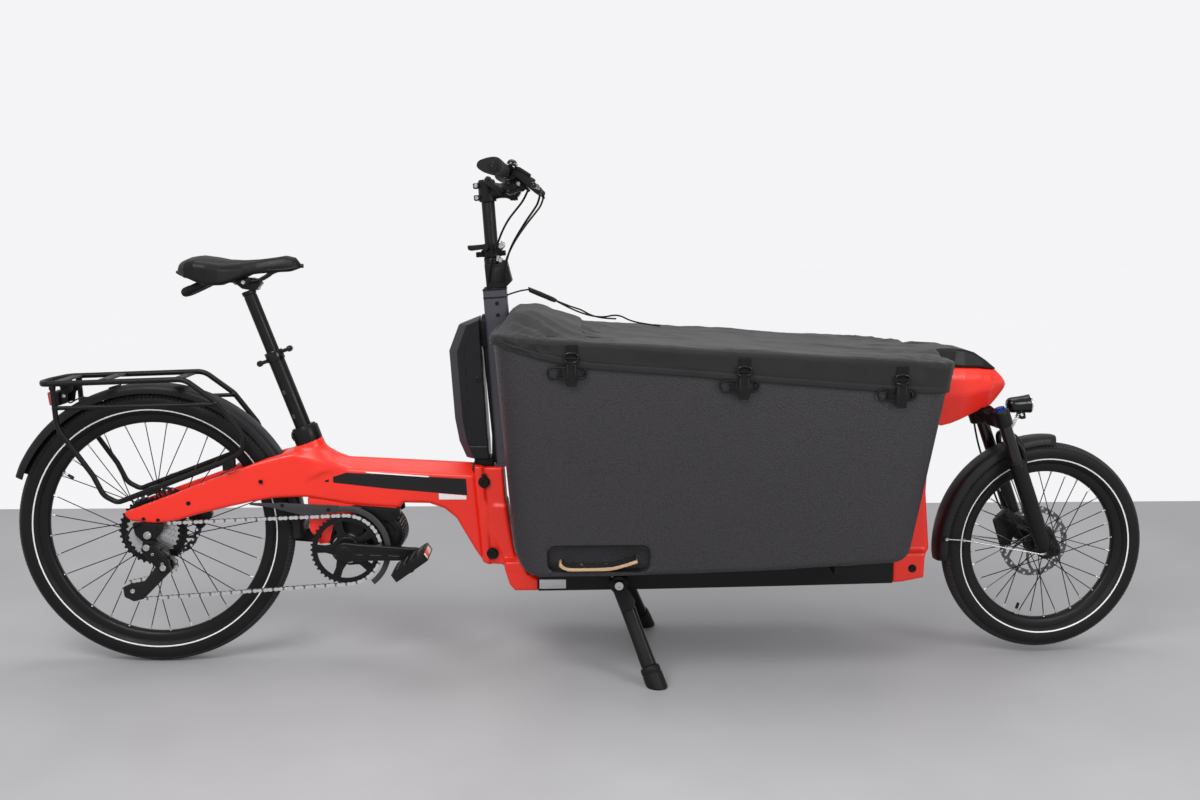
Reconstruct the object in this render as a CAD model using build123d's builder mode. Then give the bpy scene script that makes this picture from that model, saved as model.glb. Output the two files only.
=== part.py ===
from build123d import *
from math import acos, asin, atan2, cos, degrees, hypot, pi, radians, sin, sqrt, tan
import os

os.makedirs("parts", exist_ok=True)

# ----------------------------------------------------------------------------
# Driving dimensions, millimetres.  +X forward, +Y to the rider's left, +Z up.
# Stations along the bicycle are counted from the rear axle, whose own X is X0.
# ----------------------------------------------------------------------------
X0 = -1053.0  # rear axle, so that the origin is mid-length on the ground

REAR_Z, REAR_R, REAR_BEAD = 334.5, 334.5, 279.5  # 26 inch wheel, 55-559 tyre
FRONT_X, FRONT_Z, FRONT_R, FRONT_BEAD = 2183.0, 274.0, 258.0, 203.0  # 20 inch, 55-406
TYRE_W = 54.0
SPOKES = 32

STAY_Y = 78.0  # outer face of the rear stays
BEAM_Y = 42.0  # half width of the main beam
CHASSIS_Y = 80.0  # half width of the beam under the box
DROPOUT = 71.0  # half of the rear hub width

CRANK_X, CRANK_Z, CRANK_LEN = 466.5, 289.5, 170.0
CRANK_DROP = 2.5  # degrees that the right crank points below forward
CHAIN_PITCH = 12.7
RING_TEETH, COG_TEETH = 42, 11
CHAINLINE = -56.0
COG_Y = -56.0
PEDAL_TILT = 35.0

SEAT_TILT = 20.0  # seatpost, degrees behind vertical
SEAT_AXIS_X, SEAT_AXIS_Z = 361.5, 584.5

MAST_TILT = 3.8  # steering mast, degrees behind vertical
MAST_X, MAST_TOP = 830.5, 915.0
MAST_SIDE, MAST_DEPTH, MAST_WALL = 58.0, 56.0, 3.0

HEAD_TILT = 20.0  # steering axis of the fork, degrees behind vertical
FORK_AXIS_X, FORK_AXIS_Z = 2005.0, 622.0
FORK_OFFSET = 28.0  # legs ahead of the steering axis
LEG_Y, STANCHION_R, LEG_R = 66.0, 15.0, 18.5
STEER = 6.0  # stored with the steering turned this far to the left

BOX_LOW, BOX_HIGH = 275.0, 297.0  # half widths at the bottom and the rim
BOX_WALL = 4.5

STAND_X, STAND_Z = 1123.0, 222.0
FOOT_X, FOOT_Y = 1208.0, 225.0
STAND_R = 19.0

SIDE = Plane(origin=(X0, 0, 0), x_dir=(1, 0, 0), z_dir=(0, -1, 0))


def P(x, y, z):
    """A point given by its station, lateral position and height."""
    return Vector(X0 + x, y, z)


def lean(angle, x, z, along, ahead=0.0):
    """Station and height of a point up a line that leans back, and ahead of it."""
    a = radians(angle)
    return (x - along * sin(a) + ahead * cos(a), z + along * cos(a) + ahead * sin(a))


def slab(points, y0, y1, mode=Mode.ADD):
    """A side outline of stations and heights, as thick as y0 to y1."""
    with BuildSketch(SIDE.offset(-y1)) as outline:
        with BuildLine():
            Polyline(*points, close=True)
        make_face()
    extrude(outline.sketch, amount=y1 - y0, mode=mode)


def soft_slab(points, radius, y0, y1, mode=Mode.ADD):
    """The same, with every corner of the outline rounded."""
    with BuildSketch(SIDE.offset(-y1)) as outline:
        with BuildLine():
            FilletPolyline(*points, radius=radius, close=True)
        make_face()
    extrude(outline.sketch, amount=y1 - y0, mode=mode)


def disc(x, z, r, y0, y1, mode=Mode.ADD):
    """A cylinder across the bicycle."""
    with BuildSketch(SIDE.offset(-y1)) as outline:
        with Locations((x, z)):
            Circle(r)
    extrude(outline.sketch, amount=y1 - y0, mode=mode)


def turned(x, z, points, mode=Mode.ADD):
    """Points of (lateral, radius) turned about a crosswise axis."""
    with BuildSketch(Plane(origin=P(x, 0, z), x_dir=(0, 1, 0), z_dir=(1, 0, 0))) as half:
        with BuildLine():
            Polyline(*points, close=True)
        make_face()
    revolve(half.sketch, axis=Axis(P(x, 0, z), (0, 1, 0)), mode=mode)


def rod(points, radius, bends=0.0, wall=0.0, mode=Mode.ADD):
    """A round bar or tube along straight runs with rounded corners."""
    with BuildLine() as route:
        if len(points) > 2:
            FilletPolyline(*points, radius=bends)
        else:
            Line(points[0], points[1])
    with BuildSketch(Plane(origin=route.line @ 0, z_dir=route.line % 0)) as section:
        Circle(radius)
        if wall:
            Circle(radius - wall, mode=Mode.SUBTRACT)
    sweep(section.sketch, path=route.line, mode=mode)


def tyre_body(x, z, outer, bead):
    """A casing open at its beads, on a crosswise axis."""
    centre, half = outer - TYRE_W / 2, TYRE_W / 2
    with BuildSketch(Plane(origin=P(x, 0, z), x_dir=(0, 1, 0), z_dir=(1, 0, 0))) as cut:
        with Locations((0, centre)):
            Circle(half)
        with BuildLine():
            Polyline((-12.4, bead), (-12.4, bead + 6.8), (-half + 1.2, centre - 6), (half - 1.2, centre - 6), (12.4, bead + 6.8), (12.4, bead), close=True)
        make_face()
        with Locations((-22.4, bead - 3.2), (22.4, bead - 3.2)):
            Rectangle(20, 20, mode=Mode.SUBTRACT)
        with Locations((0, centre)):
            Circle(half - 3.4, mode=Mode.SUBTRACT)
        with BuildLine():
            Polyline((-8.8, bead - 1), (-8.8, bead + 6.8), (-half + 4.8, centre - 6), (half - 4.8, centre - 6), (8.8, bead + 6.8), (8.8, bead - 1), close=True)
        make_face(mode=Mode.SUBTRACT)
    revolve(cut.sketch, axis=Axis(P(x, 0, z), (0, 1, 0)))


def rim_body(x, z, bead):
    """A channel rim: flanges outside the beads, a well between them."""
    turned(x, z, [
        (-14.6, bead + 6.4), (-12.6, bead + 6.4), (-12.6, bead - 0.1), (-8.6, bead - 0.1), (-7.4, bead - 13), (-5, bead - 15.6),
        (5, bead - 15.6), (7.4, bead - 13), (8.6, bead - 0.1), (12.6, bead - 0.1), (12.6, bead + 6.4), (14.6, bead + 6.4),
        (14.6, bead - 5), (10, bead - 17.5), (6, bead - 18.6), (-6, bead - 18.6), (-10, bead - 17.5), (-14.6, bead - 5)])


def spoke_set(x, z, bead, flange_r, flange_y, count, crossed):
    """Crossed spokes from two flanges to the rim, 2 mm wire."""
    per_side = count // 2
    step = 360.0 / per_side
    for side, y in enumerate(flange_y):
        for k in range(per_side):
            start = k * step + side * step / 2
            lead = crossed if k % 2 == 0 else -crossed
            y_hub = y + (2.6 if k % 2 == 0 else -2.6) * (1 if y > 0 else -1)
            a, b = radians(start), radians(start + lead)
            r_end = bead - 17.6
            rod([P(x + flange_r * cos(a), y_hub, z + flange_r * sin(a)),
                 P(x + r_end * cos(b), 2.5 if y > 0 else -2.5, z + r_end * sin(b))], 1.0)


def belt(circles, grow=0.0):
    """Closed loop round circles (x, z, r, turn), turn +1 anticlockwise."""
    pts = []
    count = len(circles)
    for i in range(count):
        x1, z1, r1, s1 = circles[i]
        x2, z2, r2, s2 = circles[(i + 1) % count]
        r1, r2 = r1 + s1 * grow, r2 + s2 * grow
        dx, dz = x2 - x1, z2 - z1
        length = hypot(dx, dz)
        t = atan2(dz, dx) - asin((s2 * r2 - s1 * r1) / length)
        nx, nz = -sin(t), cos(t)
        pts.append(((x1 - s1 * r1 * nx, z1 - s1 * r1 * nz), (x2 - s2 * r2 * nx, z2 - s2 * r2 * nz)))
    return pts


# ----------------------------------------------------------------------------
# Rear frame: two stays that join ahead of the wheel into one broad beam, with
# the seat tube's boss, the motor bracket and the bolted flange at its front.
# ----------------------------------------------------------------------------
stay_and_beam = [
    (-54, 398), (-17, 419), (92, 455), (191, 486), (248, 504), (310, 521), (345, 530), (432, 522), (470, 509), (598, 502), (757, 493), (779, 491),
    (778, 470), (784, 400), (792, 301), (795, 254), (778, 279), (754, 321), (731, 362), (703, 385), (667, 398), (605, 400), (595, 388), (475, 395),
    (373, 417), (296, 417), (244, 410), (192, 399), (114, 381), (62, 366), (21, 361), (-40, 367), (-54, 380)]
with BuildPart() as rear_frame:
    slab(stay_and_beam, -STAY_Y, STAY_Y)
    # Width seen from above: wide at the axle, narrow along the beam.
    with BuildSketch(Plane(origin=(X0, 0, 200), x_dir=(1, 0, 0), z_dir=(0, 0, 1))) as plan:
        with BuildLine():
            Polyline((-60, -STAY_Y), (70, -STAY_Y), (250, -66), (350, -50), (450, -BEAM_Y), (800, -BEAM_Y),
                     (800, BEAM_Y), (450, BEAM_Y), (350, 50), (250, 66), (70, STAY_Y), (-60, STAY_Y), close=True)
        make_face()
    extrude(plan.sketch, amount=400, mode=Mode.INTERSECT)
    # Space between the stays for the wheel and its mudguard.
    with BuildSketch(Plane(origin=(X0, 0, 200), x_dir=(1, 0, 0), z_dir=(0, 0, 1))) as wheel_space:
        with BuildLine():
            Polyline((-70, -DROPOUT), (58, -DROPOUT), (110, -60), (250, -44), (300, -39), (300, 39), (250, 44), (110, 60), (58, DROPOUT), (-70, DROPOUT), close=True)
        make_face()
    extrude(wheel_space.sketch, amount=400, mode=Mode.SUBTRACT)
    disc(0, REAR_Z, 366, -39, 39, mode=Mode.SUBTRACT)
    # Seat tube boss.
    low = lean(SEAT_TILT, SEAT_AXIS_X, SEAT_AXIS_Z, -40)
    with BuildSketch(Plane(origin=P(low[0], 0, low[1]), x_dir=(0, 1, 0), z_dir=(-sin(radians(SEAT_TILT)), 0, cos(radians(SEAT_TILT))))) as boss:
        Circle(33)
    extrude(boss.sketch, amount=-60, taper=-14)
    # Motor bracket, one red plate each side.
    for y0, y1 in ((-41, -36.5), (36.5, 41)):
        slab([(374, 418), (378, 335), (400, 300), (424, 303), (436, 350), (470, 372), (588, 376), (592, 390), (475, 397)], y0, y1)
    # Bore that holds the seatpost.
    with BuildSketch(Plane(origin=P(low[0], 0, low[1]), x_dir=(0, 1, 0), z_dir=(-sin(radians(SEAT_TILT)), 0, cos(radians(SEAT_TILT))))) as post_bore:
        Circle(19.4)
    extrude(post_bore.sketch, amount=-90, mode=Mode.SUBTRACT)
rear_frame.part.label = "rear_frame"
export_step(rear_frame.part, "parts/rear_frame.step")

# Dropout plates that hang below the stays, and the thru axle they hold.
with BuildPart() as rear_dropouts:
    for y0, y1 in ((-STAY_Y, -DROPOUT - 0.2), (DROPOUT + 0.2, STAY_Y)):
        slab([(-37, 366.4), (21, 360.7), (39, 362.6), (34, 344), (14, 320), (-12, 316), (-30, 334)], y0, y1)
    disc(0, REAR_Z, 6.0, -100, 100, mode=Mode.SUBTRACT)
    # Thru axle with its bolt heads.
    disc(0, REAR_Z, 6.0, -STAY_Y, STAY_Y)
    disc(0, REAR_Z, 9.5, -STAY_Y - 7, -STAY_Y)
    disc(0, REAR_Z, 9.5, STAY_Y, STAY_Y + 6)
rear_dropouts.part.label = "rear_dropouts"
export_step(rear_dropouts.part, "parts/rear_dropouts.step")

# ----------------------------------------------------------------------------
# Coupling between the rear frame and the mast, chassis beam under the box.
# ----------------------------------------------------------------------------
with BuildPart() as frame_coupling:
    slab([(779.2, 491), (800, 487), (846, 487), (852, 400), (866, 300), (872, 270), (892, 258), (905, 232), (930, 216), (930, 190), (875, 190),
          (862, 203), (849, 245), (806, 247), (795.2, 254), (792.2, 301), (784.2, 400), (778.2, 470)], -48, 48)
    slab([(849, 262), (849, 245), (861, 205), (874, 190), (930, 190), (930, 216), (905, 230), (889, 262)], -CHASSIS_Y, CHASSIS_Y)
    for x, z in ((801, 452), (819, 275)):
        disc(x, z, 15, -50, 50)
frame_coupling.part.label = "frame_coupling"
export_step(frame_coupling.part, "parts/frame_coupling.step")

with BuildPart() as chassis_beam:
    slab([(930.2, 190), (1203, 192), (1531, 197), (1790, 202), (1790, 268), (1530, 268), (1109, 262), (930.2, 262)], -CHASSIS_Y, CHASSIS_Y)
    slab([(900, 195), (1830, 208), (1830, 262), (1530, 262), (1109, 256), (900, 256)], -CHASSIS_Y + 5, CHASSIS_Y - 5, mode=Mode.SUBTRACT)
    # Cross rails that carry the box.
    for x, low, high in ((1000, 258, 277.5), (1650, 262, 295.5)):
        with Locations(P(x, 0, (low + high) / 2)):
            Box(60, 420, high - low)
    # Plates beside the beam that hold the stand's axle.
    for side in (-1, 1):
        y0, y1 = (-106, -98) if side < 0 else (98, 106)
        soft_slab([(1096, 262), (1150, 262), (1142, 208), (1104, 208)], 5, y0, y1)
    with Locations(P(STAND_X, 0, 258)):
        Box(54, 2 * 98.2, 8)
    slab([(1096, 256), (1150, 256), (1150, 250), (1096, 250)], -CHASSIS_Y + 5, CHASSIS_Y - 5, mode=Mode.SUBTRACT)
    disc(STAND_X, STAND_Z, 8.05, -120, 120, mode=Mode.SUBTRACT)
chassis_beam.part.label = "chassis_beam"
export_step(chassis_beam.part, "parts/chassis_beam.step")

# Front frame: foot casting, upright ahead of the box and the head tube.
head_lo, head_hi = lean(HEAD_TILT, FORK_AXIS_X, FORK_AXIS_Z, 8), lean(HEAD_TILT, FORK_AXIS_X, FORK_AXIS_Z, 118)
head_up = (-sin(radians(HEAD_TILT)), 0, cos(radians(HEAD_TILT)))
with BuildPart() as front_frame:
    slab([(1790.2, 202), (1812, 203), (1868, 214), (1880, 268), (1886, 279), (1874, 421), (1880, 560), (1916, 622), (1905, 690),
          (1888, 640), (1874, 560), (1858, 440), (1838, 330), (1808, 300), (1790.2, 292)], -52, 52)
    slab([(1790.2, 202), (1809, 203), (1868, 214), (1870, 264), (1790.2, 276)], -CHASSIS_Y, CHASSIS_Y)
    slab([(1890, 585), (1918, 600), (2000, 652), (1968, 724), (1900, 700)], -24, 24)
    with BuildSketch(Plane(origin=P(head_lo[0], 0, head_lo[1]), x_dir=(0, 1, 0), z_dir=head_up)) as head:
        Circle(25)
    extrude(head.sketch, amount=100)
    with BuildSketch(Plane(origin=P(head_lo[0], 0, head_lo[1]), x_dir=(0, 1, 0), z_dir=head_up)) as head_bore:
        Circle(14.35)
    extrude(head_bore.sketch, amount=110, mode=Mode.SUBTRACT)
front_frame.part.label = "front_frame"
export_step(front_frame.part, "parts/front_frame.step")

# Nose fairing: a shell over the head tube, open below for the fork.
nose_side = [(1884, 596), (1908, 598), (1944, 613), (2004, 638), (2042, 660), (2071, 677), (2052, 706), (2028, 727), (1990, 738), (1921, 741), (1884, 741)]
with BuildPart() as nose_fairing:
    slab(nose_side, -74, 74)
    with BuildSketch(Plane(origin=(X0, 0, 500), x_dir=(1, 0, 0), z_dir=(0, 0, 1))) as nose_plan:
        with BuildLine():
            Polyline((1870, -74), (1950, -72), (2020, -54), (2064, -25), (2076, -8), (2076, 8), (2064, 25), (2020, 54), (1950, 72), (1870, 74), close=True)
        make_face()
    extrude(nose_plan.sketch, amount=300, mode=Mode.INTERSECT)
    with BuildPart(mode=Mode.PRIVATE) as nose_space:
        slab([(1870, 560), (1908, 580), (1944, 600), (2004, 630), (2038, 652), (2064, 677), (2048, 702), (2024, 723), (1988, 734), (1921, 737), (1870, 737)], -70, 70)
        with BuildSketch(Plane(origin=(X0, 0, 500), x_dir=(1, 0, 0), z_dir=(0, 0, 1))) as inner_plan:
            with BuildLine():
                Polyline((1860, -70), (1949, -68), (2018, -50), (2060, -22), (2071, -7), (2071, 7), (2060, 22), (2018, 50), (1949, 68), (1860, 70), close=True)
            make_face()
        extrude(inner_plan.sketch, amount=300, mode=Mode.INTERSECT)
    add(nose_space.part, mode=Mode.SUBTRACT)
nose_fairing.part.label = "nose_fairing"
export_step(nose_fairing.part, "parts/nose_fairing.step")

# Black lid on the nose.
with BuildPart() as nose_cap:
    slab([(1890, 741.2), (1921, 741.2), (1990, 739.2), (2022, 730.4), (2027, 733), (1993, 755), (1955, 770), (1921, 774), (1890, 774)], -64, 64)
    with BuildSketch(Plane(origin=(X0, 0, 500), x_dir=(1, 0, 0), z_dir=(0, 0, 1))) as cap_plan:
        with BuildLine():
            Polyline((1880, -64), (1950, -60), (2000, -42), (2030, -18), (2030, 18), (2000, 42), (1950, 60), (1880, 64), close=True)
        make_face()
    extrude(cap_plan.sketch, amount=300, mode=Mode.INTERSECT)
nose_cap.part.label = "nose_cap"
export_step(nose_cap.part, "parts/nose_cap.step")

# ----------------------------------------------------------------------------
# Steering mast: square tube on the coupling, with a cap at its top.
# ----------------------------------------------------------------------------
mast_up = (-sin(radians(MAST_TILT)), 0, cos(radians(MAST_TILT)))
MAST_FOOT = (MAST_TOP - 489.0) / cos(radians(MAST_TILT))
with BuildPart() as steering_mast:
    with BuildSketch(Plane(origin=P(MAST_X, 0, MAST_TOP), x_dir=(0, 1, 0), z_dir=mast_up)) as square:
        RectangleRounded(MAST_SIDE, MAST_DEPTH, 8)
        RectangleRounded(MAST_SIDE - 2 * MAST_WALL, MAST_DEPTH - 2 * MAST_WALL, 5, mode=Mode.SUBTRACT)
    extrude(square.sketch, amount=-MAST_FOOT + 3)
    slab([(828, 487.2), (888, 487.2), (888, 492.5), (828, 492.5)], -35, 35)
    with BuildSketch(Plane(origin=P(MAST_X, 0, MAST_TOP), x_dir=(0, 1, 0), z_dir=mast_up)) as lid:
        RectangleRounded(MAST_SIDE, MAST_DEPTH, 8)
        Circle(16.05, mode=Mode.SUBTRACT)
    extrude(lid.sketch, amount=6)
    # Rail on its rear face that the battery locks to.
    a = lean(MAST_TILT, MAST_X, MAST_TOP, -60, -MAST_DEPTH / 2 + 1)
    b = lean(MAST_TILT, MAST_X, MAST_TOP, -420, -MAST_DEPTH / 2 + 1)
    slab([a, b, (b[0] - 13, b[1]), (b[0] - 12, 560), (a[0] - 9, 800), (a[0] - 9, a[1])], -18, 18)
steering_mast.part.label = "steering_mast"
export_step(steering_mast.part, "parts/steering_mast.step")


# ----------------------------------------------------------------------------
# Cargo box and its fabric cover.
# ----------------------------------------------------------------------------
def tub(grow, low_side, rounding):
    """The box's outer form, grown by a distance; low_side is its side outline."""
    with BuildSketch(Plane(origin=(X0, 0, 240), x_dir=(1, 0, 0), z_dir=(0, 0, 1))) as floor_plan:
        with Locations(((888 + 1776) / 2, 0)):
            RectangleRounded(1776 - 888 + 2 * grow, 2 * (BOX_LOW - 3 + grow), rounding)
    with BuildSketch(Plane(origin=(X0, 0, 850), x_dir=(1, 0, 0), z_dir=(0, 0, 1))) as rim_plan:
        with Locations(((836 + 1884) / 2, 0)):
            RectangleRounded(1884 - 836 + 2 * grow, 2 * (BOX_HIGH + 2 + grow), rounding)
    loft([floor_plan.sketch.face(), rim_plan.sketch.face()])
    slab(low_side, -400, 400, mode=Mode.INTERSECT)


# The channel at the back of the box that the mast stands in.
def mast_channel(margin):
    a = lean(MAST_TILT, MAST_X, MAST_TOP, 20, MAST_DEPTH / 2 + 6 + margin)
    b = lean(MAST_TILT, MAST_X, MAST_TOP, -700, MAST_DEPTH / 2 + 6 + margin)
    slab([(780, a[1]), a, b, (780, b[1])], -MAST_SIDE / 2 - 8 - margin, MAST_SIDE / 2 + 8 + margin, mode=Mode.SUBTRACT)


def box_outline(g):
    """Side outline of the box: level rear floor, rising front, sloping rim."""
    return [(800, 826), (1900, 756), (1900, 600), (1850 + g, 372), (1818 + g, 326 - g), (1766, 306 - g), (1744, 304 - g), (1430, 287 - g), (1109, 278 - g), (935, 278 - g), (902 - g, 292 - g), (878 - g, 330), (800, 600)]


with BuildPart() as cargo_box:
    tub(0.0, box_outline(0.0), 62)
    mast_channel(0.0)
    with BuildPart(mode=Mode.PRIVATE) as hold:
        tub(-BOX_WALL, [(x, z + (40 if z > 700 else 0)) for x, z in box_outline(-BOX_WALL)], 58)
        mast_channel(BOX_WALL)
        for side in (-1, 1):
            with Locations(P(1080, side * 275, 318)):
                Box(236, 80, 72, mode=Mode.SUBTRACT)
    add(hold.part, mode=Mode.SUBTRACT)
    for side in (-1, 1):
        with Locations(P(1080, side * 285, 318)):
            Box(222, 90, 62, mode=Mode.SUBTRACT)
cargo_box.part.label = "cargo_box"
export_step(cargo_box.part, "parts/cargo_box.step")

# Loose fabric cover: a top sheet with a skirt round the rim.
with BuildPart() as box_cover:
    tub(6.0, [(800, 832), (1920, 761), (1920, 690), (1834, 697), (1694, 702), (1339, 733), (1047, 755), (990, 764), (924, 780), (800, 806)], 66)
    slab([(862, 815), (870, 860), (880, 868), (945, 868), (985, 856), (1030, 815)], -150, 150)
    with BuildPart(mode=Mode.PRIVATE) as under_cover:
        tub(2.0, [(790, 829.2), (1930, 757.2), (1930, 650), (790, 650)], 63)
        slab([(866, 800), (873, 858), (882, 865), (944, 865), (982, 853), (1020, 805)], -147, 147)
    add(under_cover.part, mode=Mode.SUBTRACT)
    mast_channel(-3.0)
box_cover.part.label = "box_cover"
export_step(box_cover.part, "parts/box_cover.step")

# Oval wire loops on the box and the webbing straps with ring buckles.
STRAPS = [(1003.0, 746.0), (1381.0, 715.0), (1729.0, 695.0)]


def rim_z(x):
    return 826 - 70 * (x - 800) / 1100


def wall_y(z):
    return BOX_LOW - 3 + (BOX_HIGH - BOX_LOW + 5) * (z - 240) / 610


with BuildPart() as cover_straps:
    # Oval steel loops on the box and the webbing tabs that hook round them.
    for x, z in STRAPS:
        for side in (-1, 1):
            y = side * (wall_y(z) + 9.6)
            rod([P(x - 42, y, z), P(x - 34, y, z + 13), P(x + 34, y, z + 13), P(x + 42, y, z), P(x + 34, y, z - 13), P(x - 34, y, z - 13), P(x - 41.9, y, z - 0.2)], 2.5, 6)
            # Foot of the loop, riveted through the wall of the box.
            with Locations(P(x - 17, side * (wall_y(z) + 3.5), z - 7)):
                Box(6, 11, 20)
            outer = wall_y(z) + 11.6
            with BuildSketch(Plane(origin=P(x - 4, 0, 0), x_dir=(0, 1, 0), z_dir=(1, 0, 0))) as web:
                with BuildLine():
                    Polyline((side * outer, z - 20), (side * (outer + 3), z - 20), (side * (outer + 3), z + 50), (side * outer, z + 50), close=True)
                make_face()
            extrude(web.sketch, amount=28)
cover_straps.part.label = "cover_straps"
export_step(cover_straps.part, "parts/cover_straps.step")

# Plywood steps set into the recesses low on each side.
with BuildPart() as side_steps:
    for side in (-1, 1):
        with BuildSketch(Plane(origin=(X0, 0, 303), x_dir=(1, 0, 0), z_dir=(0, 0, 1))) as tread:
            with Locations((1073, side * 264)):
                RectangleRounded(178, 44, 16)
        extrude(tread.sketch, amount=15)
side_steps.part.label = "side_steps"
export_step(side_steps.part, "parts/side_steps.step")

# ----------------------------------------------------------------------------
# Battery, its rail, the motor and the chain guard.
# ----------------------------------------------------------------------------
with BuildPart() as battery:
    slab([(791, 852), (749, 831), (727, 768), (735, 604), (745, 548), (762, 508), (814, 509), (811, 560)], -46, 46)
    chamfer(battery.edges().filter_by(Axis.Y, reverse=True).group_by(Axis.X)[0], 6)
battery.part.label = "battery"
export_step(battery.part, "parts/battery.step")

with BuildPart() as motor:
    disc(CRANK_X, CRANK_Z, 46, -36, 36)
    disc(545, 321, 60, -36, 36)
    slab([(440, 330), (425, 305), (430, 372), (590, 374), (590, 300), (500, 246), (466, 244)], -36, 36)
    disc(545, 321, 50, -42, 42)
    disc(CRANK_X, CRANK_Z, 12.05, -60, 60, mode=Mode.SUBTRACT)
motor.part.label = "motor"
export_step(motor.part, "parts/motor.step")

GUARD_Y0, GUARD_Y1 = -63.0, -60.0
with BuildPart() as chain_guard:
    disc(CRANK_X, CRANK_Z, 109, GUARD_Y0, GUARD_Y1)
    disc(CRANK_X, CRANK_Z, 95, GUARD_Y0 - 5, GUARD_Y1 + 5, mode=Mode.SUBTRACT)
    reach = 260
    slab([(CRANK_X, CRANK_Z), (CRANK_X + reach * cos(radians(-52)), CRANK_Z + reach * sin(radians(-52))), (400, 20), (200, 100), (200, 420), (440, 420)], GUARD_Y0 - 5, GUARD_Y1 + 5, mode=Mode.SUBTRACT)
    slab([(240, 408), (337, 406), (455, 400), (447, 385), (400, 377), (368, 376), (291, 396), (240, 403)], GUARD_Y0, GUARD_Y1)
    slab([(478, 385), (505, 383), (505, 392), (478, 395.5)], GUARD_Y1, -41.1)
    slab([(306, 399), (330, 397), (330, 406), (306, 407)], GUARD_Y1, -54)
chain_guard.part.label = "chain_guard"
export_step(chain_guard.part, "parts/chain_guard.step")

# ----------------------------------------------------------------------------
# Drivetrain: one chain loop, two side plate bands with the teeth's gap between.
# ----------------------------------------------------------------------------
ring_r = CHAIN_PITCH / 2 / sin(pi / RING_TEETH)
cog_r = CHAIN_PITCH / 2 / sin(pi / COG_TEETH)
PULLEY_HI, PULLEY_LO = (35.0, 256.0), (-49.0, 192.0)
pulley_r = CHAIN_PITCH / 2 / sin(pi / 11)
CHAIN_PLANE = SIDE.offset(-CHAINLINE)
LOOP = [(CRANK_X, CRANK_Z, ring_r, 1), (0.0, REAR_Z, cog_r, 1), (PULLEY_HI[0], PULLEY_HI[1], pulley_r, -1), (PULLEY_LO[0], PULLEY_LO[1], pulley_r, 1)]


def loop_face(grow, plane):
    tangents = belt(LOOP, grow)
    with BuildSketch(plane) as face:
        with BuildLine():
            for i, (a, b) in enumerate(tangents):
                Line(a, b)
                x, z, r, s = LOOP[(i + 1) % len(LOOP)]
                r = r + s * grow
                c = tangents[(i + 1) % len(tangents)][0]
                a0, a1 = atan2(b[1] - z, b[0] - x), atan2(c[1] - z, c[0] - x)
                while s * (a1 - a0) <= 0:
                    a1 += s * 2 * pi
                mid = (a0 + a1) / 2
                ThreePointArc(b, (x + r * cos(mid), z + r * sin(mid)), c)
        make_face()
    return face.sketch


with BuildPart() as chain:
    for start in (1.3, -2.6):
        band_plane = CHAIN_PLANE.offset(start)
        extrude(loop_face(4.2, band_plane), amount=1.3)
        extrude(loop_face(-4.2, band_plane), amount=1.3, mode=Mode.SUBTRACT)
chain.part.label = "chain"
export_step(chain.part, "parts/chain.step")

with BuildPart() as derailleur:
    soft_slab([(-12, 312), (10, 311), (48, 270), (52, 244), (30, 236), (16, 258), (-16, 298)], 4, -88, -70)
    soft_slab([(-11, 323), (14, 323), (12, 302), (-14, 302)], 4, -84, -78.2)
    disc(PULLEY_HI[0], PULLEY_HI[1], 9, -71, -60)
    # Cage plates and the two jockey wheels.
    for y0, y1 in ((-61.2, -59.6), (-52.4, -50.8)):
        soft_slab([(22, 266), (40, 274), (50, 262), (44, 246), (-30, 176), (-50, 170), (-66, 184), (-62, 204)], 7, y0, y1)
    for x, z in (PULLEY_HI, PULLEY_LO):
        disc(x, z, 4, -60, -52)
        disc(x, z, 20.5, COG_Y - 0.6, COG_Y + 0.6)
derailleur.part.label = "derailleur"
export_step(derailleur.part, "parts/derailleur.step")

with BuildPart() as chainring:
    disc(CRANK_X, CRANK_Z, 86.5, CHAINLINE - 0.95, CHAINLINE + 0.95)
    disc(CRANK_X, CRANK_Z, 70, CHAINLINE - 3, CHAINLINE + 3, mode=Mode.SUBTRACT)
    for k in range(5):
        a = radians(-CRANK_DROP + 36 + 72 * k)
        c, s = cos(a), sin(a)
        slab([(CRANK_X + 26 * c - 13 * s, CRANK_Z + 26 * s + 13 * c), (CRANK_X + 71.5 * c - 9 * s, CRANK_Z + 71.5 * s + 9 * c),
              (CRANK_X + 71.5 * c + 9 * s, CRANK_Z + 71.5 * s - 9 * c), (CRANK_X + 26 * c + 13 * s, CRANK_Z + 26 * s - 13 * c)], CHAINLINE - 3, CHAINLINE + 0.95)
    disc(CRANK_X, CRANK_Z, 32, CHAINLINE - 4, CHAINLINE + 4)
    disc(CRANK_X, CRANK_Z, 12.0, CHAINLINE - 10, CHAINLINE + 10, mode=Mode.SUBTRACT)
chainring.part.label = "chainring"
export_step(chainring.part, "parts/chainring.step")

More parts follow.
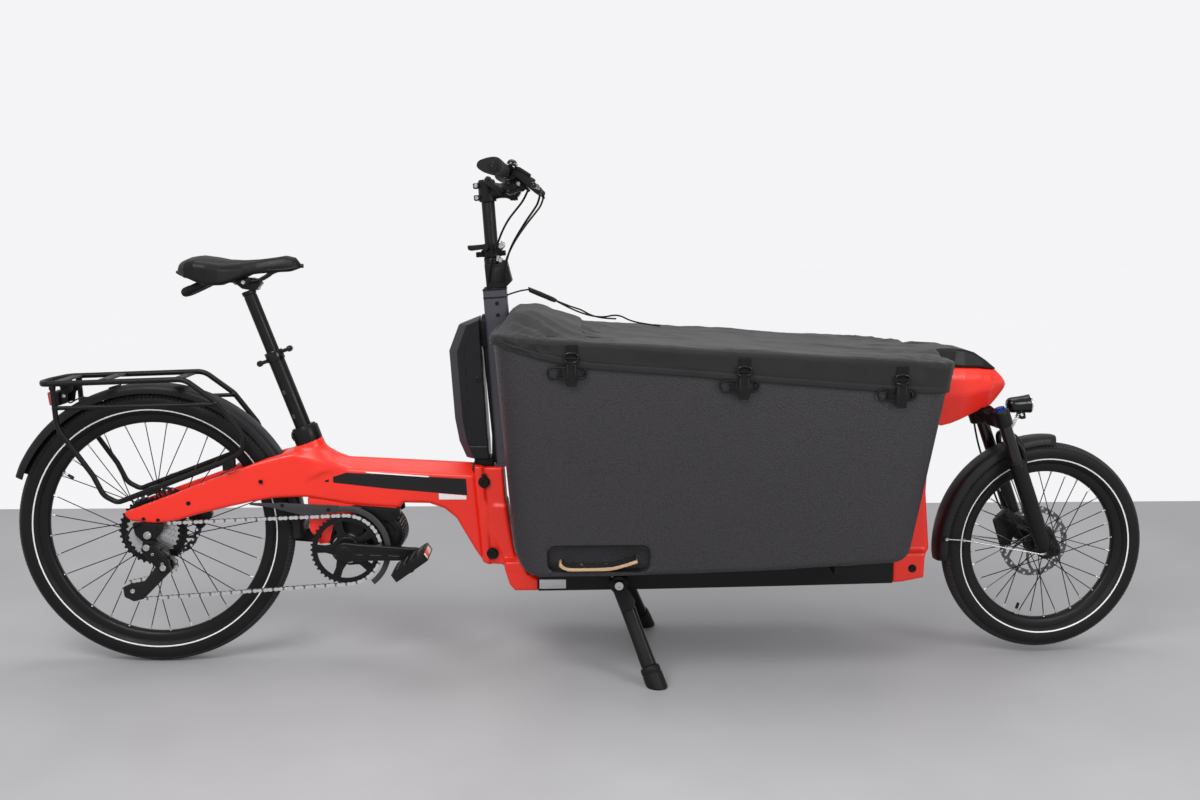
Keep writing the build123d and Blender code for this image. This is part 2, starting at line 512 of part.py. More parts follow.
right = (CRANK_X + CRANK_LEN * cos(radians(-CRANK_DROP)), CRANK_Z + CRANK_LEN * sin(radians(-CRANK_DROP)))
left = (2 * CRANK_X - right[0], 2 * CRANK_Z - right[1])
with BuildPart() as crank_arms:
    disc(CRANK_X, CRANK_Z, 12.0, -80, 80)
    for (px, pz), side in ((right, -1), (left, 1)):
        ux, uz = (px - CRANK_X) / CRANK_LEN, (pz - CRANK_Z) / CRANK_LEN
        y0, y1 = (-82, -67) if side < 0 else (67, 82)
        disc(CRANK_X, CRANK_Z, 20, y0, y1)
        disc(px, pz, 15, y0, y1)
        slab([(CRANK_X - 18 * uz, CRANK_Z + 18 * ux), (px - 14 * uz, pz + 14 * ux), (px + 14 * uz, pz - 14 * ux), (CRANK_X + 18 * uz, CRANK_Z - 18 * ux)], y0, y1)
        disc(px, pz, 6.0, *((-192, -82) if side < 0 else (82, 192)))
crank_arms.part.label = "crank_arms"
export_step(crank_arms.part, "parts/crank_arms.step")


def pedal_body(px, pz, y0, y1, tilt):
    t = radians(tilt)
    c, s = cos(t), sin(t)
    outline = [(-46, -7), (-40, -12), (40, -12), (46, -7), (46, 7), (40, 12), (-40, 12), (-46, 7)]
    slab([(px + u * c - v * s, pz + u * s + v * c) for u, v in outline], y0, y1)
    for u0, u1 in ((-34, -14), (14, 34)):
        hole = [(u0, -20), (u1, -20), (u1, 20), (u0, 20)]
        slab([(px + u * c - v * s, pz + u * s + v * c) for u, v in hole], y0 + 14, y1 - 14, mode=Mode.SUBTRACT)
    disc(px, pz, 6.05, *((y0 + 3.5, y1 + 1) if y1 < 0 else (y0 - 1, y1 - 3.5)), mode=Mode.SUBTRACT)


with BuildPart() as pedal_right:
    pedal_body(right[0], right[1], -196, -96, PEDAL_TILT)
pedal_right.part.label = "pedal_right"
export_step(pedal_right.part, "parts/pedal_right.step")

with BuildPart() as pedal_left:
    pedal_body(left[0], left[1], 96, 196, 8.0)
pedal_left.part.label = "pedal_left"
export_step(pedal_left.part, "parts/pedal_left.step")

# ----------------------------------------------------------------------------
# Rear wheel.
# ----------------------------------------------------------------------------
with BuildPart() as rear_tyre:
    tyre_body(0, REAR_Z, REAR_R, REAR_BEAD)
rear_tyre.part.label = "rear_tyre"
export_step(rear_tyre.part, "parts/rear_tyre.step")

with BuildPart() as rear_rim:
    rim_body(0, REAR_Z, REAR_BEAD)
rear_rim.part.label = "rear_rim"
export_step(rear_rim.part, "parts/rear_rim.step")

with BuildPart() as rear_spokes:
    spoke_set(0, REAR_Z, REAR_BEAD, 29, (-21, 34), SPOKES, 67.5)
rear_spokes.part.label = "rear_spokes"
export_step(rear_spokes.part, "parts/rear_spokes.step")

with BuildPart() as rear_hub:
    turned(0, REAR_Z, [(-70.9, 6.05), (70.9, 6.05), (70.9, 10), (60, 13), (52, 22), (41, 22), (38, 17), (36, 33), (32.5, 33), (30, 16),
                       (-17, 16), (-19.5, 33), (-22.5, 33), (-25, 17), (-66.5, 17), (-67, 10), (-70.9, 10)])
rear_hub.part.label = "rear_hub"
export_step(rear_hub.part, "parts/rear_hub.step")

cogs = [(84, -32.4), (73, -35.8), (63.5, -39.2), (54.5, -42.2), (46.5, -45.2), (39.5, -48.2), (33, -50.4), (28, -52.0), (22.3, -56.0)]
with BuildPart() as cassette:
    disc(0, REAR_Z, 17.9, -60, -30)
    for r, y in cogs[:-2]:
        disc(0, REAR_Z, r, y - 0.8, y + 0.8)
        disc(0, REAR_Z, max(r - 10, 17.9), y - 1.5, y + 1.5)
    disc(0, REAR_Z, cogs[-1][0], COG_Y - 0.5, COG_Y + 0.5)
    disc(0, REAR_Z, 17.0, -70, -20, mode=Mode.SUBTRACT)
    disc(0, REAR_Z, 17.8, COG_Y - 3.2, COG_Y - 0.5)
    disc(0, REAR_Z, 17.8, COG_Y + 0.5, COG_Y + 3.2)
    disc(0, REAR_Z, 17.0, -70, -20, mode=Mode.SUBTRACT)
cassette.part.label = "cassette"
export_step(cassette.part, "parts/cassette.step")


def rotor(x, z, y0, y1, bore):
    disc(x, z, 90, y0, y1)
    disc(x, z, 74, y0 - 5, y1 + 5, mode=Mode.SUBTRACT)
    for k in range(6):
        a = radians(60 * k + 10)
        b = radians(60 * k + 34)
        pts = [(x + 24 * cos(a), z + 24 * sin(a)), (x + 76 * cos(b), z + 76 * sin(b)), (x + 76 * cos(b + 0.13), z + 76 * sin(b + 0.13)), (x + 24 * cos(a + 0.5), z + 24 * sin(a + 0.5))]
        slab(pts, y0, y1)
    disc(x, z, 28, y0, y1)
    disc(x, z, bore, y0 - 5, y1 + 5, mode=Mode.SUBTRACT)


with BuildPart() as rear_rotor:
    rotor(0, REAR_Z, 54.2, 56.0, 20.0)
rear_rotor.part.label = "rear_rotor"
export_step(rear_rotor.part, "parts/rear_rotor.step")

# Caliper on the left stay, its slot round the disc.
with BuildPart() as rear_caliper:
    slab([(52, 364), (112, 379.5), (118, 352), (92, 318), (66, 330)], 46, 65)
    disc(0, REAR_Z, 92, 51.7, 58.5, mode=Mode.SUBTRACT)
    slab([(70, 366), (112, 377), (108, 366), (78, 356)], 65, 73)
rear_caliper.part.label = "rear_caliper"
export_step(rear_caliper.part, "parts/rear_caliper.step")


# ----------------------------------------------------------------------------
# Mudguards: thin arcs with a dished section.
# ----------------------------------------------------------------------------
def guard_arc(x, z, outer, half, start, sweep_deg):
    a = radians(start)
    with BuildSketch(Plane(origin=P(x, 0, z), x_dir=(0, 1, 0), z_dir=(sin(a), 0, -cos(a)))) as dish:
        with BuildLine():
            Polyline((-half, outer - 14), (-half + 1, outer - 7), (-half + 8, outer - 2), (-half + 18, outer), (half - 18, outer), (half - 8, outer - 2), (half - 1, outer - 7), (half, outer - 14),
                     (half - 2, outer - 14), (half - 3, outer - 8), (half - 9, outer - 4), (half - 18, outer - 2), (-half + 18, outer - 2), (-half + 9, outer - 4), (-half + 3, outer - 8), (-half + 2, outer - 14), close=True)
        make_face()
    revolve(dish.sketch, axis=Axis(P(x, 0, z), (0, 1, 0)), revolution_arc=sweep_deg)


with BuildPart() as rear_mudguard:
    guard_arc(0, REAR_Z, 357, 34, 158, 162)
rear_mudguard.part.label = "rear_mudguard"
export_step(rear_mudguard.part, "parts/rear_mudguard.step")

# ----------------------------------------------------------------------------
# Rear carrier: two side hoops of tube, cross plates and feet on the stays.
# ----------------------------------------------------------------------------
RACK_Y = 80.0
with BuildPart() as rear_rack:
    for side in (-1, 1):
        y = side * RACK_Y
        # Rear strut and the lower rail for panniers.
        rod([P(-40, y, 424.6), P(-66, y, 414.7), P(-98, y, 432), P(-120, y, 480), P(-198, y, 596), P(-203, y, 696)], 5.6, (18, 16, 26, 26))
        rod([P(-199, y, 642), P(176, y, 650)], 5.0)
        for x, z0, z1 in ((20, 436, 455), (200, 494, 520)):
            slab([(x - 14, z0 - 5), (x + 14, z0 + 4), (x + 14, z1 + 4), (x - 14, z1 - 5)], *((y - 5, y + 12) if side < 0 else (y - 12, y + 5)))
    # Top rails, one tube with the pointed loop at the rear, down to the stays in front.
    half_loop = [(-52, 420), (190, 512), (236, 538), (236, 575), (176, 655), (105, 709), (-225, 699)]
    rod([P(x, -RACK_Y, z) for x, z in half_loop] + [P(-249, -24, 696), P(-249, 24, 696)] + [P(x, RACK_Y, z) for x, z in reversed(half_loop)],
        6.2, (20, 18, 24, 30, 22, 20, 20, 20, 20, 22, 30, 24, 18, 20))
    for x, z in ((-200, 701), (-93, 705), (75, 705)):
        with Locations(P(x, 0, z)):
            Box(26, 2 * RACK_Y, 4)
    for x in (-93, 75):
        with Locations(*[P(x, y, 705) for y in (-50, 50)]):
            Cylinder(3.1, 30, mode=Mode.SUBTRACT)
rear_rack.part.label = "rear_rack"
export_step(rear_rack.part, "parts/rear_rack.step")

with BuildPart() as tail_light:
    slab([(-236, 673), (-208, 674), (-208, 641), (-232, 642)], -32, 32)
    slab([(-208.2, 668), (-190, 696), (-194, 700), (-212, 700), (-216, 689), (-212, 674)], -10, 10)
tail_light.part.label = "tail_light"
export_step(tail_light.part, "parts/tail_light.step")

# ----------------------------------------------------------------------------
# Seat: collar, telescoping post, clamp, cushion.
# ----------------------------------------------------------------------------
seat_up = (-sin(radians(SEAT_TILT)), 0, cos(radians(SEAT_TILT)))


def seat_plane(along):
    q = lean(SEAT_TILT, SEAT_AXIS_X, SEAT_AXIS_Z, along)
    return Plane(origin=P(q[0], 0, q[1]), x_dir=(0, 1, 0), z_dir=seat_up)


with BuildPart() as seat_collar:
    with BuildSketch(seat_plane(-39.8)) as cuff:
        Circle(33.5)
        Circle(19.3, mode=Mode.SUBTRACT)
    extrude(cuff.sketch, amount=39.8)
seat_collar.part.label = "seat_collar"
export_step(seat_collar.part, "parts/seat_collar.step")

with BuildPart() as seatpost:
    with BuildSketch(seat_plane(-110)) as outer_post:
        Circle(19.2)
        Circle(15.6, mode=Mode.SUBTRACT)
    extrude(outer_post.sketch, amount=290)
    with BuildSketch(seat_plane(60)) as inner_post:
        Circle(15.6)
        Circle(13.2, mode=Mode.SUBTRACT)
    extrude(inner_post.sketch, amount=278)
    # The two ears of the height clamp, one behind and one ahead.
    with BuildSketch(seat_plane(176)) as ears:
        Rectangle(16, 110)
        Circle(19.2, mode=Mode.SUBTRACT)
    extrude(ears.sketch, amount=10)
seatpost.part.label = "seatpost"
export_step(seatpost.part, "parts/seatpost.step")

with BuildPart() as seat_clamp:
    slab([(206, 938), (232, 917), (262, 912), (278, 930), (262, 941), (230, 944)], -17, 17)
    with BuildSketch(seat_plane(338.2)) as head_block:
        Circle(17)
    extrude(head_block.sketch, amount=10)
    for y in (-22, 22):
        rod([P(150, y, 948), P(200, y, 936), P(262, y, 936), P(300, y, 954)], 3.5, 20)
    with Locations(P(236, 0, 936)):
        Box(26, 48, 8)
    # Lifting grip under the saddle's tail, on the rail ends.
    rod([P(160, -24, 938), P(114, -26, 922), P(98, 0, 914), P(114, 26, 922), P(160, 24, 938)], 9, 14)
seat_clamp.part.label = "seat_clamp"
export_step(seat_clamp.part, "parts/seat_clamp.step")

with BuildPart() as saddle:
    with BuildSketch(Plane(origin=(X0, 0, 900), x_dir=(1, 0, 0), z_dir=(0, 0, 1))) as seat_plan:
        with BuildLine():
            Spline((84, 0), (96, -62), (140, -86), (190, -72), (240, -40), (300, -23), (352, -17), (368, 0), (352, 17), (300, 23), (240, 40), (190, 72), (140, 86), (96, 62), (84, 0))
        make_face()
    extrude(seat_plan.sketch, amount=120)
    with BuildSketch(SIDE.offset(-100)) as seat_side:
        with BuildLine():
            Spline((82, 962), (100, 985), (139, 996), (200, 986), (271, 988), (336, 995), (369, 978))
            Spline((369, 978), (345, 962), (277, 956), (208, 950), (165, 946), (110, 944), (82, 962))
        make_face()
    extrude(seat_side.sketch, amount=200, mode=Mode.INTERSECT)
saddle.part.label = "saddle"
export_step(saddle.part, "parts/saddle.step")

# ----------------------------------------------------------------------------
# Centre stand: axle, splayed legs and rubber feet.
# ----------------------------------------------------------------------------
with BuildPart() as stand_legs:
    disc(STAND_X, STAND_Z, 8.0, -138, 138)
    for side in (-1, 1):
        y0, y1 = (-146, -111) if side < 0 else (111, 146)
        disc(STAND_X, STAND_Z, 22, y0, y1)
        rod([P(STAND_X + 4, side * 130, STAND_Z - 12), P(STAND_X + 85 * 0.80, side * (128 + 97 * 0.80), STAND_Z - 222 * 0.80)], STAND_R)
stand_legs.part.label = "stand_legs"
export_step(stand_legs.part, "parts/stand_legs.step")

with BuildPart() as stand_feet:
    for side in (-1, 1):
        rod([P(STAND_X + 85 * 0.82, side * (128 + 97 * 0.82), STAND_Z - 222 * 0.82), P(FOOT_X + 6, side * (FOOT_Y + 6), -14)], 24)
    with Locations(P(FOOT_X, 0, -60)):
        Box(400, 700, 120, mode=Mode.SUBTRACT)
    for side in (-1, 1):
        rod([P(STAND_X + 4, side * 130, STAND_Z - 12), P(STAND_X + 85 * 0.80, side * (128 + 97 * 0.80), STAND_Z - 222 * 0.80)], STAND_R, mode=Mode.SUBTRACT)
stand_feet.part.label = "stand_feet"
export_step(stand_feet.part, "parts/stand_feet.step")

# ----------------------------------------------------------------------------
# Fork, front wheel and what turns with them.  Drawn straight ahead, then
# turned STEER degrees to the left about the steering axis.
# ----------------------------------------------------------------------------
FORK_AXIS = Axis(P(FORK_AXIS_X, 0, FORK_AXIS_Z), head_up)


def fork_at(along, ahead=0.0):
    return lean(HEAD_TILT, FORK_AXIS_X, FORK_AXIS_Z, along, ahead)


def fork_plane(along, ahead=0.0):
    q = fork_at(along, ahead)
    return Plane(origin=P(q[0], 0, q[1]), x_dir=(0, 1, 0), z_dir=head_up)


LEG_TOP = -8.0
LEG_END = -((FORK_AXIS_Z - FRONT_Z) / cos(radians(HEAD_TILT)) + FORK_OFFSET * tan(radians(HEAD_TILT)) * 0) + 4
with BuildPart() as fork_uppers:
    with BuildSketch(fork_plane(-36)) as crown:
        with Locations((0, 6)):
            RectangleRounded(2 * LEG_Y + 38, 36, 16)
        with Locations((0, 14)):
            RectangleRounded(60, 56, 20)
    extrude(crown.sketch, amount=36)
    with BuildSketch(fork_plane(-36)) as steerer:
        Circle(14.3)
    extrude(steerer.sketch, amount=36 + 112)
    for side in (-1, 1):
        top, low = fork_at(0, FORK_OFFSET), fork_at(-180, FORK_OFFSET)
        rod([P(top[0], side * LEG_Y, top[1]), P(low[0], side * LEG_Y, low[1])], STANCHION_R)
fork_uppers.part = fork_uppers.part.rotate(FORK_AXIS, STEER)
fork_uppers.part.label = "fork_uppers"
export_step(fork_uppers.part, "parts/fork_uppers.step")

with BuildPart() as fork_lowers:
    for side in (-1, 1):
        top, low = fork_at(-134, FORK_OFFSET), fork_at(LEG_END + 14, FORK_OFFSET)
        rod([P(top[0], side * LEG_Y, top[1]), P(low[0], side * LEG_Y, low[1])], LEG_R)
        y0, y1 = (-LEG_Y - 8, -51) if side < 0 else (51, LEG_Y + 8)
        soft_slab([(low[0] - 20, low[1] + 44), (low[0] + 12, low[1] + 50), (FRONT_X + 16, FRONT_Z + 4), (FRONT_X + 8, FRONT_Z - 14), (FRONT_X - 14, FRONT_Z - 14), (low[0] - 18, low[1] + 6)], 6, y0, y1)
    # Arch over the tyre.
    q, m, r = fork_at(-152, FORK_OFFSET + 24), fork_at(-116, FORK_OFFSET + 24), fork_at(-90, FORK_OFFSET + 24)
    rod([P(q[0], -LEG_Y, q[1]), P(m[0], -LEG_Y, m[1]), P(r[0], -38, r[1]), P(r[0], 38, r[1]), P(m[0], LEG_Y, m[1]), P(q[0], LEG_Y, q[1])], 8, 12)
    for side in (-1, 1):
        a, b = fork_at(10, FORK_OFFSET), fork_at(-180.5, FORK_OFFSET)
        rod([P(a[0], side * LEG_Y, a[1]), P(b[0], side * LEG_Y, b[1])], STANCHION_R, mode=Mode.SUBTRACT)
    # Thru axle with its bolt heads.
    disc(FRONT_X, FRONT_Z, 6.0, -LEG_Y - 8, LEG_Y + 8)
    disc(FRONT_X, FRONT_Z, 9.5, -LEG_Y - 16, -LEG_Y - 8)
    disc(FRONT_X, FRONT_Z, 9.5, LEG_Y + 8, LEG_Y + 14)
fork_lowers.part = fork_lowers.part.rotate(FORK_AXIS, STEER)
fork_lowers.part.label = "fork_lowers"
export_step(fork_lowers.part, "parts/fork_lowers.step")

with BuildPart() as front_mudguard:
    guard_arc(FRONT_X, FRONT_Z, 277, 33, 186, 100)
    for side in (-1, 1):
        with Locations(P(1922, side * 34.2, 302)):
            Box(16, 6, 10)
        rod([P(1925, side * 36, 302), P(1962, side * 44, 300), P(2150, side * 76, 266)], 2.0, 10)
front_mudguard.part = front_mudguard.part.rotate(FORK_AXIS, STEER)
front_mudguard.part.label = "front_mudguard"
export_step(front_mudguard.part, "parts/front_mudguard.step")

with BuildPart() as headlight:
    with BuildSketch(Plane(origin=P(2084, 0, 634), x_dir=(0, 1, 0), z_dir=(1, 0, 0.06))) as lamp:
        Circle(19)
    extrude(lamp.sketch, amount=58, taper=-4)
    slab([(2106, 616), (2126, 616), (2130, 592), (2118, 590)], -9, 9)
    rod([P(2114, 0, 602), P(2098, 0, 572), P(2078, 0, 560)], 3, 8)
headlight.part = headlight.part.rotate(FORK_AXIS, STEER)
headlight.part.label = "headlight"
export_step(headlight.part, "parts/headlight.step")

with BuildPart() as front_caliper:
    slab([(2076, 330), (2112, 360), (2140, 330), (2120, 268), (2098, 262)], 31, 47.2)
    disc(FRONT_X, FRONT_Z, 92, 37.2, 43.8, mode=Mode.SUBTRACT)
    slab([(2084, 336), (2112, 360), (2126, 345), (2104, 318)], 45, 56)
front_caliper.part = front_caliper.part.rotate(FORK_AXIS, STEER)
front_caliper.part.label = "front_caliper"
export_step(front_caliper.part, "parts/front_caliper.step")

with BuildPart() as front_tyre:
    tyre_body(FRONT_X, FRONT_Z, FRONT_R, FRONT_BEAD)
front_tyre.part = front_tyre.part.rotate(FORK_AXIS, STEER)
front_tyre.part.label = "front_tyre"
export_step(front_tyre.part, "parts/front_tyre.step")

with BuildPart() as front_rim:
    rim_body(FRONT_X, FRONT_Z, FRONT_BEAD)
front_rim.part = front_rim.part.rotate(FORK_AXIS, STEER)
front_rim.part.label = "front_rim"
export_step(front_rim.part, "parts/front_rim.step")

with BuildPart() as front_spokes:
    spoke_set(FRONT_X, FRONT_Z, FRONT_BEAD, 26, (-32, 25), SPOKES, 67.5)
front_spokes.part = front_spokes.part.rotate(FORK_AXIS, STEER)
front_spokes.part.label = "front_spokes"
export_step(front_spokes.part, "parts/front_spokes.step")

with BuildPart() as front_hub:
    turned(FRONT_X, FRONT_Z, [(-50.7, 6.05), (50.7, 6.05), (50.7, 9), (46, 13), (44, 21), (34, 21), (31, 15), (27.5, 15), (27, 30), (23.5, 30), (21, 14), (-28, 14), (-30.5, 30), (-34, 30), (-36, 14), (-46, 12), (-50.7, 9)])
front_hub.part = front_hub.part.rotate(FORK_AXIS, STEER)
front_hub.part.label = "front_hub"
export_step(front_hub.part, "parts/front_hub.step")

with BuildPart() as front_rotor:
    rotor(FRONT_X, FRONT_Z, 39.6, 41.4, 21.0)
front_rotor.part = front_rotor.part.rotate(FORK_AXIS, STEER)
front_rotor.part.label = "front_rotor"
export_step(front_rotor.part, "parts/front_rotor.step")

# ----------------------------------------------------------------------------
# Handlebar group, straight ahead.
# ----------------------------------------------------------------------------
BAR_AXIS = Axis(P(MAST_X, 0, MAST_TOP), mast_up)


def mast_plane(along):
    q = lean(MAST_TILT, MAST_X, MAST_TOP, along)
    return Plane(origin=P(q[0], 0, q[1]), x_dir=(0, 1, 0), z_dir=mast_up)


with BuildPart() as steering_column:
    with BuildSketch(mast_plane(-60)) as column:
        Circle(16.0)
        Circle(13.2, mode=Mode.SUBTRACT)
    extrude(column.sketch, amount=150)
    with BuildSketch(mast_plane(60)) as upper:
        Circle(13.2)
        Circle(10.5, mode=Mode.SUBTRACT)
    extrude(upper.sketch, amount=192)
steering_column.part.label = "steering_column"
export_step(steering_column.part, "parts/steering_column.step")

# Wedge-shaped clamp block over the mast and the quick-release above it.
with BuildPart() as column_clamp:
    slab([(810, 929), (856, 928), (871, 931), (873, 937), (860, 983), (823, 979), (812, 960)], -27, 27)
    with BuildSketch(mast_plane(60)) as ring:
        with Locations((0, 0)):
            Circle(22)
        with Locations((0, -20)):
            Rectangle(26, 24)
    extrude(ring.sketch, amount=44)
    # Lever of the quick release behind, its round nut in front.
    rod([P(824, -24, 1004), P(764, -32, 1018)], 5.5)
    rod([P(834, -25, 1010), P(850, -25, 1018)], 7.5)
    with BuildSketch(mast_plane(0)) as clamp_bore:
        Circle(16.0)
    extrude(clamp_bore.sketch, amount=120, mode=Mode.SUBTRACT)
column_clamp.part.label = "column_clamp"
export_step(column_clamp.part, "parts/column_clamp.step")

BAR = [P(864, -322, 1190), P(873, -130, 1182), P(877, -48, 1150), P(877, 48, 1150), P(873, 130, 1182), P(864, 322, 1190)]
with BuildPart() as stem:
    with BuildSketch(mast_plane(206)) as stem_clamp:
        Circle(20)
    extrude(stem_clamp.sketch, amount=48)
    slab([(818, 1164), (818, 1124), (836, 1122), (872, 1132), (884, 1150), (872, 1168), (836, 1166)], -17, 17)
    disc(877, 1150, 22, -24, 24)
    with BuildSketch(mast_plane(190)) as stem_bore:
        Circle(13.2)
    extrude(stem_bore.sketch, amount=62.2, mode=Mode.SUBTRACT)
    disc(877, 1150, 15.9, -30, 30, mode=Mode.SUBTRACT)
stem.part.label = "stem"
export_step(stem.part, "parts/stem.step")

with BuildPart() as handlebar:
    rod(BAR, 11.1, (60, 40, 40, 60))
    disc(877, 1150, 15.9, -26, 26)
handlebar.part.label = "handlebar"
export_step(handlebar.part, "parts/handlebar.step")

def bar_point(side, y):
    """A point on the bar's straight outer run."""
    t = (322 - y) / (322 - 130)
    return P(864 + 9 * t, side * y, 1190 - 8 * t)


with BuildPart() as grips:
    for side in (-1, 1):
        a, b = bar_point(side, 326), bar_point(side, 205)
        rod([a, b], 16)
        with BuildSketch(Plane(origin=a, x_dir=(1, 0, 0), z_dir=(b - a).normalized())) as wing:
            with BuildLine():
                Polyline((8, 12 * side), (8, -12 * side), (-44, -6 * side), (-50, 4 * side), (-40, 12 * side), close=True)
            make_face()
        extrude(wing.sketch, amount=92)
        rod([bar_point(side, 323), bar_point(side, 196)], 11.1, mode=Mode.SUBTRACT)
grips.part.label = "grips"
export_step(grips.part, "parts/grips.step")

with BuildPart() as bar_controls:
    for side in (-1, 1):
        y0, y1 = (-186, -158) if side < 0 else (158, 186)
        slab([(852, 1206), (876, 1208), (926, 1174), (950, 1148), (944, 1136), (920, 1146), (884, 1168), (852, 1174)], y0, y1)
        rod([P(932, side * 176, 1152), P(940, side * 206, 1148), P(930, side * 288, 1150)], 5, 12)
        rod([bar_point(side, 210), bar_point(side, 136)], 11.1, mode=Mode.SUBTRACT)
    # Control display at the middle of the bar.
    slab([(868, 1184), (876, 1192), (918, 1168), (914, 1160)], 30, 78)
    slab([(872, 1164), (884, 1166), (894, 1172), (882, 1182)], 34, 46)
bar_controls.part.label = "bar_controls"
export_step(bar_controls.part, "parts/bar_controls.step")


# Hoses and cables from the levers down to the top of the mast.
def hose(points, radius, name):
    bends = []
    vs = [Vector(*p) for p in points]
    for i in range(1, len(vs) - 1):
        before, after = vs[i] - vs[i - 1], vs[i + 1] - vs[i]
        turn = radians(before.get_angle(after))
        bends.append(0.45 * min(before.length, after.length) / tan(turn / 2))
    print(name, "radii", [round(b) for b in bends])
    rod([Vector(*p) for p in points], radius, bends)
    with BuildLine() as check:
        FilletPolyline(*[Vector(*p) for p in points], radius=bends)
    length = sum(e.length for e in check.line.edges())
    print(name, "length", round(length, 1), "volume", round(length * pi * radius**2))


HOSES = {
    "brake_hose_right": [P(946, -172, 1142), P(942, -158, 1118), P(928, -134, 1098), P(911, -106, 1076), P(892, -80, 1048), P(874, -58, 1018), P(862, -44, 986), P(856, -36, 956), P(852, -33, 930)],
    "brake_hose_left": [P(946, 172, 1142), P(942, 158, 1118), P(926, 132, 1096), P(907, 104, 1072), P(887, 78, 1044), P(869, 57, 1014), P(856, 44, 983), P(848, 36, 955), P(844, 33, 930)],
    "shift_cable": [P(918, -150, 1146), P(908, -130, 1124), P(888, -104, 1101), P(868, -80, 1078), P(852, -60, 1050), P(840, -48, 1020), P(829, -40, 988), P(820, -35, 958), P(816, -33, 930)],
}
for hose_name, route in HOSES.items():
    with BuildPart() as one_hose:
        hose([tuple(p) for p in route], 2.5, hose_name)
    one_hose.part.label = hose_name
    export_step(one_hose.part, f"parts/{hose_name}.step")

# ----------------------------------------------------------------------------
# Tension strap of the cover: webbing, a slide buckle and two cord ends.
# ----------------------------------------------------------------------------
with BuildPart() as cover_buckle:
    slab([(868, 921.5), (872, 925), (913, 915), (913, 911.5), (872, 921)], -9, 9)
    slab([(912.8, 918), (972, 892), (978, 888), (976, 882), (968, 884), (912.8, 908)], -13, 13)
cover_buckle.part.label = "cover_buckle"
export_step(cover_buckle.part, "parts/cover_buckle.step")

CORD_A = [(977.8, 6, 885), (998, 12, 876), (1018, 22, 868), (1038, 36, 861), (1056, 50, 849), (1077, 64, 841), (1100, 72, 837), (1124, 78, 835.5)]
CORD_B = [(977.8, -6, 885), (1000, -6, 873), (1024, 4, 861), (1048, 20, 851), (1072, 38, 844), (1096, 52, 842), (1118, 52, 847), (1136, 40, 845), (1150, 22, 838), (1168, 4, 833), (1194, -14, 829.5), (1224, -34, 826.5)]
for cord_name, route in (("cover_cord_a", CORD_A), ("cover_cord_b", CORD_B)):
    with BuildPart() as one_cord:
        hose([tuple(P(*p)) for p in route], 2.0, cord_name)
    one_cord.part.label = cord_name
    export_step(one_cord.part, f"parts/{cord_name}.step")
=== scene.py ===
import math

import bmesh
import bpy
import numpy as np
from mathutils import Matrix, Vector


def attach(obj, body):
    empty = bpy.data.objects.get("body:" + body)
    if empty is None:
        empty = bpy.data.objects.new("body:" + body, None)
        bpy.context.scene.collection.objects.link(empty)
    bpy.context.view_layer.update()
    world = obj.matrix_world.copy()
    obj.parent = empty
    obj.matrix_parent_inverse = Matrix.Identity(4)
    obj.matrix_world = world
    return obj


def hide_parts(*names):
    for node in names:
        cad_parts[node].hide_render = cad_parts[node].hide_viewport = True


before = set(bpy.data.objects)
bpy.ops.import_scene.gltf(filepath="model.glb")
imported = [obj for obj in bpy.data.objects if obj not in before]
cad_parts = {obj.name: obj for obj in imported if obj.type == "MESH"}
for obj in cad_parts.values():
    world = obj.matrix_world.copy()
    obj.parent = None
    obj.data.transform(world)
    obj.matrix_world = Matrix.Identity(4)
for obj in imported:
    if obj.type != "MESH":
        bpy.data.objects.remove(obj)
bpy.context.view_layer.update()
rng = np.random.RandomState(11)
scene = bpy.context.scene

# ---------------------------------------------------------------------------
# Everything is written in millimetres: station from the rear axle, lateral
# position (+ is the rider's left), height.  make() turns that into metres.
# ---------------------------------------------------------------------------
X0 = -1053.0
REAR = (0.0, 334.5, 334.5, 279.5)       # axle station, height, outer radius, bead radius
FRONT = (2183.0, 274.0, 258.0, 203.0)
STEER = 6.0
FORK_O, FORK_D = np.array([2005.0, 0.0, 622.0]), np.array([-math.sin(math.radians(20)), 0.0, math.cos(math.radians(20))])
MAST_O, MAST_D = np.array([830.5, 0.0, 915.0]), np.array([-math.sin(math.radians(3.8)), 0.0, math.cos(math.radians(3.8))])
SEAT_O, SEAT_D = np.array([361.5, 0.0, 584.5]), np.array([-math.sin(math.radians(20)), 0.0, math.cos(math.radians(20))])


def S(x, y, z):
    return Vector(((x + X0) / 1000, y / 1000, z / 1000))


def turn(v, origin, axis, deg):
    v = np.asarray(v, float)
    k = np.asarray(axis, float) / np.linalg.norm(axis)
    p = v - origin
    t = math.radians(deg)
    return origin + p * math.cos(t) + np.cross(k, p) * math.sin(t) + np.outer(p @ k, k) * (1 - math.cos(t))


def steer(v):
    return turn(v, FORK_O, FORK_D, STEER)


def fork_at(along, ahead=0.0, y=0.0):
    a = math.radians(20)
    return np.array([2005 - along * math.sin(a) + ahead * math.cos(a), y, 622 + along * math.cos(a) + ahead * math.sin(a)])


def mast_at(along, ahead=0.0, y=0.0):
    a = math.radians(3.8)
    return np.array([830.5 - along * math.sin(a) + ahead * math.cos(a), y, 915 + along * math.cos(a) + ahead * math.sin(a)])


def seat_at(along, ahead=0.0, y=0.0):
    a = math.radians(20)
    return np.array([361.5 - along * math.sin(a) + ahead * math.cos(a), y, 584.5 + along * math.cos(a) + ahead * math.sin(a)])


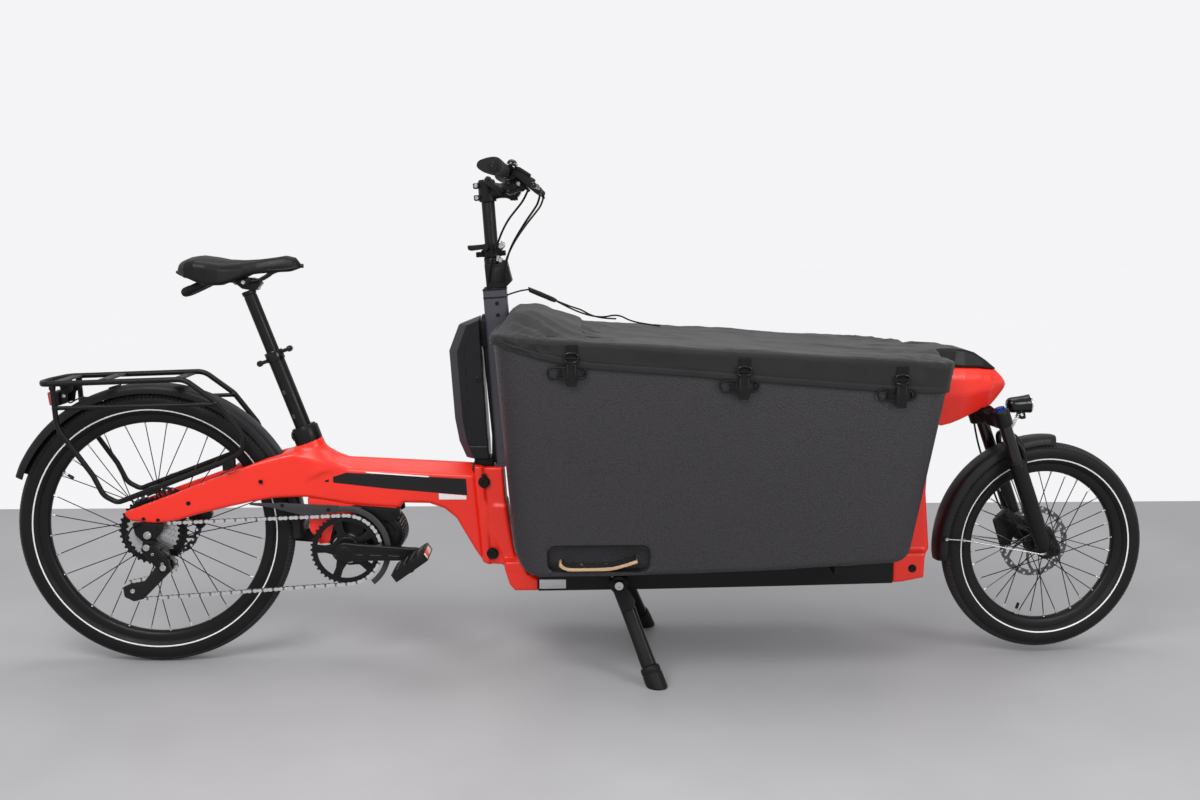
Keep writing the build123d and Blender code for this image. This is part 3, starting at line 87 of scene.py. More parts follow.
# ---------------------------------------------------------------------------
# Camera, floor and light
# ---------------------------------------------------------------------------
cam_data = bpy.data.cameras.new("camera")
cam_data.lens, cam_data.sensor_width = 37.41, 36.0
cam_data.clip_start, cam_data.clip_end = 0.05, 60
camera = bpy.data.objects.new("camera", cam_data)
scene.collection.objects.link(camera)
camera.location = (-0.0382, -3.0035, 1.0702)
look = Matrix.Rotation(math.radians(-1.2817), 3, "Z") @ Matrix.Rotation(math.radians(90 - 8.078), 3, "X") @ Matrix.Rotation(-0.0019, 3, "Z")
camera.rotation_mode = "QUATERNION"
camera.rotation_quaternion = look.to_quaternion()
scene.camera = camera


# ---------------------------------------------------------------------------
# Materials
# ---------------------------------------------------------------------------
class Nodes:
    def __init__(self, name):
        self.m = bpy.data.materials.new(name)
        self.m.use_nodes = True
        self.t = self.m.node_tree
        self.bsdf = next(n for n in self.t.nodes if n.type == "BSDF_PRINCIPLED")
        self.co = self.t.nodes.new("ShaderNodeTexCoord").outputs["Object"]
        self.height = None

    def new(self, kind, **props):
        n = self.t.nodes.new(kind)
        for k, v in props.items():
            if k.startswith("i_"):
                n.inputs[k[2:].replace("_", " ")].default_value = v
            else:
                setattr(n, k, v)
        return n

    def link(self, a, b):
        self.t.links.new(a, b)

    def noise(self, scale, detail=2.0, rough=0.5, co=None, stretch=None):
        co = co or self.co
        if stretch:
            mp = self.new("ShaderNodeMapping")
            mp.inputs["Scale"].default_value = stretch
            self.link(co, mp.inputs["Vector"])
            co = mp.outputs["Vector"]
        n = self.new("ShaderNodeTexNoise", i_Scale=scale, i_Detail=detail, i_Roughness=rough)
        self.link(co, n.inputs["Vector"])
        return n.outputs["Fac"]

    def voronoi(self, scale, feature="F1", co=None):
        n = self.new("ShaderNodeTexVoronoi", feature=feature, i_Scale=scale)
        self.link(co or self.co, n.inputs["Vector"])
        return n.outputs["Distance"]

    def wave(self, scale, direction="X", kind="BANDS", distort=0.0, co=None, profile="SIN"):
        n = self.new("ShaderNodeTexWave", wave_type=kind, bands_direction=direction, wave_profile=profile, i_Scale=scale, i_Distortion=distort)
        self.link(co or self.co, n.inputs["Vector"])
        return n.outputs["Fac"]

    def ramp(self, fac, stops, smooth=False):
        n = self.new("ShaderNodeValToRGB")
        if smooth:
            n.color_ramp.interpolation = "EASE"
        els = n.color_ramp.elements
        while len(els) < len(stops):
            els.new(0.5)
        for e, (p, c) in zip(els, stops):
            e.position = p
            e.color = (c, c, c, 1) if not hasattr(c, "__len__") else (*c, 1)
        self.link(fac, n.inputs["Fac"])
        return n.outputs["Color"]

    def math(self, op, a, b=None, c=None):
        n = self.new("ShaderNodeMath", operation=op)
        for i, x in enumerate((a, b, c)):
            if x is None:
                continue
            if isinstance(x, (int, float)):
                n.inputs[i].default_value = x
            else:
                self.link(x, n.inputs[i])
        return n.outputs[0]

    def mix(self, fac, a, b):
        n = self.new("ShaderNodeMix", data_type="RGBA")
        for key, x in (("Factor", fac), ("A", a), ("B", b)):
            sock = [s for s in n.inputs if s.name == key and s.enabled][0]
            if isinstance(x, (int, float)):
                sock.default_value = x
            elif hasattr(x, "__len__"):
                sock.default_value = (*x[:3], 1)
            else:
                self.link(x, sock)
        return [s for s in n.outputs if s.enabled][0]

    def bump(self, height, strength=0.3, distance=0.001):
        n = self.new("ShaderNodeBump", i_Strength=strength, i_Distance=distance)
        self.link(height, n.inputs["Height"])
        if self.height is not None:
            self.link(self.height, n.inputs["Normal"])
        self.height = n.outputs["Normal"]
        self.link(self.height, self.bsdf.inputs["Normal"])

    def put(self, **v):
        for k, x in v.items():
            sock = self.bsdf.inputs[k.replace("_", " ")]
            if isinstance(x, (int, float)):
                sock.default_value = x
            elif hasattr(x, "__len__"):
                sock.default_value = (*x[:3], 1)
            else:
                self.link(x, sock)
        return self


def srgb(r, g, b):
    return tuple(((c / 255) / 12.92 if c / 255 <= 0.04045 else ((c / 255 + 0.055) / 1.055) ** 2.4) for c in (r, g, b))


MATS = {}


def paint(name, color, rough, metal=0.0, coat=0.0, peel=0.10, vary=0.06, grain=900, spec=0.24, coat_rough=0.12, smudge=0.06):
    """Painted, anodised or moulded surface: faint orange peel, colour drift, smudges in the gloss."""
    n = Nodes(name)
    drift = n.noise(7.0, 3.0)
    dark = tuple(c * (1 - vary) for c in color)
    light = tuple(min(1, c * (1 + vary)) for c in color)
    n.put(Base_Color=n.ramp(drift, [(0.3, dark), (0.7, light)]), Metallic=metal, Specular_IOR_Level=spec, Coat_Weight=coat, Coat_Roughness=coat_rough)
    n.put(Roughness=n.ramp(n.noise(26.0, 4.0), [(0.3, max(0.02, rough - smudge)), (0.7, min(1, rough + smudge))]))
    if peel:
        n.bump(n.noise(grain, 2.0), peel, 0.0002)
    MATS[name] = n.m
    return n.m


RED = srgb(240, 44, 26)
paint("frame_red", RED, 0.36, coat=0.22, peel=0.06, vary=0.02, grain=420, coat_rough=0.24, spec=0.4)
paint("frame_black", (0.0055, 0.0055, 0.006), 0.40, peel=0.10, vary=0.15, grain=700)
paint("alloy_black", (0.008, 0.008, 0.0085), 0.32, metal=0.15, peel=0.05, vary=0.15, grain=1200)
paint("alloy_gloss", (0.004, 0.004, 0.0045), 0.18, coat=0.3, peel=0.03, vary=0.12, grain=900)
paint("mast_grey", (0.058, 0.054, 0.066), 0.36, peel=0.10, vary=0.10, grain=700)
paint("guard_grey", (0.044, 0.042, 0.045), 0.50, peel=0.16, vary=0.12, grain=1400)
paint("plastic_black", (0.006, 0.006, 0.0065), 0.42, peel=0.18, vary=0.15, grain=1500)
paint("plastic_gloss", (0.004, 0.004, 0.0045), 0.14, coat=0.4, peel=0.02, vary=0.1)
paint("battery_shell", (0.010, 0.0092, 0.0115), 0.33, peel=0.16, vary=0.12, grain=1800)
paint("battery_face", (0.038, 0.036, 0.042), 0.42, peel=0.22, vary=0.12, grain=2200)
paint("mudguard_black", (0.012, 0.0108, 0.0122), 0.44, coat=0.0, peel=0.05, vary=0.12, grain=500)
paint("screw_black", (0.010, 0.010, 0.010), 0.32, metal=0.3, peel=0.0)
paint("blue_cap", srgb(24, 70, 150), 0.28, metal=0.7, peel=0.0, vary=0.1)
paint("chrome", (0.75, 0.75, 0.76), 0.10, metal=1.0, peel=0.0, vary=0.04, smudge=0.04)
paint("amber", srgb(230, 120, 70), 0.18, coat=0.6, peel=0.0, vary=0.1)
paint("white_mark", (0.85, 0.85, 0.84), 0.45, peel=0.02, vary=0.02)
paint("decal_black", (0.006, 0.006, 0.0065), 0.22, coat=0.3, peel=0.02, vary=0.1)
paint("film_dark", (0.020, 0.018, 0.017), 0.30, coat=0.2, peel=0.10, vary=0.12, grain=600)


def steel(name, color, rough, direction="Y", grain=60.0):
    n = Nodes(name)
    mp = n.new("ShaderNodeMapping")
    mp.inputs["Scale"].default_value = (60, 60, 60) if direction == "all" else (400 if direction != "X" else 8, 8 if direction == "Y" else 400, 400 if direction != "Z" else 8)
    n.link(n.co, mp.inputs["Vector"])
    streak = n.noise(4.0, 4.0, 0.7, co=mp.outputs["Vector"])
    n.put(Base_Color=n.ramp(streak, [(0.3, tuple(c * 0.85 for c in color)), (0.7, color)]), Metallic=1.0)
    n.put(Roughness=n.ramp(streak, [(0.25, rough + 0.12), (0.75, rough)]))
    n.bump(streak, 0.06, 0.0002)
    MATS[name] = n.m


steel("steel", (0.62, 0.62, 0.63), 0.22)
steel("steel_dark", (0.20, 0.20, 0.205), 0.34, "all")
steel("chain_steel", (0.82, 0.82, 0.82), 0.24, "all")
steel("plate_silver", (0.62, 0.61, 0.63), 0.34, "X")
steel("disc_steel", (0.15, 0.15, 0.155), 0.30, "all")


def rubber(name, color, rough, fine=1600, strength=0.25):
    n = Nodes(name)
    n.put(Base_Color=n.ramp(n.noise(9.0, 4.0), [(0.3, tuple(c * 0.8 for c in color)), (0.72, tuple(c * 1.25 for c in color))]), Specular_IOR_Level=0.22)
    n.put(Roughness=n.ramp(n.noise(40.0, 4.0), [(0.3, rough - 0.07), (0.7, rough + 0.07)]))
    n.bump(n.noise(fine, 3.0), strength, 0.0003)
    MATS[name] = n.m


rubber("tyre_rubber", (0.0062, 0.0060, 0.0062), 0.50)
# The tread is the sidewall's rubber painted about five times lighter: a painted highlight for the light the tread
# blocks reflect.
rubber("tread_rubber_painted_sheen", (0.0310, 0.0296, 0.0310), 0.60, 1100, 0.4)
rubber("rubber", (0.007, 0.007, 0.007), 0.55)
rubber("grip_rubber", (0.010, 0.0098, 0.010), 0.56, 2200, 0.4)
rubber("hose", (0.004, 0.004, 0.004), 0.34, 2500, 0.1)

n = Nodes("stripe")
n.put(Base_Color=n.ramp(n.voronoi(2600), [(0.0, (0.72, 0.73, 0.75)), (1.0, (0.88, 0.88, 0.88))]), Roughness=0.35, Coat_Weight=0.3)
n.bump(n.voronoi(2600), 0.15, 0.0002)
MATS["stripe"] = n.m

# Pebbled moulded plastic of the cargo box. The raised tops of the pebbles are painted lighter and the hollows between
# them darker: painted highlight and shade on the grain.
n = Nodes("box_pebble")
drift, cells = n.noise(5.0, 4.0), n.voronoi(330, "SMOOTH_F1")
n.put(Base_Color=n.mix(n.ramp(cells, [(0.15, 0.0), (0.65, 1.0)]), (0.0300, 0.0272, 0.0315), n.ramp(drift, [(0.3, (0.0130, 0.0116, 0.0138)), (0.7, (0.0170, 0.0152, 0.0180))])), Specular_IOR_Level=0.50)
n.put(Roughness=n.ramp(cells, [(0.1, 0.34), (0.7, 0.52)]))
n.bump(n.math("SUBTRACT", 1.0, cells), 0.8, 0.0013)
n.bump(n.noise(900, 3.0), 0.35, 0.0004)
MATS["box_pebble"] = n.m

# Coated woven cover cloth: two thread directions, slubs and soft sheen.
n = Nodes("cover_cloth")
wx, wy = n.wave(520, "X"), n.wave(520, "Y")
weave = n.math("MAXIMUM", wx, wy)
patch = n.noise(11.0, 4.0)
n.put(Base_Color=n.mix(n.ramp(weave, [(0.2, 0.0), (0.9, 1.0)]), n.ramp(patch, [(0.3, (0.0125, 0.0120, 0.0125)), (0.7, (0.0180, 0.0172, 0.0180))]), (0.030, 0.0285, 0.030)), Sheen_Weight=0.12, Sheen_Roughness=0.4, Specular_IOR_Level=0.3)
n.put(Roughness=n.ramp(patch, [(0.3, 0.58), (0.7, 0.70)]))
n.bump(weave, 0.35, 0.0004)
n.bump(n.noise(60, 4.0), 0.2, 0.002)
MATS["cover_cloth"] = n.m

# The cover's own cloth painted about half as dark, for its skirt and turned-in edge: painted shade on the sheet's
# vertical sides.
n = Nodes("cover_skirt_painted_shade")
wx, wy = n.wave(520, "X"), n.wave(520, "Z")
weave = n.math("MAXIMUM", wx, wy)
n.put(Base_Color=n.mix(n.ramp(weave, [(0.2, 0.0), (0.9, 1.0)]), (0.0085, 0.0080, 0.0085), (0.0170, 0.0160, 0.0170)), Sheen_Weight=0.08, Sheen_Roughness=0.4, Roughness=0.62, Specular_IOR_Level=0.28)
n.bump(weave, 0.35, 0.0004)
MATS["cover_skirt_painted_shade"] = n.m

n = Nodes("webbing")
rib = n.wave(900, "DIAGONAL")
n.put(Base_Color=n.ramp(rib, [(0.2, (0.0014, 0.0014, 0.0015)), (0.8, (0.0048, 0.0046, 0.0050))]), Roughness=0.56, Sheen_Weight=0.02, Specular_IOR_Level=0.22)
n.bump(rib, 0.5, 0.0005)
MATS["webbing"] = n.m

# Birch plywood edge: thin plies, lighter and darker, stacked in height.
n = Nodes("plywood")
ply = n.wave(105, "Z", distort=0.6)
fibre = n.noise(120, 4.0, stretch=(0.15, 1.0, 3.0))
n.put(Base_Color=n.mix(n.ramp(fibre, [(0.3, 0.0), (0.8, 0.5)]), n.ramp(ply, [(0.2, srgb(150, 112, 80)), (0.55, srgb(214, 182, 142)), (0.9, srgb(226, 198, 162))]), srgb(176, 140, 104)), Roughness=0.5, Coat_Weight=0.15)
n.bump(ply, 0.25, 0.0005)
MATS["plywood"] = n.m

n = Nodes("saddle_leather")
cells = n.voronoi(620, "SMOOTH_F1")
n.put(Base_Color=n.ramp(n.noise(12, 4.0), [(0.3, (0.0042, 0.0040, 0.0045)), (0.7, (0.0070, 0.0066, 0.0074))]), Specular_IOR_Level=0.24)
n.put(Roughness=n.ramp(n.noise(30, 4.0), [(0.3, 0.36), (0.7, 0.48)]))
n.bump(cells, 0.35, 0.0005)
MATS["saddle_leather"] = n.m

n = Nodes("red_lens")
facet = n.voronoi(420)
n.put(Base_Color=n.ramp(facet, [(0.0, (0.62, 0.02, 0.05)), (0.8, (0.30, 0.005, 0.02))]), Roughness=0.12, Coat_Weight=0.8, Emission_Color=(0.6, 0.05, 0.08), Emission_Strength=0.12)
n.bump(facet, 0.3, 0.0006)
MATS["red_lens"] = n.m

n = Nodes("lamp_glass")
ribs = n.wave(380, "Y")
n.put(Base_Color=n.ramp(ribs, [(0.2, (0.62, 0.64, 0.66)), (0.8, (0.86, 0.87, 0.88))]), Roughness=0.08, Metallic=0.35, Coat_Weight=0.9)
n.bump(ribs, 0.4, 0.0006)
MATS["lamp_glass"] = n.m

n = Nodes("screen")
n.put(Base_Color=n.ramp(n.noise(3), [(0.3, (0.02, 0.022, 0.026)), (0.7, (0.035, 0.037, 0.042))]), Roughness=0.08, Coat_Weight=0.8)
MATS["screen"] = n.m

n = Nodes("stanchion")
n.put(Base_Color=n.ramp(n.noise(14, 2), [(0.3, (0.0085, 0.0080, 0.0078)), (0.7, (0.0130, 0.0120, 0.0115))]), Roughness=n.ramp(n.noise(60, 3), [(0.3, 0.10), (0.7, 0.17)]), Specular_IOR_Level=0.4, Coat_Weight=0.12)
MATS["stanchion"] = n.m

# Floor: pale smooth concrete, and a surround as bright as the backdrop.
n = Nodes("floor")
cloud, blotch, fine = n.noise(1.3, 6.0, 0.6), n.noise(0.45, 3.0), n.noise(55.0, 3.0)
concrete = n.mix(n.ramp(blotch, [(0.35, 0.0), (0.65, 1.0)]), n.ramp(cloud, [(0.3, (0.345, 0.342, 0.352)), (0.7, (0.400, 0.396, 0.405))]), n.ramp(cloud, [(0.3, (0.385, 0.382, 0.390)), (0.7, (0.440, 0.436, 0.445))]))
n.put(Base_Color=concrete, Roughness=n.ramp(cloud, [(0.3, 0.42), (0.7, 0.60)]), Specular_IOR_Level=0.35)
n.bump(fine, 0.05, 0.002)
MATS["floor"] = n.m

n = Nodes("surround")
haze = n.noise(0.3, 2.0)
n.put(Base_Color=(0.0, 0.0, 0.0), Roughness=1.0, Specular_IOR_Level=0.0, Emission_Color=n.ramp(haze, [(0.3, (0.950, 0.950, 0.965)), (0.7, (0.960, 0.960, 0.975))]), Emission_Strength=0.95)
MATS["surround"] = n.m


def slab_floor(name, corners, z, mat):
    me = bpy.data.meshes.new(name)
    me.from_pydata([(x, y, z) for x, y in corners], [], [tuple(range(len(corners)))])
    me.materials.append(MATS[mat])
    o = bpy.data.objects.new(name, me)
    scene.collection.objects.link(o)
    return o


slab_floor("floor", [(-4.6, -4.2), (4.6, -4.2), (4.6, 1.67), (-4.6, 1.67)], 0.0, "floor")
slab_floor("floor_surround", [(-30, -30), (30, -30), (30, 30), (-30, 30)], -0.004, "surround")

world = bpy.data.worlds.new("world")
scene.world = world
world.use_nodes = True
wt = world.node_tree
room = wt.nodes["Background"]
room.inputs[0].default_value, room.inputs[1].default_value = (0.93, 0.93, 0.95, 1), 0.60
wall = wt.nodes.new("ShaderNodeBackground")
wall.inputs[0].default_value, wall.inputs[1].default_value = (0.955, 0.955, 0.97, 1), 0.95
seen, pick = wt.nodes.new("ShaderNodeLightPath"), wt.nodes.new("ShaderNodeMixShader")
wt.links.new(seen.outputs["Is Camera Ray"], pick.inputs[0])
wt.links.new(room.outputs[0], pick.inputs[1])
wt.links.new(wall.outputs[0], pick.inputs[2])
wt.links.new(pick.outputs[0], wt.nodes["World Output"].inputs[0])


def area(name, loc, target, size, power, size_y=None):
    d = bpy.data.lights.new(name, "AREA")
    d.energy, d.size = power, size
    if size_y:
        d.shape, d.size_y = "RECTANGLE", size_y
    o = bpy.data.objects.new(name, d)
    scene.collection.objects.link(o)
    o.location = loc
    o.rotation_euler = (Vector(target) - Vector(loc)).to_track_quat("-Z", "Y").to_euler()
    return o


area("key", (-1.3, -2.6, 3.2), (0.0, 0, 0.5), 2.2, 92, 1.4)
area("fill", (2.6, -2.8, 2.0), (0.4, 0, 0.5), 1.4, 46)
area("top", (0.2, 0.5, 3.9), (0.1, 0.0, 0.5), 3.4, 52, 1.8)
scene.view_settings.view_transform = "Standard"
scene.view_settings.look = "None"


# ---------------------------------------------------------------------------
# Mesh helpers
# ---------------------------------------------------------------------------
def make(name, v, f, mats, body="root", replaces=(), slot=None, fm=None, sharp=38, steered=False, recalc=True):
    """A mesh object from points in millimetres, riding on a body."""
    v = np.asarray(v, float)
    if steered:
        v = steer(v)
    v = (v + [X0, 0, 0]) / 1000
    me = bpy.data.meshes.new(name)
    me.from_pydata(v.tolist(), [], [tuple(q) for q in f])
    mats = [mats] if isinstance(mats, str) else mats
    for m in mats:
        me.materials.append(MATS[m])
    if fm is not None:
        me.polygons.foreach_set("material_index", np.asarray(fm, np.int32))
    if recalc:
        bm = bmesh.new()
        bm.from_mesh(me)
        bmesh.ops.recalc_face_normals(bm, faces=bm.faces)
        bm.to_mesh(me)
        bm.free()
    me.shade_smooth()
    if sharp:
        me.set_sharp_from_angle(angle=math.radians(sharp))
    o = bpy.data.objects.new(name, me)
    scene.collection.objects.link(o)
    if body:
        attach(o, body)
    if replaces:
        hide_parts(*([replaces] if isinstance(replaces, str) else replaces))
    return o


class B:
    """Collects parts of one piece."""

    def __init__(self):
        self.v, self.f, self.m, self.n = [], [], [], 0

    def add(self, vf, m=0, move=None):
        v, f = vf
        v = np.asarray(v, float)
        if move is not None:
            v = move(v)
        n = self.n
        self.v.append(v)
        self.f += [tuple(int(i) + n for i in q) for q in f]
        self.m += list(m) if hasattr(m, "__len__") else [m] * len(f)
        self.n += len(v)
        return self

    def make(self, name, mats, body="root", **kw):
        return make(name, np.vstack(self.v), self.f, mats, body, fm=self.m, **kw)


def frame_of(axis):
    a = np.asarray(axis, float)
    a = a / np.linalg.norm(a)
    u = np.cross([0, 1, 0], a) if abs(a[1]) < 0.9 else np.cross([1, 0, 0], a)
    u = u / np.linalg.norm(u)
    return u, np.cross(a, u), a


def lathe(profile, origin, axis, segs=48, closed=False, cap=True, a0=0.0, a1=360.0):
    """profile of (radius, along) about an axis; closed joins its ends into a ring section."""
    u, w, a = frame_of(axis)
    origin = np.asarray(origin, float)
    full = abs(a1 - a0) >= 359.99
    count = segs if full else segs + 1
    t = np.radians(a0 + (a1 - a0) * np.arange(count) / segs)
    ring = np.cos(t)[:, None] * u + np.sin(t)[:, None] * w
    v = np.vstack([origin + r * ring + s * a for r, s in profile])
    f, p = [], len(profile)
    for i in range(p if closed else p - 1):
        i2 = (i + 1) % p
        for k in range(segs):
            k2 = (k + 1) % count if full else k + 1
            f.append((i * count + k, i * count + k2, i2 * count + k2, i2 * count + k))
    if not closed and cap and full:
        for i in (0, p - 1):
            if profile[i][0] > 1e-6:
                f.append(tuple(i * count + k for k in range(count)))
    if closed and not full:
        for k in (0, count - 1):
            f.append(tuple(i * count + k for i in range(p)))
    return v, f


def cyl(a, b, r, segs=24, bevel=0.6, r2=None):
    a, b = np.asarray(a, float), np.asarray(b, float)
    L = np.linalg.norm(b - a)
    r2 = r if r2 is None else r2
    e = min(bevel, L * 0.3, r * 0.4)
    return lathe([(r - e, 0), (r, e), (r2, L - e), (r2 - e, L)], a, b - a, segs)


def pipe(a, b, r, wall, segs=32, bevel=0.5):
    a, b = np.asarray(a, float), np.asarray(b, float)
    L, e = np.linalg.norm(b - a), bevel
    return lathe([(r - e, 0), (r, e), (r, L - e), (r - e, L), (r - wall + e, L), (r - wall, L - e), (r - wall, e), (r - wall + e, 0)], a, b - a, segs, closed=True)


def curve(points, per=8, closed=False):
    """Points along a smooth centripetal line through the given ones."""
    p = np.asarray(points, float)
    if closed:
        p = np.vstack([p[-1], p, p[0], p[1]])
    else:
        p = np.vstack([2 * p[0] - p[1], p, 2 * p[-1] - p[-2]])
    out = []
    for i in range(1, len(p) - 2):
        t = np.linspace(0, 1, per, endpoint=False)[:, None]
        a, b, c, d = p[i - 1], p[i], p[i + 1], p[i + 2]
        out.append(0.5 * ((2 * b) + (c - a) * t + (2 * a - 5 * b + 4 * c - d) * t**2 + (3 * b - a - 3 * c + d) * t**3))
    if not closed:
        out.append(p[-2][None])
    return np.vstack(out)


def tube(points, r, segs=12, closed=False, flat=1.0, up=None):
    """A round or flattened tube along points."""
    p = np.asarray(points, float)
    n = len(p)
    t = np.gradient(p, axis=0) if not closed else np.roll(p, -1, 0) - np.roll(p, 1, 0)
    t = t / np.linalg.norm(t, axis=1)[:, None]
    u = np.asarray(up, float) if up is not None else frame_of(t[0])[0]
    rr = np.broadcast_to(np.asarray(r, float), (n,))
    ang = np.linspace(0, 2 * np.pi, segs, endpoint=False)
    v = []
    for i in range(n):
        if up is not None:
            u = np.asarray(up, float)
        u = u - t[i] * (u @ t[i])
        u = u / np.linalg.norm(u)
        w = np.cross(t[i], u)
        v.append(p[i] + rr[i] * (np.cos(ang)[:, None] * u * flat + np.sin(ang)[:, None] * w))
    f = []
    for i in range(n if closed else n - 1):
        j = (i + 1) % n
        for k in range(segs):
            k2 = (k + 1) % segs
            f.append((i * segs + k, i * segs + k2, j * segs + k2, j * segs + k))
    if not closed:
        f += [tuple(range(segs)), tuple((n - 1) * segs + k for k in range(segs))]
    return np.vstack(v), f


def ribbon(points, width_dir, width, thick):
    """A flat strap along points, with small rounded edges."""
    p = np.asarray(points, float)
    t = np.gradient(p, axis=0)
    t = t / np.linalg.norm(t, axis=1)[:, None]
    v, h, w = [], thick / 2, width / 2
    e = min(h, w) * 0.6
    sec = [(-w, -h + e), (-w + e, -h), (w - e, -h), (w, -h + e), (w, h - e), (w - e, h), (-w + e, h), (-w, h - e)]
    wd = np.broadcast_to(np.asarray(width_dir, float), p.shape)
    for i in range(len(p)):
        a = wd[i] - t[i] * (wd[i] @ t[i])
        a = a / np.linalg.norm(a)
        b = np.cross(t[i], a)
        v += [p[i] + s * a + q * b for s, q in sec]
    f, k = [], len(sec)
    for i in range(len(p) - 1):
        for j in range(k):
            j2 = (j + 1) % k
            f.append((i * k + j, i * k + j2, (i + 1) * k + j2, (i + 1) * k + j))
    f += [tuple(range(k)), tuple((len(p) - 1) * k + j for j in range(k))]
    return np.array(v), f


def bevelled(v, f, width, segs=2, angle=28, dissolve=False):
    bm = bmesh.new()
    vs = [bm.verts.new(p) for p in np.asarray(v, float)]
    for q in f:
        try:
            bm.faces.new([vs[i] for i in q])
        except ValueError:
            pass
    bmesh.ops.recalc_face_normals(bm, faces=bm.faces)
    bm.normal_update()
    edges = [e for e in bm.edges if len(e.link_faces) == 2 and e.calc_face_angle(0) > math.radians(angle)]
    if width:
        bmesh.ops.bevel(bm, geom=edges, offset=width, segments=segs, profile=0.5, affect="EDGES", clamp_overlap=True)
    bm.verts.index_update()
    v2 = np.array([p.co for p in bm.verts])
    f2 = [tuple(q.index for q in face.verts) for face in bm.faces]
    bm.free()
    return v2, f2


def prism(points, y0, y1, bevel=1.0, segs=2):
    """A side outline (station, height) as thick as y0 to y1."""
    p = np.asarray(points, float)
    n = len(p)
    v = [(x, y0, z) for x, z in p] + [(x, y1, z) for x, z in p]
    f = [tuple(range(n)), tuple(range(2 * n - 1, n - 1, -1))] + [(i, (i + 1) % n, n + (i + 1) % n, n + i) for i in range(n)]
    return bevelled(v, f, bevel, segs)


def block(centre, size, bevel=1.0, rot=None, segs=2):
    c, s = np.asarray(centre, float), np.asarray(size, float) / 2
    v = np.array([(x, y, z) for x in (-1, 1) for y in (-1, 1) for z in (-1, 1)]) * s
    f = [(0, 1, 3, 2), (4, 6, 7, 5), (0, 4, 5, 1), (2, 3, 7, 6), (0, 2, 6, 4), (1, 5, 7, 3)]
    v, f = bevelled(v, f, bevel, segs)
    if rot is not None:
        v = v @ np.asarray(rot, float).T
    return v + c, f


def roty(deg):
    t = math.radians(deg)
    return np.array([[math.cos(t), 0, math.sin(t)], [0, 1, 0], [-math.sin(t), 0, math.cos(t)]])


def rounded(points, r, n=5):
    """The outline with every corner rounded."""
    p, out = np.asarray(points, float), []
    for i in range(len(p)):
        a, b, c = p[i - 1], p[i], p[(i + 1) % len(p)]
        u, w = (a - b) / np.linalg.norm(a - b), (c - b) / np.linalg.norm(c - b)
        half = math.acos(max(-1, min(1, u @ w))) / 2
        if half > 1.5:
            out.append(b)
            continue
        d = min(r / math.tan(half), 0.48 * np.linalg.norm(a - b), 0.48 * np.linalg.norm(c - b))
        for t in np.linspace(0, 1, n):
            out.append((1 - t) ** 2 * (b + u * d) + 2 * t * (1 - t) * b + t * t * (b + w * d))
    return np.array(out)


def ring_prism(outer, inner, y0, y1, bevel=0.0):
    """A plate with one hole: outlines of equal count, same turning direction."""
    n = len(outer)
    v = [(x, y0, z) for x, z in outer] + [(x, y0, z) for x, z in inner] + [(x, y1, z) for x, z in outer] + [(x, y1, z) for x, z in inner]
    f = []
    for i in range(n):
        j = (i + 1) % n
        f += [(i, j, n + j, n + i), (2 * n + i, 3 * n + i, 3 * n + j, 2 * n + j), (i, 2 * n + i, 2 * n + j, j), (n + i, n + j, 3 * n + j, 3 * n + i)]
    return (np.array(v, float), f) if not bevel else bevelled(v, f, bevel, 1)


def gear(x, z, teeth, root, tip, hole, y0, y1, phase=0.0, fat=0.5):
    out, inn = [], []
    for k in range(teeth):
        a = 2 * math.pi * (k + phase) / teeth
        w = 2 * math.pi / teeth
        for da, r in ((-0.5, root), (-0.5 + (1 - fat) / 2, root + 0.15 * (tip - root)), (-0.14, tip), (0.14, tip), (0.5 - (1 - fat) / 2, root + 0.15 * (tip - root))):
            t = a + da * w
            out.append((x + r * math.cos(t), z + r * math.sin(t)))
            inn.append((x + hole * math.cos(t), z + hole * math.sin(t)))
    return ring_prism(out, inn, y0, y1)


def bolt(at, axis, r, h, socket=True, segs=28, washer=0.0):
    """A cap screw head with a six-sided socket, standing on its seat."""
    at = np.asarray(at, float)
    u, w, a = frame_of(axis)
    e = r * 0.14
    rings = [(r, 0, 0), (r, h - e, 0), (r - e, h, 0)]
    if washer:
        rings = [(r + washer, 0, 0), (r + washer, 0.8, 0), (r, 0.8, 0)] + rings[1:]
    if socket:
        rings += [(r * 0.56, h, 0), (r * 0.50, h - 0.3, 1), (r * 0.50, h * 0.35, 1)]
    v, f = [], []
    for q, s, hexa in rings:
        for k in range(segs):
            t = 2 * math.pi * k / segs
            rad = q
            if hexa:
                sector = (t % (math.pi / 3)) - math.pi / 6
                rad = q * math.cos(math.pi / 6) / math.cos(sector) * 1.06
            v.append(at + rad * (math.cos(t) * u + math.sin(t) * w) + s * a)
    for i in range(len(rings) - 1):
        for k in range(segs):
            k2 = (k + 1) % segs
            f.append((i * segs + k, i * segs + k2, (i + 1) * segs + k2, (i + 1) * segs + k))
    f.append(tuple((len(rings) - 1) * segs + k for k in range(segs)))
    f.append(tuple(range(segs)))
    return np.array(v), f


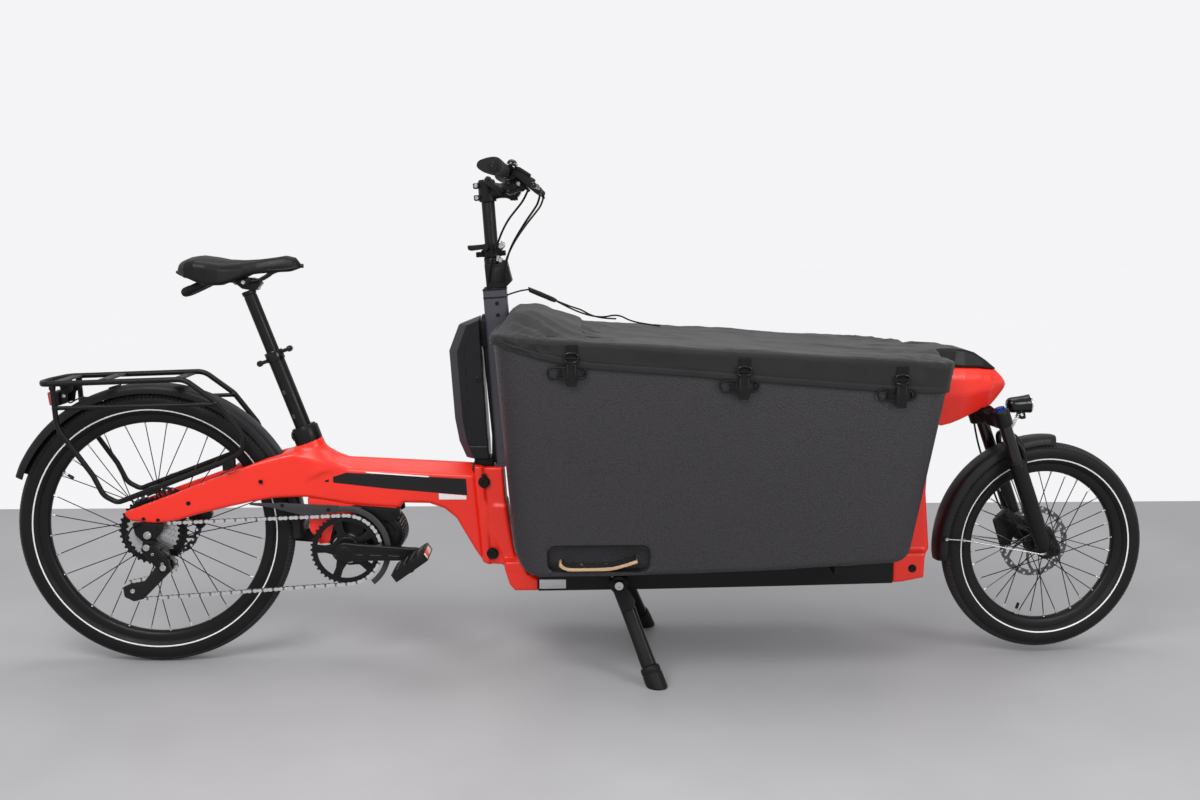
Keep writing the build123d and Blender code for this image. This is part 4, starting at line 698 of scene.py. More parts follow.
# --- distance fields, meshed: for castings, mouldings and the padded saddle ---
def poly(X, Z, pts):
    """Signed distance to a closed outline in the side plane."""
    p = np.asarray(pts, float)
    d, s = None, 1.0
    for i in range(len(p)):
        a, b = p[i], p[(i + 1) % len(p)]
        ex, ez = b - a
        wx, wz = X - a[0], Z - a[1]
        t = np.clip((wx * ex + wz * ez) / (ex * ex + ez * ez), 0, 1)
        dd = (wx - ex * t) ** 2 + (wz - ez * t) ** 2
        d = dd if d is None else np.minimum(d, dd)
        c1, c2, c3 = Z >= a[1], Z < b[1], ex * wz > ez * wx
        flip = (c1 & c2 & c3) | (~c1 & ~c2 & ~c3)
        s = np.where(flip, -s, s)
    return s * np.sqrt(d)


def rmax(a, b, r):
    """Intersection with edges rounded to r."""
    return np.minimum(np.maximum(a, b), -r) + np.sqrt(np.maximum(a + r, 0) ** 2 + np.maximum(b + r, 0) ** 2)


def rmin(a, b, r):
    """Union with a fillet of r."""
    return np.maximum(np.minimum(a, b), r) - np.sqrt(np.maximum(r - a, 0) ** 2 + np.maximum(r - b, 0) ** 2)


def cone_sdf(X, Y, Z, o, d, r0, r1, s0, s1):
    """Round bar about an axis through o, its radius going from r0 at s0 to r1 at s1."""
    px, py, pz = X - o[0], Y - o[1], Z - o[2]
    s = px * d[0] + py * d[1] + pz * d[2]
    q = np.sqrt(np.maximum(px**2 + py**2 + pz**2 - s**2, 1e-9))
    r = np.interp(s, [s0, s1], [r0, r1]) if np.ndim(s) else s
    return np.maximum(q - r, np.maximum(s0 - s, s - s1))


def nets(f, lo, hi, h, keep=None, fix=2):
    """Surface of f = 0, as quads near h apart, drawn onto the surface."""
    lo, hi = np.asarray(lo, float), np.asarray(hi, float)
    n = np.ceil((hi - lo) / h).astype(int) + 1
    ax = [lo[i] + h * np.arange(n[i]) for i in range(3)]
    X, Y, Z = ax[0][:, None, None], ax[1][None, :, None], ax[2][None, None, :]
    D = np.ascontiguousarray(np.broadcast_to(f(X, Y, Z), n)).astype(np.float32)
    ins = D < 0
    c = np.zeros(n - 1, np.int8)
    for i in (0, 1):
        for j in (0, 1):
            for k in (0, 1):
                c += ins[i:n[0] - 1 + i, j:n[1] - 1 + j, k:n[2] - 1 + k]
    act = (c > 0) & (c < 8)
    cell = np.argwhere(act)
    idx = np.full(act.shape, -1, np.int64)
    idx[act] = np.arange(len(cell))
    acc, cnt = np.zeros((len(cell), 3)), np.zeros(len(cell))
    corners = [np.array(q) for q in ((0, 0, 0), (1, 0, 0), (0, 1, 0), (1, 1, 0), (0, 0, 1), (1, 0, 1), (0, 1, 1), (1, 1, 1))]
    val = [D[tuple((cell + q).T)] for q in corners]
    for a, b in ((0, 1), (2, 3), (4, 5), (6, 7), (0, 2), (1, 3), (4, 6), (5, 7), (0, 4), (1, 5), (2, 6), (3, 7)):
        da, db = val[a], val[b]
        m = (da < 0) != (db < 0)
        t = da[m] / (da[m] - db[m])
        acc[m] += corners[a] + t[:, None] * (corners[b] - corners[a])
        cnt[m] += 1
    v = lo + h * (cell + acc / cnt[:, None])
    quads = []
    for axis in range(3):
        o1, o2 = [i for i in range(3) if i != axis]
        sl = [slice(None)] * 3
        sl[axis] = slice(0, n[axis] - 1)
        sh = list(sl)
        sh[axis] = slice(1, n[axis])
        A, Bq = ins[tuple(sl)], ins[tuple(sh)]
        e = np.argwhere(A != Bq)
        e = e[(e[:, o1] > 0) & (e[:, o1] < n[o1] - 1) & (e[:, o2] > 0) & (e[:, o2] < n[o2] - 1)]
        d1, d2 = np.zeros(3, int), np.zeros(3, int)
        d1[o1], d2[o2] = 1, 1
        q = np.stack([idx[tuple((e - d1 - d2).T)], idx[tuple((e - d2).T)], idx[tuple(e.T)], idx[tuple((e - d1).T)]], 1)
        inner = A[tuple(e.T)]
        fl = inner if axis != 1 else ~inner
        q[~fl] = q[~fl][:, ::-1]
        quads.append(q)
    quads = np.vstack(quads)
    for _ in range(fix):
        x, y, z = v.T
        d = f(x, y, z)
        e = 0.4
        g = np.stack([f(x + e, y, z) - f(x - e, y, z), f(x, y + e, z) - f(x, y - e, z), f(x, y, z + e) - f(x, y, z - e)], 1) / (2 * e)
        L = np.maximum((g**2).sum(1), 0.25)
        step = (d / L)[:, None] * g
        mag = np.linalg.norm(step, axis=1)
        step *= np.minimum(1, 0.6 * h / np.maximum(mag, 1e-9))[:, None]
        v = v - step
    return v, quads.tolist()


def lighten(o, ratio):
    """Fewer triangles where the surface is flat."""
    m = o.modifiers.new("lighten", "DECIMATE")
    m.ratio = ratio
    with bpy.context.temp_override(object=o, active_object=o, selected_objects=[o]):
        bpy.ops.object.modifier_apply(modifier=m.name)
    return o


def cad(node, mat, bevel=None):
    """A CAD node shown as it is, with a detailed material."""
    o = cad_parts[node]
    o.data.materials.clear()
    o.data.materials.append(MATS[mat])
    o.data.shade_smooth()
    o.data.set_sharp_from_angle(angle=math.radians(32))
    return o


# ---------------------------------------------------------------------------
# Cords: three lines from the handlebar to the mast, two loops on the cover
# ---------------------------------------------------------------------------
def cord(name, points, dia, length, body, node, mat="hose", **kw):
    cu = bpy.data.curves.new(name, "CURVE")
    cu.dimensions = "3D"
    sp = cu.splines.new("NURBS")
    sp.points.add(len(points) - 1)
    for q, p in zip(sp.points, points):
        q.co = (*S(*p), 1)
    sp.use_endpoint_u = True
    sp.order_u = 3
    sp.resolution_u = 6
    cu.bevel_depth = dia / 2
    cu.bevel_resolution = 3
    cu.use_fill_caps = True
    cu.materials.append(MATS[mat])
    o = bpy.data.objects.new(name, cu)
    scene.collection.objects.link(o)
    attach(o, body)
    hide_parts(node)
    return o


HOSE_R = [(946, -172, 1142), (942, -158, 1118), (928, -134, 1098), (911, -106, 1076), (892, -80, 1048), (874, -58, 1018), (862, -44, 986), (856, -36, 956), (852, -33, 930)]
HOSE_L = [(946, 172, 1142), (942, 158, 1118), (926, 132, 1096), (907, 104, 1072), (887, 78, 1044), (869, 57, 1014), (856, 44, 983), (848, 36, 955), (844, 33, 930)]
CABLE = [(918, -150, 1146), (908, -130, 1124), (888, -104, 1101), (868, -80, 1078), (852, -60, 1050), (840, -48, 1020), (829, -40, 988), (820, -35, 958), (816, -33, 930)]
CORD_A = [(977.8, 6, 885), (998, 12, 876), (1018, 22, 868), (1038, 36, 861), (1056, 50, 849), (1077, 64, 841), (1100, 72, 837), (1124, 78, 835.5)]
CORD_B = [(977.8, -6, 885), (1000, -6, 873), (1024, 4, 861), (1048, 20, 851), (1072, 38, 844), (1096, 52, 842), (1118, 52, 847), (1136, 40, 845), (1150, 22, 838), (1168, 4, 833), (1194, -14, 829.5), (1224, -34, 826.5)]
cord("brake_hose_right_line", HOSE_R, 0.005, 0.283, "handlebar", "brake_hose_right", stiffness="stiff", lay="hanging")
cord("brake_hose_left_line", HOSE_L, 0.005, 0.282, "handlebar", "brake_hose_left", stiffness="stiff", lay="hanging")
cord("shift_cable_line", CABLE, 0.005, 0.277, "handlebar", "shift_cable", stiffness="stiff", lay="hanging")
cord("cover_cord_line_a", CORD_A, 0.004, 0.1733, "root", "cover_cord_a", mat="webbing", stiffness="limp", lay="loose")
cord("cover_cord_line_b", CORD_B, 0.004, 0.3030, "root", "cover_cord_b", mat="webbing", stiffness="limp", lay="loose")


# ---------------------------------------------------------------------------
# Wheels
# ---------------------------------------------------------------------------
TREAD_Y = [0, 3.2, 7.0, 7.5, 9.3, 9.8, 13, 16.2, 16.7, 18.3, 18.8, 21.5, 23.6]
TREAD_R = np.interp(TREAD_Y, [0, 3, 10, 16.5, 21.5, 24.8], [55, 54.8, 53.3, 50.5, 46.5, 42])
LOW = [(42.0, 24.8), (36.5, 26.8), (29.5, 27.2), (22.5, 26.6), (16.5, 24.9), (13.5, 23.9), (10.5, 22.5), (4.5, 17.6), (1.5, 12.6)]


def tyre(name, wheel, blocks, body, node, steered=False):
    x, z, R, bead = wheel
    side = []
    for r, y in zip(TREAD_R, TREAD_Y):
        side.append((r, y, 1))
    side += [(r, y, 0) for r, y in LOW]
    prof = [(r, -y, t) for r, y, t in reversed(side)] + side[1:]
    inner = [(2.5, 10.5, 0), (14, 21, 0), (30, 23.6, 0), (41, 20, 0), (50, 6, 0), (50, -6, 0), (41, -20, 0), (30, -23.6, 0), (14, -21, 0), (2.5, -10.5, 0)]
    prof = prof + inner
    P = len(prof)
    rows = [0.0, 0.16, 0.22, 0.94]
    n = blocks * 4
    r = np.array([q[0] for q in prof])
    y = np.array([q[1] for q in prof])
    tread = np.array([q[2] for q in prof], bool)
    ay = np.abs(y)
    groove = tread & (((ay > 7.2) & (ay < 9.6)) | ((ay > 16.4) & (ay < 18.6)))
    band = np.where(ay < 7.3, 0, np.where(ay < 16.5, 1, 2))
    shift = np.where(band == 0, 0.0, np.where(band == 1, 0.42, 0.15)) + ay * 0.045 + np.where(y > 0, 0.5, 0.0) * (band > 0)
    shift = np.where(tread, shift, 0)
    shift = np.where(~tread, np.where(np.abs(r - 42) < 0.1, shift[np.argmin(np.abs(ay - 23.6))], 0), shift)
    v = np.zeros((n, P, 3))
    for k in range(n):
        b, q = divmod(k, 4)
        a = 2 * math.pi * (b + rows[q] + shift) / blocks
        low = q in (0, 1)
        depth = np.where(tread, np.where(groove, 2.6, (2.6 if low else 0.0)), 0.0)
        depth = np.where(tread & (ay < 3.5) & low, 2.0, depth)
        depth = np.where(tread & (ay > 23), (0.9 if low else 0.0), depth)
        rr = bead + r - depth
        v[k] = np.stack([x + rr * np.sin(a), y, z + rr * np.cos(a)], 1)
    f, m = [], []
    stripe = {i for i in range(P - 1) if {prof[i][0], prof[i + 1][0]} == {16.5, 13.5}}
    for k in range(n):
        k2 = (k + 1) % n
        for i in range(P):
            i2 = (i + 1) % P
            f.append((k * P + i, k2 * P + i, k2 * P + i2, k * P + i2))
            # faces on the tread take the lighter rubber, a painted highlight
            m.append(2 if i in stripe else (1 if tread[i] and tread[i2] else 0))
    return make(name, v.reshape(-1, 3), f, ["tyre_rubber", "tread_rubber_painted_sheen", "stripe"], body, node, "tyre", fm=m, sharp=24, steered=steered)


def rim(name, wheel, body, node, steered=False):
    x, z, R, bead = wheel
    sec = [(14.6, 6.2), (14.8, 4.8), (14.5, 1.0), (14.1, -1.5), (13.2, -8), (11.2, -13), (7.4, -17), (3.0, -18.5), (-3.0, -18.5), (-7.4, -17), (-11.2, -13), (-13.2, -8), (-14.1, -1.5), (-14.5, 1.0), (-14.8, 4.8), (-14.6, 6.2), (-12.8, 6.2), (-12.4, 0.5), (-5, -7), (5, -7), (12.4, 0.5), (12.8, 6.2)]
    b = B()
    b.add(lathe([(bead + r, y) for y, r in sec], (x, 0, z), (0, 1, 0), 144, closed=True))
    a = math.radians(148 if not steered else 250)
    d = np.array([math.cos(a), 0, math.sin(a)])
    o = np.array([x, 0, z])
    b.add(cyl(o + d * (bead - 17), o + d * (bead - 44), 2.6, 14), 1)
    b.add(cyl(o + d * (bead - 30), o + d * (bead - 46), 3.6, 14, 1.2), 2)
    b.add(cyl(o + d * (bead - 17), o + d * (bead - 21), 5.4, 6, 0.5), 1)
    return b.make(name, ["frame_black", "steel", "plastic_black"], body, replaces=node, slot="rim_black", steered=steered)


def spokes(name, wheel, flange, ys, body, node, steered=False):
    x, z, R, bead = wheel
    b = B()
    o = np.array([x, 0, z])
    for k in range(32):
        side = k % 2
        y0 = ys[side]
        j = k // 2
        out = 1 if j % 2 else -1
        base = math.radians(360 / 32 * k + 4)
        ha = base + math.radians(67.5) * out
        fl = y0 + (1.6 if out > 0 else -1.6)
        p = o + np.array([flange * math.cos(ha), fl, flange * math.sin(ha)])
        rr = bead - 17.0
        q = o + np.array([rr * math.cos(base), (-2.4 if side == 0 else 2.4), rr * math.sin(base)])
        d = (q - p) / np.linalg.norm(q - p)
        b.add(tube([p, p + (q - p) * 0.5, q - d * 11], 1.25, 8), 0)
        b.add(lathe([(1.7, 0), (2.0, 1.5), (2.0, 9.5), (2.9, 10.5), (2.9, 12)], q - d * 12, d, 10), 1)
        b.add(cyl(p + [0, -1.8, 0], p + [0, 1.8, 0], 1.9, 8, 0.4), 1)
    return b.make(name, ["alloy_gloss", "steel"], body, replaces=node, slot="spoke", steered=steered)


def rotor(name, x, z, y0, y1, body, node, steered=False, R=90, R0=74):
    """Brake disc: wavy edge, round holes, swept arms to a bolted centre."""
    b = B()
    n = 288
    out, inn, mid = [], [], []
    t = 2 * np.pi * np.arange(n) / n
    ro = R - 1.4 * (0.5 + 0.5 * np.cos(12 * t)) ** 3
    ri = R0 + 1.6 * (0.5 + 0.5 * np.cos(12 * t + 1.0))
    O = np.stack([x + ro * np.cos(t), z + ro * np.sin(t)], 1)
    I = np.stack([x + ri * np.cos(t), z + ri * np.sin(t)], 1)
    # braking band made of cells so that round holes go through it
    nb, cells = 36, 6
    v, f = [], []
    rm = [(0.5 * (R + R0)) + (3.2 if k % 2 else -3.0) for k in range(nb)]
    half = 2 * np.pi / nb / 2
    for s, y in ((0, y0), (1, y1)):
        for k in range(nb):
            c = 2 * np.pi * (k + 0.5) / nb
            hole_r, hr = rm[k], 3.6
            ring = []
            for j in range(12):
                a = 2 * np.pi * j / 12
                hx, hz = hole_r * math.cos(c) + hr * math.cos(a + c), hole_r * math.sin(c) + hr * math.sin(a + c)
                v.append((x + hx, y, z + hz))
            for j in range(12):
                a = 2 * np.pi * j / 12
                # project the ray from the hole to the cell's border (radial band limits, angular limits)
                ux, uz = math.cos(a), math.sin(a)
                tt = c + np.clip(math.sin(a) * 1.45, -1, 1) * half
                ref_o = R - 1.4 * (0.5 + 0.5 * math.cos(12 * tt)) ** 3
                ref_i = R0 + 1.6 * (0.5 + 0.5 * math.cos(12 * tt + 1.0))
                w = np.clip(math.cos(a) * 1.45, -1, 1)
                rr = ref_i + (ref_o - ref_i) * (0.5 + 0.5 * w)
                v.append((x + rr * math.cos(tt), y, z + rr * math.sin(tt)))
    half_n = nb * 24
    for k in range(nb):
        for j in range(12):
            j2 = (j + 1) % 12
            a, bq, c, d = k * 24 + j, k * 24 + j2, k * 24 + 12 + j2, k * 24 + 12 + j
            f.append((a, bq, c, d))
            f.append((half_n + a, half_n + d, half_n + c, half_n + bq))
            f.append((a, half_n + a, half_n + bq, bq))
            # outer and inner rims of the band
            mid_o = math.cos(2 * np.pi * (j + 0.5) / 12)
            if abs(math.cos(2 * np.pi * j / 12) * 1.45) >= 1 and abs(math.cos(2 * np.pi * j2 / 12) * 1.45) >= 1:
                f.append((d, c, half_n + c, half_n + d))
    b.add((np.array(v), f), 0)
    for k in range(6):
        a0 = 2 * math.pi * k / 6
        for bend in (0.55,):
            pts = []
            for s in np.linspace(0, 1, 7):
                rr = 22 + (R0 + 3 - 22) * s
                aa = a0 + bend * s * s + 0.12 * math.sin(math.pi * s)
                pts.append((x + rr * math.cos(aa), (y0 + y1) / 2, z + rr * math.sin(aa)))
            b.add(ribbon(pts, (0, 1, 0), (y1 - y0) * 0.98, 7.0), 0)
    b.add(lathe([(17, 0), (29, 0), (29, y1 - y0), (17, y1 - y0)], (x, y0, z), (0, 1, 0), 48, closed=True), 0)
    for k in range(6):
        a = 2 * math.pi * (k + 0.3) / 6
        side = 1 if y0 > 0 else -1
        b.add(bolt((x + 23 * math.cos(a), y1 if side > 0 else y0, z + 23 * math.sin(a)), (0, side, 0), 4.2, 2.2), 1)
    return b.make(name, ["disc_steel", "screw_black"], body, replaces=node, slot="steel", steered=steered)


tyre("rear_tyre_tread", REAR, 210, "rear_wheel", "rear_tyre")
tyre("front_tyre_tread", FRONT, 162, "front_wheel", "front_tyre", steered=True)
rim("rear_rim_section", REAR, "rear_wheel", "rear_rim")
rim("front_rim_section", FRONT, "front_wheel", "front_rim", steered=True)
spokes("rear_spoke_set", REAR, 29, (-21, 34), "rear_wheel", "rear_spokes")
spokes("front_spoke_set", FRONT, 26, (-32, 25), "front_wheel", "front_spokes", steered=True)
rotor("rear_brake_disc", 0, 334.5, 54.2, 56.0, "rear_wheel", "rear_rotor")
rotor("front_brake_disc", 2183, 274, 39.6, 41.4, "front_wheel", "front_rotor", steered=True)

b = B()
b.add(lathe([(8, -28), (30, -28), (33, -26), (33, -19), (30, -17.5), (19, -16), (16, -8), (16, 22), (19, 29.5), (30, 31), (33, 32.5), (33, 37), (30, 39), (22, 41), (22, 53.4), (8, 53.4)], (0, 0, 334.5), (0, 1, 0), 56, cap=False), 0)
b.add(lathe([(6.2, -70.4), (9.5, -70.4), (9.5, -60), (12, -57), (12, -30), (8, -28)], (0, 0, 334.5), (0, 1, 0), 40, cap=False), 1)
b.add(lathe([(8, 53.4), (14, 54.2), (16.8, 54.4), (16.8, 57.6), (12, 59), (9.5, 62), (9.5, 70.4), (6.2, 70.4)], (0, 0, 334.5), (0, 1, 0), 40, cap=False), 1)
b.make("rear_hub_body", ["alloy_black", "steel"], "rear_wheel", replaces="rear_hub", slot="alloy_black", recalc=True)

b = B()
b.add(lathe([(7, -40), (17, -40), (21, -38), (27, -36.5), (30, -35), (30, -29), (27, -27.5), (20, -25), (14, -14), (14, 12), (18, 19), (27, 21.5), (30, 23), (30, 28), (27, 29.5), (22, 31), (22, 39.4), (14, 40), (7, 40)], (2183, 0, 274), (0, 1, 0), 56, cap=False), 0)
b.add(lathe([(6.2, -50.4), (10, -50.4), (11, -47), (11, -41), (7, -40)], (2183, 0, 274), (0, 1, 0), 40, cap=False), 1)
b.add(lathe([(7, 40), (16.5, 41.6), (16.5, 43.4), (10, 45), (10, 50.4), (6.2, 50.4)], (2183, 0, 274), (0, 1, 0), 40, cap=False), 1)
b.make("front_hub_body", ["alloy_black", "steel"], "front_wheel", replaces="front_hub", slot="alloy_black", steered=True)

# Cassette: nine toothed rings, the large ones black with lightening holes
b = B()
COGS = [(84, -32.4, 36), (73, -35.8, 32), (63.5, -39.2, 28), (54.5, -42.2, 24), (46.5, -45.2, 20), (39.5, -48.2, 17), (33, -50.4, 14), (28, -52, 12), (22.3, -56, 11)]
for i, (r, y, teeth) in enumerate(COGS):
    hole = (58, 50, 30, 22, 16, 13, 12, 11, 9)[i]
    th = 1.9 if i < 7 else 2.2
    b.add(gear(0, 334.5, teeth, r - 4.6, r, hole, y - th / 2, y + th / 2, phase=0.3 * i), 1 if i < 2 else 0)
    if i < 2:
        for k in range(8):
            a = 2 * math.pi * (k + 0.4 * i) / 8
            p0, p1 = 15, hole + 3
            da = 0.12
            b.add(ribbon([(p0 * math.cos(a - da), y, 334.5 + p0 * math.sin(a - da)), ((p0 + p1) / 2 * math.cos(a), y, 334.5 + (p0 + p1) / 2 * math.sin(a)), (p1 * math.cos(a + da), y, 334.5 + p1 * math.sin(a + da))], (0, 1, 0), th, 9.0), 1)
        b.add(lathe([(12, 0), (19, 0), (19, th), (12, th)], (0, y - th / 2, 334.5), (0, 1, 0), 32, closed=True), 1)
b.add(lathe([(9, -61), (14, -61), (15.5, -59.5), (15.5, -57.6), (16.5, -31.2), (9, -31.2)], (0, 0, 334.5), (0, 1, 0), 40, closed=True), 1)
b.make("cassette_rings", ["steel", "alloy_black"], "rear_wheel", replaces="cassette", slot="steel", sharp=30)


# ---------------------------------------------------------------------------
# Chain, derailleur, crank, motor
# ---------------------------------------------------------------------------
def belt(loop, grow=0.0):
    """Where the chain's straight runs leave and meet the wheels: pairs of tangent points."""
    tang = []
    for i in range(len(loop)):
        x1, z1, r1, s1 = loop[i]
        x2, z2, r2, s2 = loop[(i + 1) % len(loop)]
        r1, r2 = (r1 + s1 * grow) * s1, (r2 + s2 * grow) * s2
        dx, dz = x2 - x1, z2 - z1
        L = math.hypot(dx, dz)
        a = math.atan2(dz, dx)
        off = math.asin((r1 - r2) / L)
        n = a - math.pi / 2 + off
        tang.append(((x1 + r1 * math.cos(n), z1 + r1 * math.sin(n)), (x2 + r2 * math.cos(n), z2 + r2 * math.sin(n))))
    return tang


def belt_points(loop):
    tang = belt(loop)
    pts = []
    for i in range(len(loop)):
        a, b = tang[i]
        for t in np.linspace(0, 1, 60, endpoint=False):
            pts.append((a[0] + (b[0] - a[0]) * t, a[1] + (b[1] - a[1]) * t))
        x, z, r, s = loop[(i + 1) % len(loop)]
        c = tang[(i + 1) % len(loop)][0]
        a0, a1 = math.atan2(b[1] - z, b[0] - x), math.atan2(c[1] - z, c[0] - x)
        while s * (a1 - a0) <= 0:
            a1 += s * 2 * math.pi
        for t in np.linspace(0, 1, 60, endpoint=False):
            pts.append((x + r * math.cos(a0 + (a1 - a0) * t), z + r * math.sin(a0 + (a1 - a0) * t)))
    return np.array(pts)


def even(pts, count):
    q = np.vstack([pts, pts[:1]])
    s = np.concatenate([[0], np.cumsum(np.linalg.norm(np.diff(q, axis=0), axis=1))])
    t = np.linspace(0, s[-1], count, endpoint=False)
    return np.stack([np.interp(t, s, q[:, i]) for i in range(q.shape[1])], 1), s[-1]


CRANK = (466.5, 289.5)
LOOP = [(466.5, 289.5, 84.96, 1), (0.0, 334.5, 22.54, 1), (35.0, 256.0, 22.54, -1), (-49.0, 192.0, 22.54, 1)]
line = belt_points(LOOP)
total = even(line, 10)[1]
links = int(round(total / 12.7 / 2)) * 2
pins, total = even(line, links)
b = B()


def plate(p, q, y0, y1, r=4.6, waist=3.0):
    p, q = np.asarray(p), np.asarray(q)
    d = (q - p) / np.linalg.norm(q - p)
    n = np.array([-d[1], d[0]])
    out = []
    for t in np.linspace(90, 270, 7):
        out.append(p + r * (math.cos(math.radians(t)) * d + math.sin(math.radians(t)) * n))
    out.append((p + q) / 2 - waist * n)
    for t in np.linspace(-90, 90, 7):
        out.append(q + r * (math.cos(math.radians(t)) * d + math.sin(math.radians(t)) * n))
    out.append((p + q) / 2 + waist * n)
    k = len(out)
    v = [(x, y0, z) for x, z in out] + [(x, y1, z) for x, z in out]
    f = [tuple(range(k)), tuple(range(2 * k - 1, k - 1, -1))] + [(i, (i + 1) % k, k + (i + 1) % k, k + i) for i in range(k)]
    return np.array(v), f


for i in range(links):
    p, q = pins[i], pins[(i + 1) % links]
    if i % 2:
        b.add(plate(p, q, -52.95, -52.1), 0).add(plate(p, q, -59.9, -59.05), 0)
    else:
        b.add(plate(p, q, -54.0, -53.2), 1).add(plate(p, q, -58.8, -58.0), 1)
    b.add(lathe([(1.9, -60.1), (1.9, -51.9)], (p[0], 0, p[1]), (0, 1, 0), 10), 0)
    b.add(lathe([(3.8, -57.9), (3.8, -54.1)], (p[0], 0, p[1]), (0, 1, 0), 12), 1)
b.make("chain_links", ["chain_steel", "steel_dark"], "root", replaces="chain", slot="steel", sharp=40)

b = B()
b.add(prism(rounded([(-12, 312), (10, 311), (48, 270), (52, 244), (30, 236), (16, 258), (-16, 298)], 8), -88, -70, 3.5, 3), 0)
b.add(prism(rounded([(-2, 306), (12, 300), (38, 266), (28, 258), (-6, 294)], 5), -89.4, -84, 1.5), 0)
b.add(prism(rounded([(-11, 323), (14, 323), (12, 302), (-14, 302)], 4), -84, -78.2, 1.2), 0)
CAGE = rounded([(18, 262), (36, 276), (54, 266), (52, 248), (10, 206), (-24, 172), (-48, 166), (-70, 178), (-72, 202), (-50, 212), (-22, 214)], 8, 5)
for y0, y1 in ((-61.4, -59.8), (-52.2, -50.6)):
    c = CAGE.mean(0)
    inner = []
    for p in CAGE:
        d = c - p
        inner.append(p + d / np.linalg.norm(d) * min(9.5, 0.6 * np.linalg.norm(d)))
    b.add(prism([tuple(p) for p in CAGE], y0, y1, 0.5), 1)
for x, z in ((35.0, 256.0), (-49.0, 192.0)):
    b.add(gear(x, z, 11, 18.5, 22.0, 12.5, -56.9, -55.1), 2)
    b.add(lathe([(4.0, -59.8), (7.5, -59.8), (7.5, -58.0), (13.0, -57.6), (13.0, -54.4), (7.5, -54.0), (7.5, -52.2), (4.0, -52.2)], (x, 0, z), (0, 1, 0), 28, cap=False), 2)
    b.add(lathe([(13.0, -57.0), (12.0, -57.0), (12.0, -55.0), (13.0, -55.0)], (x, 0, z), (0, 1, 0), 28, closed=True), 1)
    b.add(bolt((x, -61.4, z), (0, -1, 0), 5.6, 3.0), 3)
    b.add(cyl((x, -50.4, z), (x, -61.4, z), 3.6, 16, 0.3), 3)
b.add(cyl((35, -71, 256), (35, -61.2, 256), 10, 32), 0)
b.add(bolt((35, -88, 256), (0, -1, 0), 7.5, 2.6), 3)
b.add(bolt((-2, -88, 306), (0, -1, 0), 8.0, 3.0), 3)
b.add(bolt((12, -88.6, 290), (0, -1, 0), 3.6, 1.6), 3)
b.add(bolt((34, -88.6, 266), (0, -1, 0), 3.6, 1.6), 3)
b.add(cyl((-16, -79, 300), (-26, -79, 296), 3.6, 16, 0.8), 3)
b.add(tube(curve([(-26, -79, 296), (-40, -80, 300), (-50, -81, 322), (-38, -82, 350), (-14, -82, 366)], 8), 2.3, 10), 4)
b.make("rear_derailleur", ["alloy_black", "alloy_gloss", "plastic_black", "steel", "hose"], "root", replaces="derailleur", slot="alloy_black")

# Chainring with teeth, five arms and bolts
b = B()
b.add(gear(*CRANK, 42, 82.2, 88.4 - 1.9, 70, -56.95, -55.05), 0)
b.add(lathe([(70.5, -58.2), (76.5, -58.2), (77.5, -57.2), (77.5, -56.9), (70.5, -56.9)], (CRANK[0], 0, CRANK[1]), (0, 1, 0), 84, closed=True), 0)
for k in range(5):
    a = math.radians(-2.5 + 36 + 72 * k)
    c, s = math.cos(a), math.sin(a)
    o = np.array([CRANK[0], CRANK[1]])
    pts = [(24, 15), (50, 9), (71.5, 10.5), (74, 6), (74, -6), (71.5, -10.5), (50, -9), (24, -15)]
    b.add(prism([(o[0] + u * c - w * s, o[1] + u * s + w * c) for u, w in pts], -59, -55.1, 0.9), 0)
    b.add(bolt((o[0] + 66.5 * c, -59, o[1] + 66.5 * s), (0, -1, 0), 4.6, 1.4), 2)
b.add(lathe([(12.0, -60), (30, -60), (32, -58.5), (32, -52.5), (30, -52), (12, -52)], (CRANK[0], 0, CRANK[1]), (0, 1, 0), 48, closed=True), 0)
b.make("chainring_spider", ["alloy_black", "steel", "screw_black"], "crank", replaces="chainring", slot="alloy_black", sharp=30)

R_END, L_END = np.array([636.3, 282.1]), np.array([296.7, 296.9])


def arm(b, end, side):
    o, e = np.array(CRANK), np.asarray(end, float)
    d = (e - o) / np.linalg.norm(e - o)
    n = np.array([-d[1], d[0]])
    L = np.linalg.norm(e - o)
    mid, out = side * 74.5, side

    def fn(X, Y, Z):
        u = (X - o[0]) * d[0] + (Z - o[1]) * d[1]
        w = (X - o[0]) * n[0] + (Z - o[1]) * n[1]
        width = np.interp(np.clip(u, 0, L), [0, 30, 90, L - 20, L], [23.5, 21, 18.6, 16.2, 16.2]) if np.ndim(u) else 15
        uc = np.clip(u, 0, L)
        flat = np.sqrt((u - uc) ** 2 + w**2) - width
        thick = np.abs(Y - mid) - 7.3
        body = rmax(flat, thick, 4.5)
        groove = np.maximum(np.sqrt((u - np.clip(u, 30, L - 30)) ** 2 + w**2) - 5.2, (mid * out + 5.9) - Y * out)
        return np.maximum(body, -groove)

    lo = (min(o[0], e[0]) - 27, mid - 9, min(o[1], e[1]) - 27)
    hi = (max(o[0], e[0]) + 27, mid + 9, max(o[1], e[1]) + 27)
    b.add(nets(fn, lo, hi, 1.9), 0)
    b.add(cyl((o[0], side * 56, o[1]), (o[0], side * 80.5, o[1]), 12, 32), 1)
    b.add(lathe([(14.8, 0), (14.8, 0.8), (13.6, 1.6), (6, 1.7), (5.2, 0.6), (0.01, 0.6)], (o[0], side * 81.7, o[1]), (0, side, 0), 36), 2)
    b.add(cyl((e[0], side * 80, e[1]), (e[0], side * 96, e[1]), 7.4, 24), 1)
    b.add(cyl((e[0], side * 82, e[1]), (e[0], side * 86, e[1]), 10.5, 6, 0.6), 1)
    b.add(cyl((e[0], side * 95, e[1]), (e[0], side * 192, e[1]), 6.0, 24), 1)


